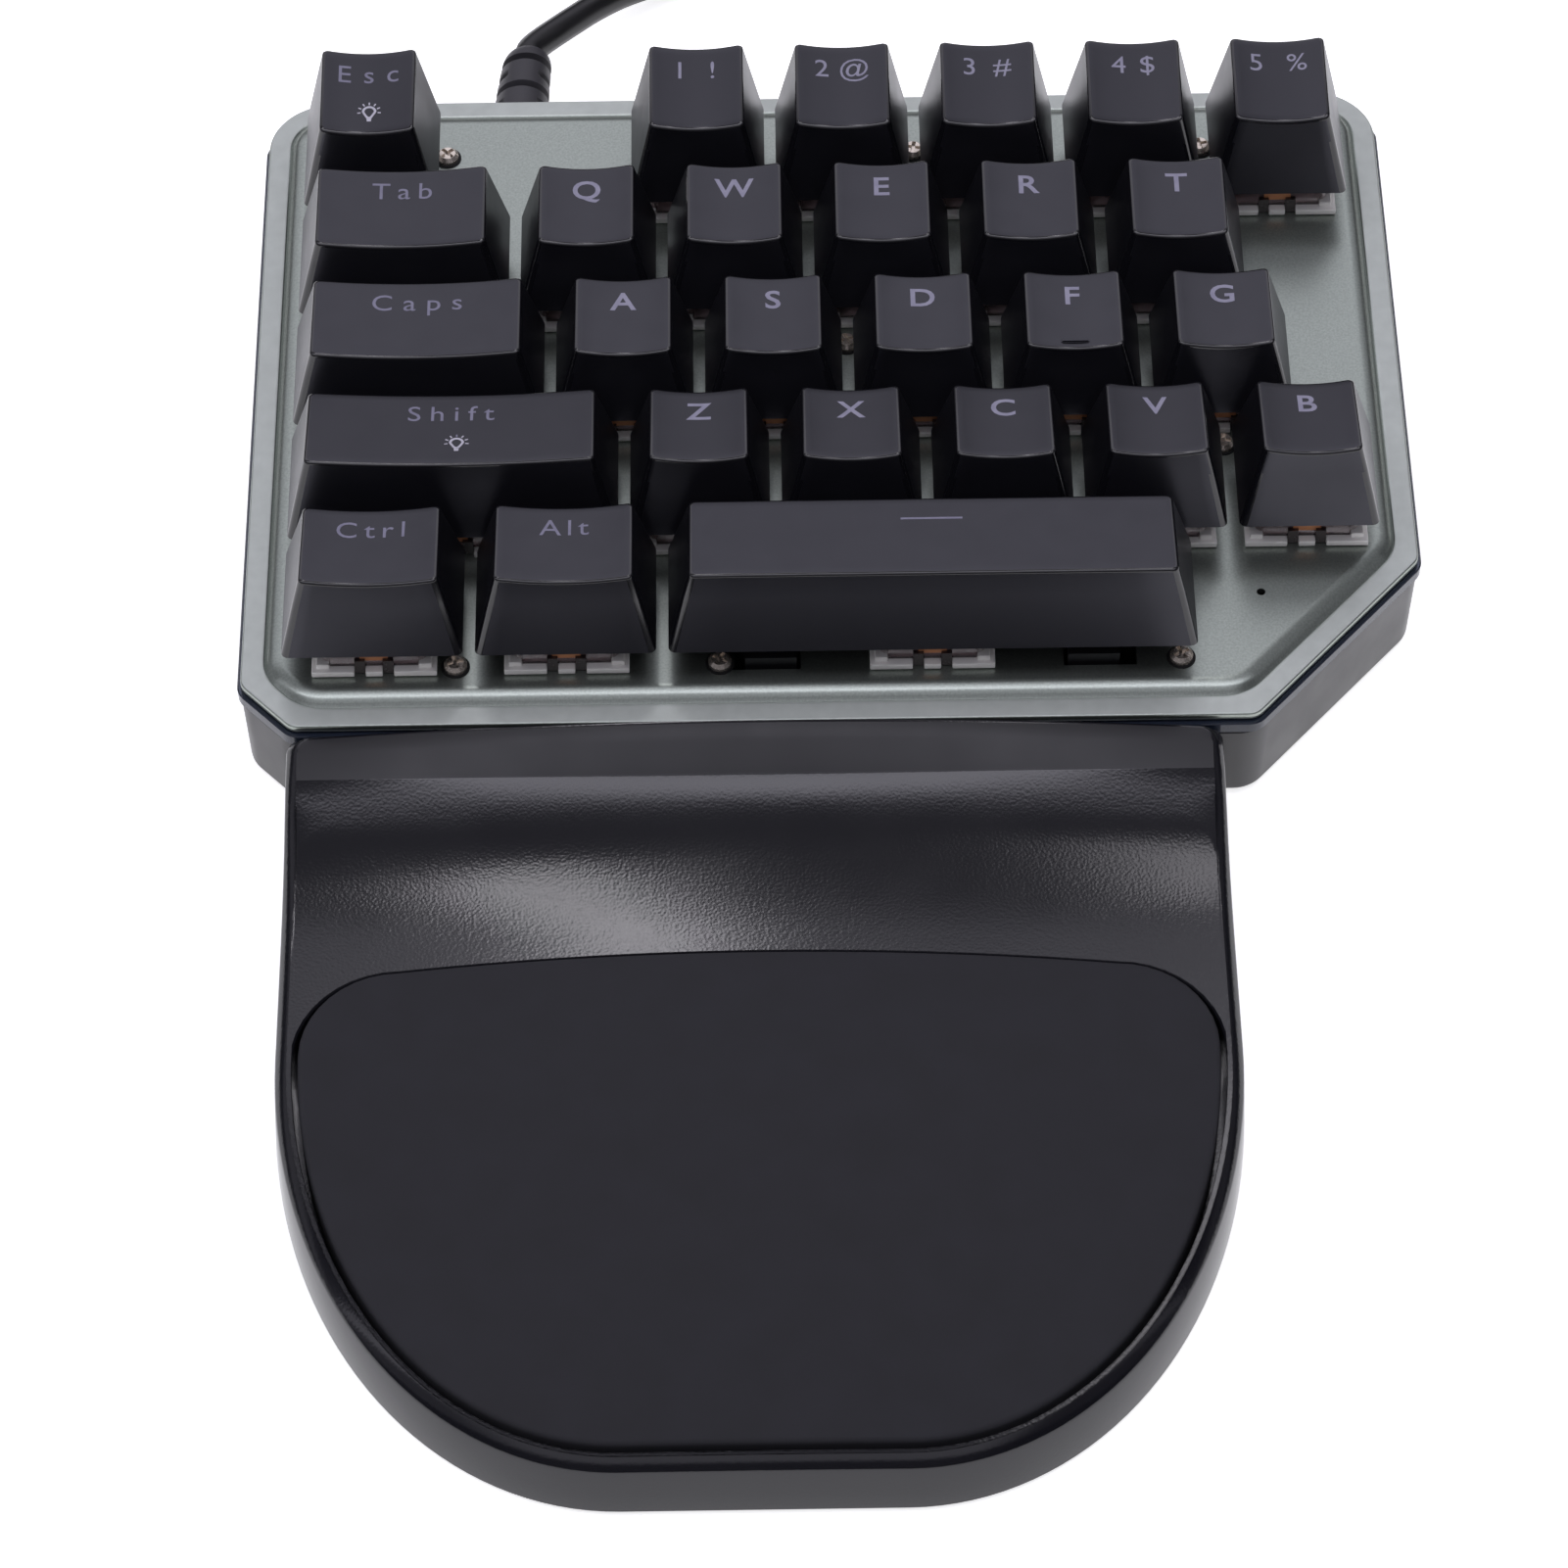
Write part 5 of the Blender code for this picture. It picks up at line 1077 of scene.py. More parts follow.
def add_lamp(bm, centre):
    """Small lamp sign: a drop for the bulb, a foot below it and rays above."""
    outer, inner = [], []
    for i in range(LAMP_SIDES):
        angle = 2.0 * math.pi * i / LAMP_SIDES
        way = Vector((math.cos(angle), math.sin(angle)))
        low = max(0.0, -way.y)
        way = Vector((way.x * (1.0 - LAMP_NECK * low), way.y * (1.0 + LAMP_NECK * low)))
        outer.append(bm.verts.new((*(centre + way * LAMP_RADIUS), 0.0)))
        inner.append(bm.verts.new((*(centre + way * (LAMP_RADIUS - LAMP_STROKE)), 0.0)))
    for i in range(LAMP_SIDES):
        j = (i + 1) % LAMP_SIDES
        bm.faces.new((outer[i], outer[j], inner[j], inner[i]))
    foot = centre.y - (LAMP_RADIUS * (1.0 + LAMP_NECK) - LAMP_STROKE)
    narrow = LAMP_STROKE * LAMP_FOOT_TAPER
    add_flat(bm, [(centre.x - LAMP_STROKE, foot), (centre.x - narrow, foot - LAMP_FOOT_HEIGHT),
                  (centre.x + narrow, foot - LAMP_FOOT_HEIGHT), (centre.x + LAMP_STROKE, foot)])
    for share in steps(LAMP_RAYS - 1):
        angle = math.pi * (share * LAMP_RAY_SPREAD - (LAMP_RAY_SPREAD - 1.0) / 2.0)
        way = Vector((math.cos(angle), math.sin(angle)))
        side = Vector((-way.y, way.x)) * LAMP_STROKE * LAMP_RAY_HALF_STROKES
        near = centre + way * (LAMP_RADIUS + LAMP_STROKE * LAMP_RAY_GAP_STROKES)
        far = near + way * LAMP_STROKE * LAMP_RAY_LENGTH_STROKES
        add_flat(bm, [near - side, far - side, far + side, near + side])


# %% Legends laid on the caps
LAMP_KEYS = {"esc": Vector((0.2, -1.75)) * MM, "shift": Vector((0.8, -1.2)) * MM}
SPACE_LINE_HALF = Vector((3.8, 0.17)) * MM
SPACE_LINE_Y = 4.45 * MM
LEGEND_SINK = 0.05 * MM
LEGEND_RISE = 0.015 * MM
LEGEND_EDGE = 0.55 * MM
LEGEND_MERGE = LEGEND_EDGE / 1000.0
CUT_ROUNDS = 4


def make_legend(name, row):
    """Thin closed legend laid on its cap."""
    spot, half = key_spot(name)
    bm = bmesh.new()
    if name == "space":
        x, y = SPACE_LINE_HALF
        add_flat(bm, [(-x, SPACE_LINE_Y - y), (x, SPACE_LINE_Y - y),
                      (x, SPACE_LINE_Y + y), (-x, SPACE_LINE_Y + y)])
    else:
        legend_pairs(bm, name)
    if name in LAMP_KEYS:
        add_lamp(bm, LAMP_KEYS[name])
    bmesh.ops.remove_doubles(bm, verts=bm.verts, dist=LEGEND_MERGE)
    bmesh.ops.triangulate(bm, faces=bm.faces[:])
    for _ in range(CUT_ROUNDS):
        long_edges = [edge for edge in bm.edges if edge.calc_length() > LEGEND_EDGE]
        if not long_edges:
            break
        bmesh.ops.subdivide_edges(bm, edges=long_edges, cuts=1)
        bmesh.ops.triangulate(bm, faces=bm.faces[:])
    for face in bm.faces:
        if face.normal.z < 0.0:
            face.normal_flip()
        if face.calc_center_median().y < 0.0:
            face.material_index = 1
    grown = bmesh.ops.extrude_face_region(bm, geom=bm.faces[:])
    lifted = {item for item in grown["geom"] if isinstance(item, bmesh.types.BMVert)}
    for vert in bm.verts:
        level = cap_surface(name, row, half, vert.co.x, vert.co.y)
        rise = LEGEND_RISE if vert in lifted else -LEGEND_SINK
        vert.co = spot + Vector((vert.co.x, vert.co.y, level + rise))
    # Word legends get the dimmer copy of the legend plastic, which paints shade on them
    legend = to_piece("legend_" + name, bm, WORD_PC_PAINTED_SHADE if len(name) > 1 else LEGEND_PC, SIGN_PC)
    return place_piece(legend, "key_" + name, "keycap_plastic")


legend_faces = sum(len(make_legend(name, row).data.polygons) for name, row in key_names)
print("legends made, faces", legend_faces)

# %% [markdown]
# ## One node tree for repeated pieces
# Switches, screws and feet are the same shape again and again. Geometry Nodes puts one shape on
# every point of a small mesh, then makes the copies real and gives them their material. The result
# is turned into a plain mesh, because copies that aren't real are lost in other programs.


# %% Helpers for node trees
def new_tree(name, inputs):
    """Node group with named inputs and one output for the pieces, and what it is given."""
    group = bpy.data.node_groups.new(name, 'GeometryNodeTree')
    for label, kind, value in inputs:
        made = group.interface.new_socket(name=label, in_out='INPUT', socket_type=kind)
        if value is not None:
            made.default_value = value
    group.interface.new_socket(name="Pieces", in_out='OUTPUT', socket_type='NodeSocketGeometry')
    return group, node(group, "NodeGroupInput").outputs


def put_on_points(group, given, settings):
    """End of a tree: a shape on every point, made real and given its finish."""
    copies = node(group, "GeometryNodeInstanceOnPoints", {"Points": given["Points"], **settings})
    real = node(group, "GeometryNodeRealizeInstances", {"Geometry": copies.outputs["Instances"]})
    done = node(group, "GeometryNodeSetMaterial",
                {"Geometry": real.outputs["Geometry"], "Material": given["Finish"]})
    node(group, "NodeGroupOutput", {"Pieces": done.outputs["Geometry"]})


def run_tree(group, name, points, settings):
    """Plain mesh that a tree makes on some points."""
    mesh = bpy.data.meshes.new(name)
    mesh.from_pydata([tuple(point) for point in points], [], [])
    made = new_object(name, mesh)
    modifier = made.modifiers.new("tree", 'NODES')
    modifier.node_group = group
    for item in group.interface.items_tree:
        if item.item_type == 'SOCKET' and item.name in settings:
            modifier[item.identifier] = settings[item.name]
    plain(made)
    print(name, len(points), "copies,", len(made.data.polygons), "faces")
    return made


# %% Scatter tree
SCATTER, given = new_tree("shape_on_points", (
    ("Points", 'NodeSocketGeometry', None), ("Shape", 'NodeSocketObject', None),
    ("Size", 'NodeSocketFloat', 1.0), ("Finish", 'NodeSocketMaterial', None)))
shape = node(SCATTER, "GeometryNodeObjectInfo", {"Object": given["Shape"]}).outputs["Geometry"]
put_on_points(SCATTER, given, {"Instance": shape, "Scale": given["Size"]})


def scatter(name, points, shape, material):
    """Plain mesh of one shape at every point."""
    made = run_tree(SCATTER, name, points, {"Shape": shape, "Size": 1.0, "Finish": material})
    bpy.data.objects.remove(shape)
    return made


# %% [markdown]
# ## Switches
# Each key has a switch that snaps into the plate. Its white lower housing shows as a flange with
# two notches in front, where clips of the upper housing hold it down; the clips are coloured dark
# as painted shade for the deep notches. The upper housing is smoky and clear, so the brown stem and
# a copper contact leaf show through it. The stem moves with the key, so every stem is a piece of
# its own.

# %% Switch lower housing
SWITCH_BODY = 13.4 * MM
SWITCH_FLANGE = 15.5 * MM
SWITCH_FLANGE_LOW = 0.15 * MM
SWITCH_FLANGE_HIGH = 1.05 * MM
SWITCH_EAR_HIGH = 1.8 * MM
SWITCH_EAR_INSET = 0.6 * MM
SWITCH_EAR_WIDTH = 2.2 * MM
SWITCH_EDGE = 0.12 * MM
SWITCH_WELL = 6.7 * MM
SWITCH_WELL_LOW = -2.6 * MM
SWITCH_FOOT = -5.8 * MM
NOTCH_WIDTH = 1.4 * MM
NOTCH_PLACE = 1.75 * MM
NOTCH_DEPTH = 2.6 * MM
NOTCH_LOW = 0.1 * MM
NOTCH_HIGH = 3.0 * MM


def square_ring(size, z, corner=0.0, arc_steps=3):
    """Square with round corners round a switch's axis."""
    half = size / 2.0
    if corner == 0.0:
        return [Vector((x * half, y * half, z)) for x, y in ((1, 1), (-1, 1), (-1, -1), (1, -1))]
    pairs = round_corners(-half, half, -half, half, corner, arc_steps)
    return [Vector((x, y, z)) for x, y in pairs]


bm = bmesh.new()
loft(bm, [square_ring(size, z) for size, z in (
    (SWITCH_WELL, SWITCH_WELL_LOW), (SWITCH_WELL, SWITCH_FLANGE_HIGH),
    (SWITCH_FLANGE, SWITCH_FLANGE_HIGH), (SWITCH_FLANGE, SWITCH_FLANGE_LOW),
    (SWITCH_BODY, SWITCH_FLANGE_LOW), (SWITCH_BODY, SWITCH_FOOT))])
ear_reach = SWITCH_FLANGE / 2.0 - SWITCH_EAR_INSET
for side in (-1.0, 1.0):
    inner = side * (SWITCH_FLANGE / 2.0 - SWITCH_EAR_WIDTH)
    outer = side * ear_reach
    add_box(bm, (min(outer, inner), -ear_reach, SWITCH_FLANGE_LOW),
            (max(outer, inner), ear_reach, SWITCH_EAR_HIGH))
base_shape = to_piece("switch_base_shape", bm, SWITCH_NYLON)
cutters = bmesh.new()
for side in (-1.0, 1.0):
    for facing in (-1.0, 1.0):
        x = side * NOTCH_PLACE
        y = facing * SWITCH_FLANGE / 2.0
        add_box(cutters, (x - NOTCH_WIDTH / 2.0, y - NOTCH_DEPTH, NOTCH_LOW - NOTCH_DEPTH),
                (x + NOTCH_WIDTH / 2.0, y + NOTCH_DEPTH, NOTCH_HIGH))
notch_shape = to_piece("notch_shape", cutters, SWITCH_NYLON)
cut_away(base_shape, notch_shape).use_self = True
edge = base_shape.modifiers.new("edge", 'BEVEL')
edge.width = SWITCH_EDGE
edge.segments = 2
edge.limit_method = 'ANGLE'
plain(base_shape)
bpy.data.objects.remove(notch_shape)

switch_spots = [key_spot(name)[0] for name, _ in key_names]
bases = scatter("switch_bases", switch_spots, base_shape, SWITCH_NYLON)
place_piece(bases, "keypad", "switch_plastic")

# %% Switch upper housing
SWITCH_UPPER_BASE = 13.4 * MM
SWITCH_UPPER_TOP = 8.8 * MM
SWITCH_UPPER_HIGH = 5.4 * MM
SWITCH_UPPER_CORNER = 1.0 * MM
SWITCH_UPPER_WALL = 0.5 * MM
SWITCH_UPPER_LEAN = 0.4 * MM
SWITCH_UPPER_UPRIGHT = 0.9 * MM
SWITCH_UPPER_EDGE_RUN = 0.6 * MM
SWITCH_UPPER_EDGE_DROP = 0.4 * MM
bm = bmesh.new()
upper_inside = SWITCH_UPPER_BASE - 2.0 * SWITCH_UPPER_WALL
upper_levels = (
    (upper_inside, SWITCH_FLANGE_HIGH, SWITCH_UPPER_CORNER),
    (SWITCH_UPPER_BASE, SWITCH_FLANGE_HIGH, SWITCH_UPPER_CORNER),
    (SWITCH_UPPER_BASE - SWITCH_UPPER_LEAN, SWITCH_FLANGE_HIGH + SWITCH_UPPER_UPRIGHT,
     SWITCH_UPPER_CORNER),
    (SWITCH_UPPER_TOP + SWITCH_UPPER_EDGE_RUN, SWITCH_UPPER_HIGH - SWITCH_UPPER_EDGE_DROP,
     SWITCH_UPPER_CORNER),
    (SWITCH_UPPER_TOP, SWITCH_UPPER_HIGH, SWITCH_UPPER_CORNER),
    (SWITCH_WELL, SWITCH_UPPER_HIGH, SWITCH_UPPER_CORNER / 2.0),
    (SWITCH_WELL, SWITCH_UPPER_HIGH - SWITCH_UPPER_WALL, SWITCH_UPPER_CORNER / 2.0),
    (upper_inside, SWITCH_FLANGE_HIGH, SWITCH_UPPER_CORNER),
)
loft(bm, [square_ring(*level) for level in upper_levels], False, False)
bmesh.ops.remove_doubles(bm, verts=bm.verts, dist=MERGE)
top_shape = to_piece("switch_top_shape", bm, SWITCH_SMOKE)
tops = scatter("switch_tops", switch_spots, top_shape, SWITCH_SMOKE)
place_piece(tops, "keypad", "switch_plastic")

# %% Clips and contact leaves
CLIP_FRONT = 7.1 * MM
CLIP_BACK = 6.5 * MM
CLIP_HIGH = 2.4 * MM
CLIP_PLAY = 0.05 * MM
LEAF_HALF_WIDTH = 1.75 * MM
LEAF_LOW = 2.0 * MM
LEAF_HIGH = 3.2 * MM
LEAF_FRONT = 6.65 * MM
LEAF_THICKNESS = 0.25 * MM
# Clip legs fill the notches, and their dark colour paints the shade inside the notches
bm = bmesh.new()
clip_half = NOTCH_WIDTH / 2.0 - CLIP_PLAY
for side in (-1.0, 1.0):
    x = side * NOTCH_PLACE
    for y_low, y_high in ((-CLIP_FRONT, -CLIP_BACK), (CLIP_BACK, CLIP_FRONT)):
        add_box(bm, (x - clip_half, y_low, NOTCH_LOW), (x + clip_half, y_high, CLIP_HIGH))
clip_shape = to_piece("clip_shape", bm, CLIP_SMOKE_AND_PAINTED_SHADE)
clips = scatter("switch_clips", switch_spots, clip_shape, CLIP_SMOKE_AND_PAINTED_SHADE)
place_piece(clips, "keypad", "switch_plastic")

bm = bmesh.new()
add_box(bm, (-LEAF_HALF_WIDTH, -LEAF_FRONT, LEAF_LOW),
        (LEAF_HALF_WIDTH, LEAF_THICKNESS - LEAF_FRONT, LEAF_HIGH))
leaf_shape = to_piece("contact_leaf_shape", bm, CONTACT_COPPER)
leaves = scatter("switch_contact_leaves", switch_spots, leaf_shape, CONTACT_COPPER)
place_piece(leaves, "keypad", "switch_plastic")

# %% Stems
STEM_HALF = 2.7 * MM
STEM_LOW = 2.4 * MM
STEM_HIGH = 6.3 * MM
STEM_SLOPE = 0.7 * MM
CROSS_HALF_LENGTH = 2.0 * MM
CROSS_HALF_WIDTH = 0.6 * MM
CROSS_HIGH = 9.0 * MM


def make_stem(name):
    """Stem body with the cross that the cap is pushed onto."""
    spot, _ = key_spot(name)
    bm = bmesh.new()
    body = []
    for size, z in ((STEM_HALF - STEM_SLOPE / 2.0, STEM_LOW), (STEM_HALF, STEM_LOW + STEM_SLOPE),
                    (STEM_HALF, STEM_HIGH - STEM_SLOPE), (STEM_HALF - STEM_SLOPE, STEM_HIGH)):
        body.append([spot + point for point in square_ring(2.0 * size, z, STEM_SLOPE / 2.0)])
    loft(bm, body)
    for x, y in ((CROSS_HALF_LENGTH, CROSS_HALF_WIDTH), (CROSS_HALF_WIDTH, CROSS_HALF_LENGTH)):
        add_box(bm, spot + Vector((-x, -y, STEM_HIGH - STEM_SLOPE)),
                spot + Vector((x, y, CROSS_HIGH)))
    stem = to_piece("stem_" + name, bm, STEM_ACETAL)
    place_piece(stem, "key_" + name, "switch_plastic")


for name, _ in key_names:
    make_stem(name)

# %% [markdown]
# ## Circuit board
# The board carries all switches on their pins. It hides between plate and case, and only its dark
# green-black edge would show if the case were opened.

# %% Circuit board
BOARD_INSET = 3.0 * MM
BOARD_DEPTH = 5.0 * MM
BOARD_THICKNESS = 1.6 * MM
bm = bmesh.new()
board_top = field_top - BOARD_DEPTH
loft(bm, [keypad_ring(BOARD_INSET, z) for z in (board_top - BOARD_THICKNESS, board_top)])
board = to_piece("circuit_board", bm, BOARD_MASK)
place_piece(board, "keypad", "switch_plastic", "switch_board")

# %% [markdown]
# ## Plate
# The plate is pressed from sheet: a rim that droops a little outwards lies on the light strip, and
# a slanted shoulder lifts the field that the switches snap into. A fine groove runs along the foot
# of the shoulder. The openings for switches and stabilisers and the hole of the indicator lamp are
# cut with one Boolean for each kind.

# %% Plate skin
PLATE_THICKNESS = 1.2 * MM
PLATE_STEP = 1.0 * MM
PLATE_RIM_WIDTH = 3.1 * MM
PLATE_SHOULDER_RUN = 2.1 * MM
PLATE_EDGE = 0.15 * MM
RIM_DROOP = 0.12 * MM
FIELD_CORNER_RADIUS = 9.6 * MM
CREASE_DEPTH = 0.14 * MM
CREASE_WIDTH = 0.35 * MM
# Share of the run and of the rise of the shoulder, with a rounded crest
CREST_SHARES = ((0.1, 0.22), (0.25, 0.5), (0.34, 0.63), (0.46, 0.74), (0.6, 0.84), (0.73, 0.92),
                (0.86, 0.98), (1.0, 1.0), (1.05, 1.0))
RIM_NORMAL = 0.97
PLATE_SHARP_ANGLE = math.radians(50.0)
LEVEL_DEPTH = 0.01 * MM
rim_top = field_top - PLATE_STEP
shoulder = PLATE_RIM_WIDTH + PLATE_SHOULDER_RUN
bm = bmesh.new()
plate_levels = [
    (shoulder, field_top - PLATE_THICKNESS),
    (PLATE_RIM_WIDTH, rim_top - PLATE_THICKNESS),
    (PLATE_EDGE, rim_top - PLATE_THICKNESS),
    (0.0, rim_top - PLATE_THICKNESS + PLATE_EDGE),
    (0.0, rim_top - RIM_DROOP - PLATE_EDGE),
    (PLATE_EDGE, rim_top - RIM_DROOP),
    (2.0 * PLATE_EDGE, rim_top - RIM_DROOP),
    (PLATE_RIM_WIDTH - 2.0 * CREASE_WIDTH, rim_top),
    (PLATE_RIM_WIDTH - CREASE_WIDTH, rim_top),
    (PLATE_RIM_WIDTH - CREASE_WIDTH / 2.0, rim_top - CREASE_DEPTH),
    (PLATE_RIM_WIDTH, rim_top),
]
plate_levels += [(PLATE_RIM_WIDTH + PLATE_SHOULDER_RUN * run, rim_top + PLATE_STEP * rise)
                 for run, rise in CREST_SHARES]
plate_rings = []
for inset, z in plate_levels:
    corner = FIELD_CORNER_RADIUS if inset > PLATE_RIM_WIDTH / 2.0 else CORNER_RADIUS
    plate_rings.append(keypad_ring(inset, z, corner, PLATE_REAR_ROUND))
loft(bm, plate_rings)
bmesh.ops.recalc_face_normals(bm, faces=bm.faces[:])
# Level faces of the rim get the lighter copy of the coat, which paints light on them
for face in bm.faces:
    if face.normal.z > RIM_NORMAL and face.calc_center_median().z < rim_top + LEVEL_DEPTH:
        face.material_index = 1
plate = to_piece("plate", bm, PLATE_COAT, RIM_COAT_PAINTED_LIGHT, sharp=PLATE_SHARP_ANGLE)

# %% Plate holes
SWITCH_OPENING = 14.0 * MM
HOLE_OVERRUN = 2.0 * MM
HOLE_SIDES = 24
STABILISER_MARGIN = 0.5 * MM
STABILISER_ARM = 2.4 * MM
STABILISER_REAR_INSET = 2.4 * MM
INDICATOR_PITCHES = (0.675, 0.215)
INDICATOR_RADIUS = 0.55 * MM
LEVEL_NORMAL = 0.9999


def cut_holes(piece, name, fill):
    """Cut everything that fill adds out of a piece."""
    bm = bmesh.new()
    fill(bm)
    tool = to_piece(name, bm)
    cut_away(piece, tool)
    plain(piece)
    bpy.data.objects.remove(tool)


def switch_holes(bm):
    """Square opening at every switch."""
    half = SWITCH_OPENING / 2.0
    for spot in switch_spots:
        add_box(bm, spot + Vector((-half, -half, -HOLE_OVERRUN)),
                spot + Vector((half, half, HOLE_OVERRUN)))


def stabiliser_holes(bm):
    """Opening round each stabiliser housing, wide enough for the wire's arm."""
    for key in ("space", "shift"):
        wire_low, wire_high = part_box("stabiliser_wire_" + key)
        for side in ("left", "right"):
            low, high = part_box("stabiliser_housing_" + key + "_" + side)
            x_low, x_high = low.x, high.x
            if side == "left":
                x_low = max(wire_low.x, low.x - STABILISER_ARM)
            else:
                x_high = min(wire_high.x, high.x + STABILISER_ARM)
            add_box(bm, (x_low - STABILISER_MARGIN, low.y - STABILISER_MARGIN,
                         field_top - HOLE_OVERRUN),
                    (x_high + STABILISER_MARGIN, high.y - STABILISER_REAR_INSET,
                     field_top + HOLE_OVERRUN))


def indicator_hole(bm):
    """Round hole of the indicator lamp, placed from three keys near it."""
    first, second = key_spot("v")[0], key_spot("b")[0]
    pitch = second.x - first.x
    x = first.x + INDICATOR_PITCHES[0] * pitch
    y = key_spot("ctrl")[0].y + INDICATOR_PITCHES[1] * pitch
    add_disc(bm, (x, y, field_top), INDICATOR_RADIUS, 2.0 * HOLE_OVERRUN, HOLE_SIDES)


cut_holes(plate, "switch_holes", switch_holes)
cut_holes(plate, "stabiliser_holes", stabiliser_holes)
cut_holes(plate, "indicator_hole", indicator_hole)
for face in plate.data.polygons:
    if face.normal.z > LEVEL_NORMAL and face.center.z > field_top - LEVEL_DEPTH:
        face.use_smooth = False
place_piece(plate, "keypad", "plate_metal", "top_plate")
print("plate", len(plate.data.polygons), "faces")

# %% [markdown]
# ## Screws
# Pan-head screws with a cross recess hold the plate, each on a thin dark ring that paints the
# shade of the hole round its head. The node tree builds the head itself: a low cylinder, a shallow
# cone on it, and two crossed bars cut out of its top.

# %% Screw tree
SCREW_SIDES = 28
SCREW_DOME_TOP = 0.72
SCREW_DOME_BASE = 0.995
SCREW_DOME_SINK = 0.999
SCREW_SEED = 7


def screw_tree():
    """Tree of screws with a cross recess, each turned its own way."""
    inputs = [("Points", 'NodeSocketGeometry', None), ("Finish", 'NodeSocketMaterial', None)]
    inputs += [(label, 'NodeSocketFloat', 1.0)
               for label in ("Head radius", "Head height", "Recess length", "Recess width")]
    group, given = new_tree("cross_screws", inputs)

    def times(a, b):
        return node(group, "ShaderNodeMath", {0: a, 1: b}, operation='MULTIPLY').outputs[0]

    def vector(**parts):
        return node(group, "ShaderNodeCombineXYZ", parts).outputs[0]

    def lifted(shape, z):
        return node(group, "GeometryNodeTransform",
                    {"Geometry": shape.outputs["Mesh"], "Translation": vector(Z=z)}).outputs[0]

    def boolean(kind, parts, base=None):
        made = node(group, "GeometryNodeMeshBoolean", operation=kind, solver='EXACT')
        if base is not None:
            group.links.new(base, made.inputs["Mesh 1"])
        for part in parts:
            group.links.new(part, made.inputs["Mesh 2"])
        return made.outputs["Mesh"]

    radius, height = given["Head radius"], given["Head height"]
    half = times(height, 0.5)
    lower = node(group, "GeometryNodeMeshCylinder",
                 {"Vertices": SCREW_SIDES, "Radius": radius, "Depth": half})
    dome = node(group, "GeometryNodeMeshCone",
                {"Vertices": SCREW_SIDES, "Side Segments": 1, "Depth": half,
                 "Radius Top": times(radius, SCREW_DOME_TOP),
                 "Radius Bottom": times(radius, SCREW_DOME_BASE)})
    head = boolean('UNION', (lifted(lower, times(half, 0.5)),
                             lifted(dome, times(half, SCREW_DOME_SINK))))
    bars = []
    for across, along in (("Recess length", "Recess width"), ("Recess width", "Recess length")):
        size = vector(X=given[across], Y=given[along], Z=height)
        bars.append(lifted(node(group, "GeometryNodeMeshCube", {"Size": size}), height))
    cut = boolean('DIFFERENCE', (boolean('UNION', bars),), head)
    turn = node(group, "FunctionNodeRandomValue", {3: math.pi, "Seed": SCREW_SEED},
                data_type='FLOAT').outputs[1]
    put_on_points(group, given, {"Instance": cut, "Rotation": vector(Z=turn)})
    return group


# %% Screws and painted shade rings
SCREW_HEAD_RADIUS = 1.45 * MM
SCREW_HEAD_HEIGHT = 0.9 * MM
SCREW_RECESS_LENGTH = 2.0 * MM
SCREW_RECESS_WIDTH = 0.5 * MM
SCREW_COUNT = 8
SHADE_RING_RADIUS = 1.8 * MM
SHADE_RING_THICKNESS = 0.15 * MM
SHADE_RING_SIDES = 32
screw_names = ["plate_screw_" + str(i) for i in range(1, SCREW_COUNT + 1)]
screw_spots = [box_middle(name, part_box(name)[1].z - SCREW_HEAD_HEIGHT) for name in screw_names]
screws = run_tree(screw_tree(), "screws", screw_spots, {
    "Head radius": SCREW_HEAD_RADIUS, "Head height": SCREW_HEAD_HEIGHT,
    "Recess length": SCREW_RECESS_LENGTH, "Recess width": SCREW_RECESS_WIDTH,
    "Finish": SCREW_PLATING})
place_piece(screws, "keypad", "plated_steel", *screw_names)

# Thin dark discs under the heads: painted shade of the hole round each screw
bm = bmesh.new()
add_disc(bm, (0.0, 0.0, -SHADE_RING_THICKNESS / 2.0), SHADE_RING_RADIUS, SHADE_RING_THICKNESS, SHADE_RING_SIDES)
washer_shape = to_piece("washer_shape", bm, SHADE_RING_PAINT)
painted_shade_rings = scatter("screw_washers", screw_spots, washer_shape, SHADE_RING_PAINT)
place_piece(painted_shade_rings, "keypad", "plated_steel")

# %% [markdown]
# ## Light strip and case
# The strip is a ring of clear acrylic between plate and case, proud of both by half a millimetre,
# with small polished edges. The case below is a tray with leaning walls and a rounded lower edge.

# %% Light strip
STRIP_PROUD = 0.5 * MM
STRIP_WIDTH = 4.0 * MM
STRIP_EDGE = 0.15 * MM
strip_low, strip_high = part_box("light_strip")
bm = bmesh.new()
strip_inside = STRIP_WIDTH - STRIP_PROUD
strip_rings = [keypad_ring(inset, z) for inset, z in (
    (strip_inside, strip_low.z), (STRIP_EDGE - STRIP_PROUD, strip_low.z),
    (-STRIP_PROUD, strip_low.z + STRIP_EDGE), (-STRIP_PROUD, strip_high.z - STRIP_EDGE),
    (STRIP_EDGE - STRIP_PROUD, strip_high.z), (strip_inside, strip_high.z))]
loft(bm, strip_rings + strip_rings[:1], False, False)
bmesh.ops.remove_doubles(bm, verts=bm.verts, dist=MERGE)
strip = to_piece("acrylic_strip", bm, ACRYLIC)
place_piece(strip, "keypad", "clear_acrylic", "light_strip")

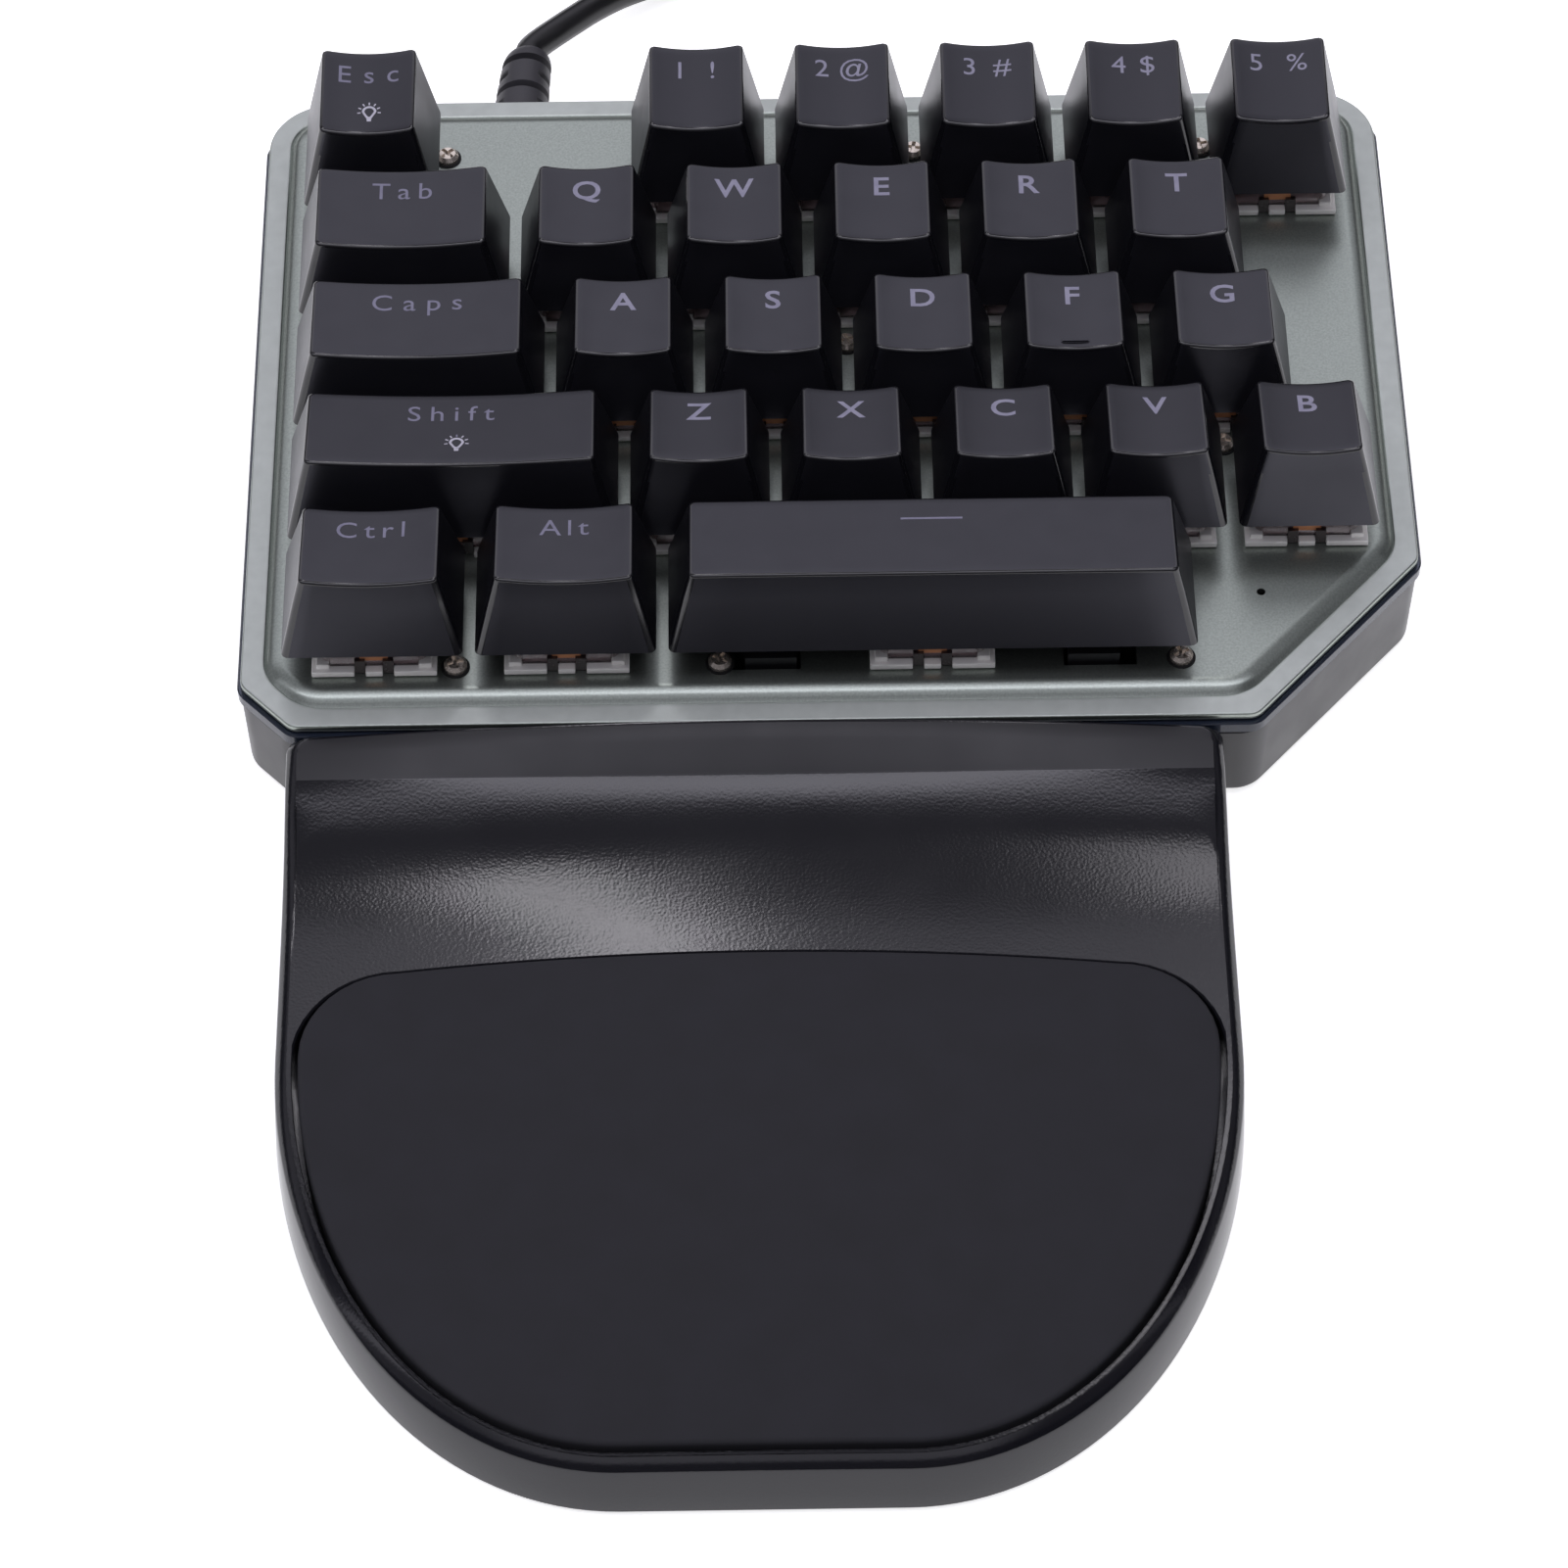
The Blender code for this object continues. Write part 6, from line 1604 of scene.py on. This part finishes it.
# %% Case
CASE_INSET = -0.2 * MM
CASE_WALL = 2.2 * MM
CASE_FLOOR = 2.0 * MM
CASE_CORNER_RADIUS = 5.0 * MM
CASE_DRAFT = 0.4 * MM
CASE_EDGE = 1.0 * MM
CASE_TOP_EDGE = 0.25 * MM
CASE_EDGE_STEPS = 5
bm = bmesh.new()
case_bottom = case_low.z
case_top = strip_low.z - LEAD_GAP
case_levels = []
for share in steps(CASE_EDGE_STEPS):
    angle = share * math.pi / 2.0
    case_levels.append((CASE_INSET + CASE_DRAFT + CASE_EDGE * (1.0 - math.sin(angle)),
                        case_bottom + CASE_EDGE * (1.0 - math.cos(angle))))
case_levels += [
    (CASE_INSET, case_top - CASE_TOP_EDGE),
    (CASE_INSET + CASE_TOP_EDGE, case_top),
    (CASE_INSET + CASE_WALL, case_top),
    (CASE_INSET + CASE_WALL + CASE_DRAFT, case_bottom + CASE_FLOOR),
]
loft(bm, [keypad_ring(inset, z, CASE_CORNER_RADIUS) for inset, z in case_levels])
case = to_piece("case", bm, CASE_ABS)
place_piece(case, "keypad", "case_plastic", "bottom_case")
print("case and strip made")

# %% [markdown]
# ## Wrist rest
# The wrist rest is a shell with one flowing top: a lip arches up against the keys, a straight
# crease ends it, and behind the crease the surface sinks into a saddle before the soft pad. Its
# height comes from one profile along the rest plus the arch of the lip.

# %% Wrist rest: height of its top
REST_REAR_HEIGHT = 15.4 * MM
# The profile: share of the depth from the keys, and of the height at the keys
REST_RUN_SHARES = (0.0, 0.061, 0.137, 0.215, 0.303, 0.508, 0.743, 1.0)
REST_HEIGHT_SHARES = (1.0, 0.948, 0.805, 0.727, 0.708, 0.695, 0.643, 0.558)
REST_LIP_ARCH = 2.8 * MM
REST_LIP_RUN = 6.2 * MM
REST_SADDLE_STRETCH = 0.22
CREASE_SLOPE = 0.3
CREASE_FADE = 5.5 * MM
rest_low, rest_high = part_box("wrist_rest_shell")
rest_centre_x = (rest_low.x + rest_high.x) / 2.0
rest_width = rest_high.x - rest_low.x
rest_depth = rest_high.y - rest_low.y


def smooth_value(at, stops, values):
    """Cubic through stops and values, with slopes taken from the neighbours."""
    last = len(stops) - 1
    slopes = []
    for i in range(last + 1):
        low, high = max(i - 1, 0), min(i + 1, last)
        slopes.append((values[high] - values[low]) / (stops[high] - stops[low]))
    i = 0
    while i < last - 1 and at > stops[i + 1]:
        i += 1
    span = stops[i + 1] - stops[i]
    t = (at - stops[i]) / span
    return ((2.0 * t ** 3 - 3.0 * t ** 2 + 1.0) * values[i]
            + (t ** 3 - 2.0 * t ** 2 + t) * span * slopes[i]
            + (3.0 * t ** 2 - 2.0 * t ** 3) * values[i + 1]
            + (t ** 3 - t ** 2) * span * slopes[i + 1])


def rest_height(x, y):
    """Height of the wrist rest's top above the desk."""
    run = min(max(rest_high.y - y, 0.0), rest_depth)
    across = (x - rest_centre_x) / (rest_width / 2.0)
    bulge = 1.0 - min(1.0, across * across)
    fade = max(0.0, 1.0 - run / REST_LIP_RUN)
    past_lip = max(0.0, run - REST_LIP_RUN)
    share = (run - past_lip * REST_SADDLE_STRETCH * bulge) / rest_depth
    level = REST_REAR_HEIGHT * smooth_value(share, REST_RUN_SHARES, REST_HEIGHT_SHARES)
    dip = CREASE_SLOPE * past_lip * math.exp(-past_lip / CREASE_FADE)
    return level + (REST_LIP_ARCH * fade - dip) * bulge


# %% Wrist rest: outline
REST_FLAT_FRONT = 33.0 * MM
REST_ROUND_DEPTH = 57.6 * MM
REST_REAR_CORNER = 1.5 * MM
REST_SIDE_MIN = 1.5 * MM
REAR_STEPS = 40
REST_CORNER_STEPS = 10
SIDE_STEPS = 10
ROUND_STEPS = 36
FRONT_STEPS = 8


def rest_outline(inset, rear, corner, arch=0.0):
    """Outline of the wrist rest moved inwards, from the rear edge round to the right."""
    half = rest_width / 2.0 - inset
    flat = REST_FLAT_FRONT / 2.0
    front = rest_low.y + inset
    round_depth = REST_ROUND_DEPTH - inset
    side_end = front + round_depth
    side_start = rear - arch - corner
    side_low = min(side_end, side_start - REST_SIDE_MIN)

    def side_x(y):
        sink = max(0.0, side_end - y) / round_depth
        return flat + (half - flat) * math.sqrt(1.0 - sink * sink)

    reach = side_x(side_start) - (half - corner)
    points = []
    for share in steps(REAR_STEPS):
        across = -1.0 + 2.0 * share
        points.append((across * (half - corner), rear - arch * across * across))
    for share in steps(REST_CORNER_STEPS)[1:]:
        angle = math.pi / 2.0 * (1.0 - share)
        points.append((half - corner + reach * math.cos(angle),
                       side_start + corner * math.sin(angle)))
    for share in steps(SIDE_STEPS)[1:]:
        y = side_start + (side_low - side_start) * share
        points.append((side_x(y), y))
    first = math.asin((side_end - side_low) / round_depth)
    for share in steps(ROUND_STEPS)[1:]:
        angle = first + (math.pi / 2.0 - first) * share
        points.append((flat + (half - flat) * math.cos(angle),
                       side_end - round_depth * math.sin(angle)))
    right_side = points[REAR_STEPS + 1:]
    for share in steps(FRONT_STEPS)[1:-1]:
        points.append((flat - REST_FLAT_FRONT * share, front))
    points += [(-x, y) for x, y in reversed(right_side)]
    return [(rest_centre_x + x, y) for x, y in points]


# %% Wrist rest: rings on its top
def level_ring(pairs, z):
    """Outline at one height."""
    return [Vector((x, y, z)) for x, y in pairs]


def top_ring(pairs, drop=0.0):
    """Outline laid on the top of the wrist rest, lowered by drop."""
    return [Vector((x, y, rest_height(x, y) - drop)) for x, y in pairs]


def between(first, second, share):
    """Outline part of the way from one to another."""
    return [(a[0] + (b[0] - a[0]) * share, a[1] + (b[1] - a[1]) * share)
            for a, b in zip(first, second)]


def at_run(first, second, run, share):
    """Outline that keeps to one distance from the rear edge where both sides allow it."""
    y = rest_high.y - run
    made = []
    for a, b in zip(first, second):
        t = share
        if b[1] < y < a[1]:
            t = (a[1] - y) / (a[1] - b[1])
        made.append((a[0] + (b[0] - a[0]) * t, a[1] + (b[1] - a[1]) * t))
    return made


print("wrist rest", round(rest_width / MM, 1), "x", round(rest_depth / MM, 1), "mm")

# %% [markdown]
# ## Wrist rest shell
# Rings run from the floor of the pad's pocket up its wall, out over the saddle and the crease to
# the narrow rim, over the chamfer, down the side and in again underneath. The band between crease
# and keys gets the smooth finish and the rest the eroded one.

# %% Wrist rest shell
RIM_WIDTH = 2.6 * MM
RIM_CHAMFER = 1.9 * MM
RIM_DROP = 1.2 * MM
RIM_EDGE = 0.18 * MM
REST_DRAFT = 0.5 * MM
REST_WALL = 1.2 * MM
REST_BOTTOM_EDGE = 0.5 * MM
POCKET_REAR_RUN = 30.5 * MM
POCKET_REAR_ARCH = 2.4 * MM
POCKET_CORNER = 12.5 * MM
POCKET_FLOOR = 5.6 * MM
POCKET_EDGE = 0.25 * MM
REST_SHARP_ANGLE = math.radians(30.0)
SHELL_TOP_SHARES = (0.34, 0.38, 0.42, 0.48, 0.55, 0.63, 0.72, 0.81, 0.9)
CREASE_SHARE = 0.15
# Distance before or behind the crease, and share of the way to the pocket at the sides
CREASE_RUNS = ((3.3 * MM, 0.24), (2.3 * MM, 0.215), (1.5 * MM, 0.195), (0.9 * MM, 0.18),
               (0.4 * MM, 0.165), (0.12 * MM, 0.155))
LIP_RUNS = ((-0.2 * MM, 0.14), (-1.6 * MM, 0.1), (-3.6 * MM, 0.06))
UNDER_SHARES = (0.25, 0.5, 0.75)


def pocket_outline(inset):
    """Edge of the pad's pocket, moved inwards."""
    return rest_outline(RIM_WIDTH + inset, rest_high.y - POCKET_REAR_RUN - inset,
                        POCKET_CORNER - inset, POCKET_REAR_ARCH)


def edge_outline(inset, rear_inset):
    """Outer edge of the rest, moved inwards, with an inset of its own at the rear."""
    return rest_outline(inset, rest_high.y - rear_inset, REST_REAR_CORNER)


def run_rings(runs):
    """Rings on the rest's top at some distances from its crease."""
    return [top_ring(at_run(crest, pocket, REST_LIP_RUN + run, share)) for run, share in runs]


rest_bottom = rest_low.z
pocket = pocket_outline(0.0)
crest = edge_outline(RIM_CHAMFER, REST_DRAFT)
shell_rings = [level_ring(pocket, POCKET_FLOOR), top_ring(pocket, POCKET_EDGE),
               top_ring(pocket_outline(-POCKET_EDGE))]
shell_rings += [top_ring(between(crest, pocket, share)) for share in reversed(SHELL_TOP_SHARES)]
shell_rings += run_rings(CREASE_RUNS)
crease_index = len(shell_rings)
shell_rings += run_rings(((0.0, CREASE_SHARE),) + LIP_RUNS)
shell_rings += [top_ring(edge_outline(inset, rear_inset), drop) for inset, rear_inset, drop in (
    (RIM_CHAMFER + RIM_EDGE, REST_DRAFT + RIM_EDGE, 0.0),
    (RIM_CHAMFER - RIM_EDGE, REST_DRAFT - RIM_EDGE, RIM_EDGE),
    (REST_DRAFT + RIM_EDGE, 0.0, RIM_DROP - RIM_EDGE),
    (REST_DRAFT, 0.0, RIM_DROP + RIM_EDGE))]
hollow = edge_outline(REST_WALL, REST_WALL)
shell_rings += [level_ring(edge_outline(0.0, 0.0), rest_bottom + REST_BOTTOM_EDGE),
                level_ring(edge_outline(REST_BOTTOM_EDGE, REST_BOTTOM_EDGE), rest_bottom),
                level_ring(hollow, rest_bottom)]
under = pocket_outline(-REST_WALL)
under_drop = RIM_DROP + REST_WALL
shell_rings.append(top_ring(hollow, under_drop))
shell_rings += [top_ring(between(hollow, under, share), under_drop) for share in UNDER_SHARES]
shell_rings += [top_ring(under, under_drop), level_ring(under, POCKET_FLOOR - REST_WALL)]
bm = bmesh.new()
shell_loops = loft(bm, shell_rings)
rear_points = range(REAR_STEPS + REST_CORNER_STEPS)
for loop_low, loop_high in zip(shell_loops[crease_index:crease_index + 1 + len(LIP_RUNS)],
                               shell_loops[crease_index + 1:]):
    for i in range(len(loop_low)):
        if i in rear_points or i > len(loop_low) - REST_CORNER_STEPS - 2:
            j = (i + 1) % len(loop_low)
            face = bm.faces.get((loop_low[i], loop_low[j], loop_high[j], loop_high[i]))
            if face is not None:
                face.material_index = 1
shell = to_piece("wrist_rest", bm, REST_ABS, REST_SMOOTH, sharp=REST_SHARP_ANGLE)
place_piece(shell, "wrist_rest", "rest_plastic", "wrist_rest_shell")
print("wrist rest shell", len(shell.data.polygons), "faces")

# %% [markdown]
# ## Wrist pad
# The pad is foam under a soft skin, dropped into the pocket. It swells a little towards its middle,
# and its edge rolls down into a narrow gap that closes at the rear. It stays fixed to the shell,
# so it is made directly from the pocket's outline and needs no cloth simulation.

# %% Wrist pad
PAD_GAP = 0.7 * MM
PAD_REAR_GAP = 0.05 * MM
PAD_RISE = 0.5 * MM
PAD_ROLL = 0.8 * MM
PAD_CROWN = 1.5 * MM
PAD_ROLL_STEPS = 6
PAD_CROWN_SHARES = (0.06, 0.13, 0.22, 0.33, 0.46, 0.6, 0.75, 0.9, 0.985)


def pad_outline(inset):
    """Edge of the pad, moved inwards: tight at the rear, with a gap at the sides and in front."""
    return rest_outline(RIM_WIDTH + PAD_GAP + inset,
                        rest_high.y - POCKET_REAR_RUN - PAD_REAR_GAP - inset,
                        POCKET_CORNER - PAD_GAP - inset, POCKET_REAR_ARCH)


bm = bmesh.new()
pad_rings = [level_ring(pad_outline(0.0), POCKET_FLOOR + LEAD_GAP)]
for share in steps(PAD_ROLL_STEPS):
    angle = share * math.pi / 2.0
    pad_rings.append(top_ring(pad_outline(PAD_ROLL * (1.0 - math.cos(angle))),
                              PAD_ROLL * (1.0 - math.sin(angle)) - PAD_RISE))
rolled = pad_outline(PAD_ROLL)
pad_centre = [(rest_centre_x, (rest_high.y - POCKET_REAR_RUN + rest_low.y) / 2.0)] * len(rolled)
for share in PAD_CROWN_SHARES:
    pad_rings.append(top_ring(between(rolled, pad_centre, share),
                              -PAD_RISE - PAD_CROWN * (1.0 - (1.0 - share) ** 2)))
loft(bm, pad_rings)
pad = to_piece("pad", bm, PAD_SKIN)
place_piece(pad, "wrist_rest", "pad_skin", "wrist_pad")
print("pad", len(pad.data.polygons), "faces")

# %% [markdown]
# ## Feet and hidden pieces
# Rubber discs with a rounded edge carry keypad and wrist rest. The stabiliser housings, their
# wires and the rest's base plate keep their CAD shapes and get their own finishes.

# %% Feet
FOOT_RADIUS = 4.5 * MM
FOOT_HEIGHT = 1.0 * MM
FOOT_EDGE = 0.3 * MM
FOOT_EDGE_SHARE = 0.3
FOOT_SIDES = 40


def foot_shape():
    """One foot with its lower face at height 0."""
    bm = bmesh.new()
    small = FOOT_EDGE * FOOT_EDGE_SHARE
    loft(bm, [circle(radius, z, FOOT_SIDES) for radius, z in (
        (FOOT_RADIUS - FOOT_EDGE, 0.0), (FOOT_RADIUS - small, small),
        (FOOT_RADIUS, FOOT_EDGE), (FOOT_RADIUS, FOOT_HEIGHT))])
    return to_piece("foot_shape", bm, FOOT_RUBBER)


for piece_name, body, names in (
        ("keypad_feet", "keypad",
         ("foot_front_left", "foot_front_right", "foot_rear_right", "foot_rear_left")),
        ("wrist_rest_feet", "wrist_rest", ("rest_foot_left", "rest_foot_right"))):
    spots = [box_middle(name, 0.0) for name in names]
    feet = scatter(piece_name, spots, foot_shape(), FOOT_RUBBER)
    place_piece(feet, body, "foot_rubber", *names)

# %% Finishes of the CAD pieces that stay
CAD_FINISHES = {"stabiliser_housing": STAB_NYLON, "stabiliser_wire": NICKEL,
                "wrist_rest_base": CASE_ABS}
for name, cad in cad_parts.items():
    for start, made in CAD_FINISHES.items():
        if name.startswith(start):
            cad.data.materials.clear()
            cad.data.materials.append(made)
            print(name, "gets", made.name)

# %% [markdown]
# ## Studio
# The photograph was taken on a white table that shines by itself, in a room with bright and dark
# bands. One ramp gives the brightness from the horizon behind the object, over the zenith, to the
# horizon in front, and a second one dims both sides. Two small lamps draw the soft highlights on
# the wrist rest.

# %% Floor
FLOOR_SIZE = 6000.0 * MM
FLOOR_DROP = 0.05 * MM
FLOOR_GLOW = 0.75

bm = bmesh.new()
bmesh.ops.create_grid(bm, x_segments=1, y_segments=1, size=FLOOR_SIZE / 2.0)
# Floor: white paper lit from below, so it stays white right up to the object's shadow
FLOOR_PAPER, tree, shader = finish("floor_white_paper", "FAFAFA", 0.7,
                                   Emission_Strength=FLOOR_GLOW)
shader.inputs["Emission Color"].default_value = linear("FFFFFF")
floor = to_piece("floor", bm, FLOOR_PAPER, outward=False)
floor.location.z = -FLOOR_DROP

# %% Light of the room
SKY_TINT = "F4F2FF"
# Degrees from the horizon behind the object, over the zenith, and the brightness there
SKY_STOPS = (
    (0.0, 0.1), (22.0, 0.12), (28.0, 1.2), (54.0, 1.28), (61.0, 0.25), (85.0, 0.25), (91.0, 3.6),
    (100.0, 3.6), (106.0, 0.8), (136.0, 0.8), (145.0, 0.1), (180.0, 0.08),
)
# Share of the way from the left of the room to its right, and the brightness there
SIDE_STOPS = ((0.0, 0.35), (0.14, 0.35), (0.3, 1.0), (0.68, 1.0), (0.8, 0.15), (1.0, 0.12))

world = bpy.data.worlds.new("studio")
bpy.context.scene.world = world
world.use_nodes = True
tree = world.node_tree
way = node(tree, "ShaderNodeTexCoord").outputs["Generated"]
parts = node(tree, "ShaderNodeSeparateXYZ", {"Vector": way}).outputs


def glow_ramp(tree, share, stops, tint="FFFFFF"):
    """Brightness along a share from 0 to 1."""
    glow = node(tree, "ShaderNodeValToRGB", {"Fac": share})
    while len(glow.color_ramp.elements) < len(stops):
        glow.color_ramp.elements.new(0.5)
    for stop, (position, level) in zip(glow.color_ramp.elements, stops):
        stop.position = position
        stop.color = (*(level * channel for channel in linear(tint)[:3]), 1.0)
    return glow.outputs["Color"]


rise = node(tree, "ShaderNodeMath", {0: parts["Z"], 1: parts["Y"]}, operation='ARCTAN2').outputs[0]
half_turn = node(tree, "ShaderNodeMath", {0: rise, 1: math.pi}, operation='DIVIDE').outputs[0]
across = node(tree, "ShaderNodeMapRange",
              {"Value": parts["X"], "From Min": -1.0}).outputs["Result"]
sky = [(degrees / 180.0, level) for degrees, level in SKY_STOPS]
room = glow_ramp(tree, half_turn, sky, SKY_TINT)
background = tree.nodes["Background"].inputs
tree.links.new(room, background["Color"])
tree.links.new(glow_ramp(tree, across, SIDE_STOPS), background["Strength"])

# %% Lamps
LAMP_DISTANCE = 450.0 * MM
LAMP_TINT = "FBF8FF"
# Name, spot on the rest in mm, rise, side and roll in degrees, size in mm, power in watts
LAMPS = (
    ("left_lobe_lamp", (-31.0, -30.0, 11.0), 60.0, -1.8, 60.0, (92.0, 32.0), 0.078),
    ("right_lobe_lamp", (43.0, -27.0, 11.0), 65.5, 5.5, 90.0, (100.0, 40.0), 0.05),
)


def lamp(name, spot, rise, side, roll, size, power):
    """Small soft lamp that is mirrored from a spot towards a rise and a side, in degrees."""
    data = bpy.data.lights.new(name, 'AREA')
    data.shape = 'RECTANGLE'
    data.size, data.size_y = (length * MM for length in size)
    data.energy = power
    data.color = linear(LAMP_TINT)[:3]
    made = bpy.data.objects.new(name, data)
    flat = math.cos(math.radians(side))
    way = Vector((math.sin(math.radians(side)), flat * math.cos(math.radians(rise)),
                  flat * math.sin(math.radians(rise))))
    right = Vector((0.0, 0.0, 1.0)).cross(way).normalized() * -1.0
    upward = right.cross(way)
    upward = upward if upward.z > 0.0 else -upward
    long_side = right * math.cos(math.radians(roll)) - upward * math.sin(math.radians(roll))
    short_side = way.cross(long_side)
    made.matrix_world = Matrix.Translation(Vector(spot) * MM + way * LAMP_DISTANCE) @ Matrix(
        (long_side, short_side, way)).transposed().to_4x4()
    made.visible_camera = False
    bpy.context.scene.collection.objects.link(made)


for settings in LAMPS:
    lamp(*settings)
bpy.context.scene.view_settings.view_transform = 'Standard'
print("studio lit")
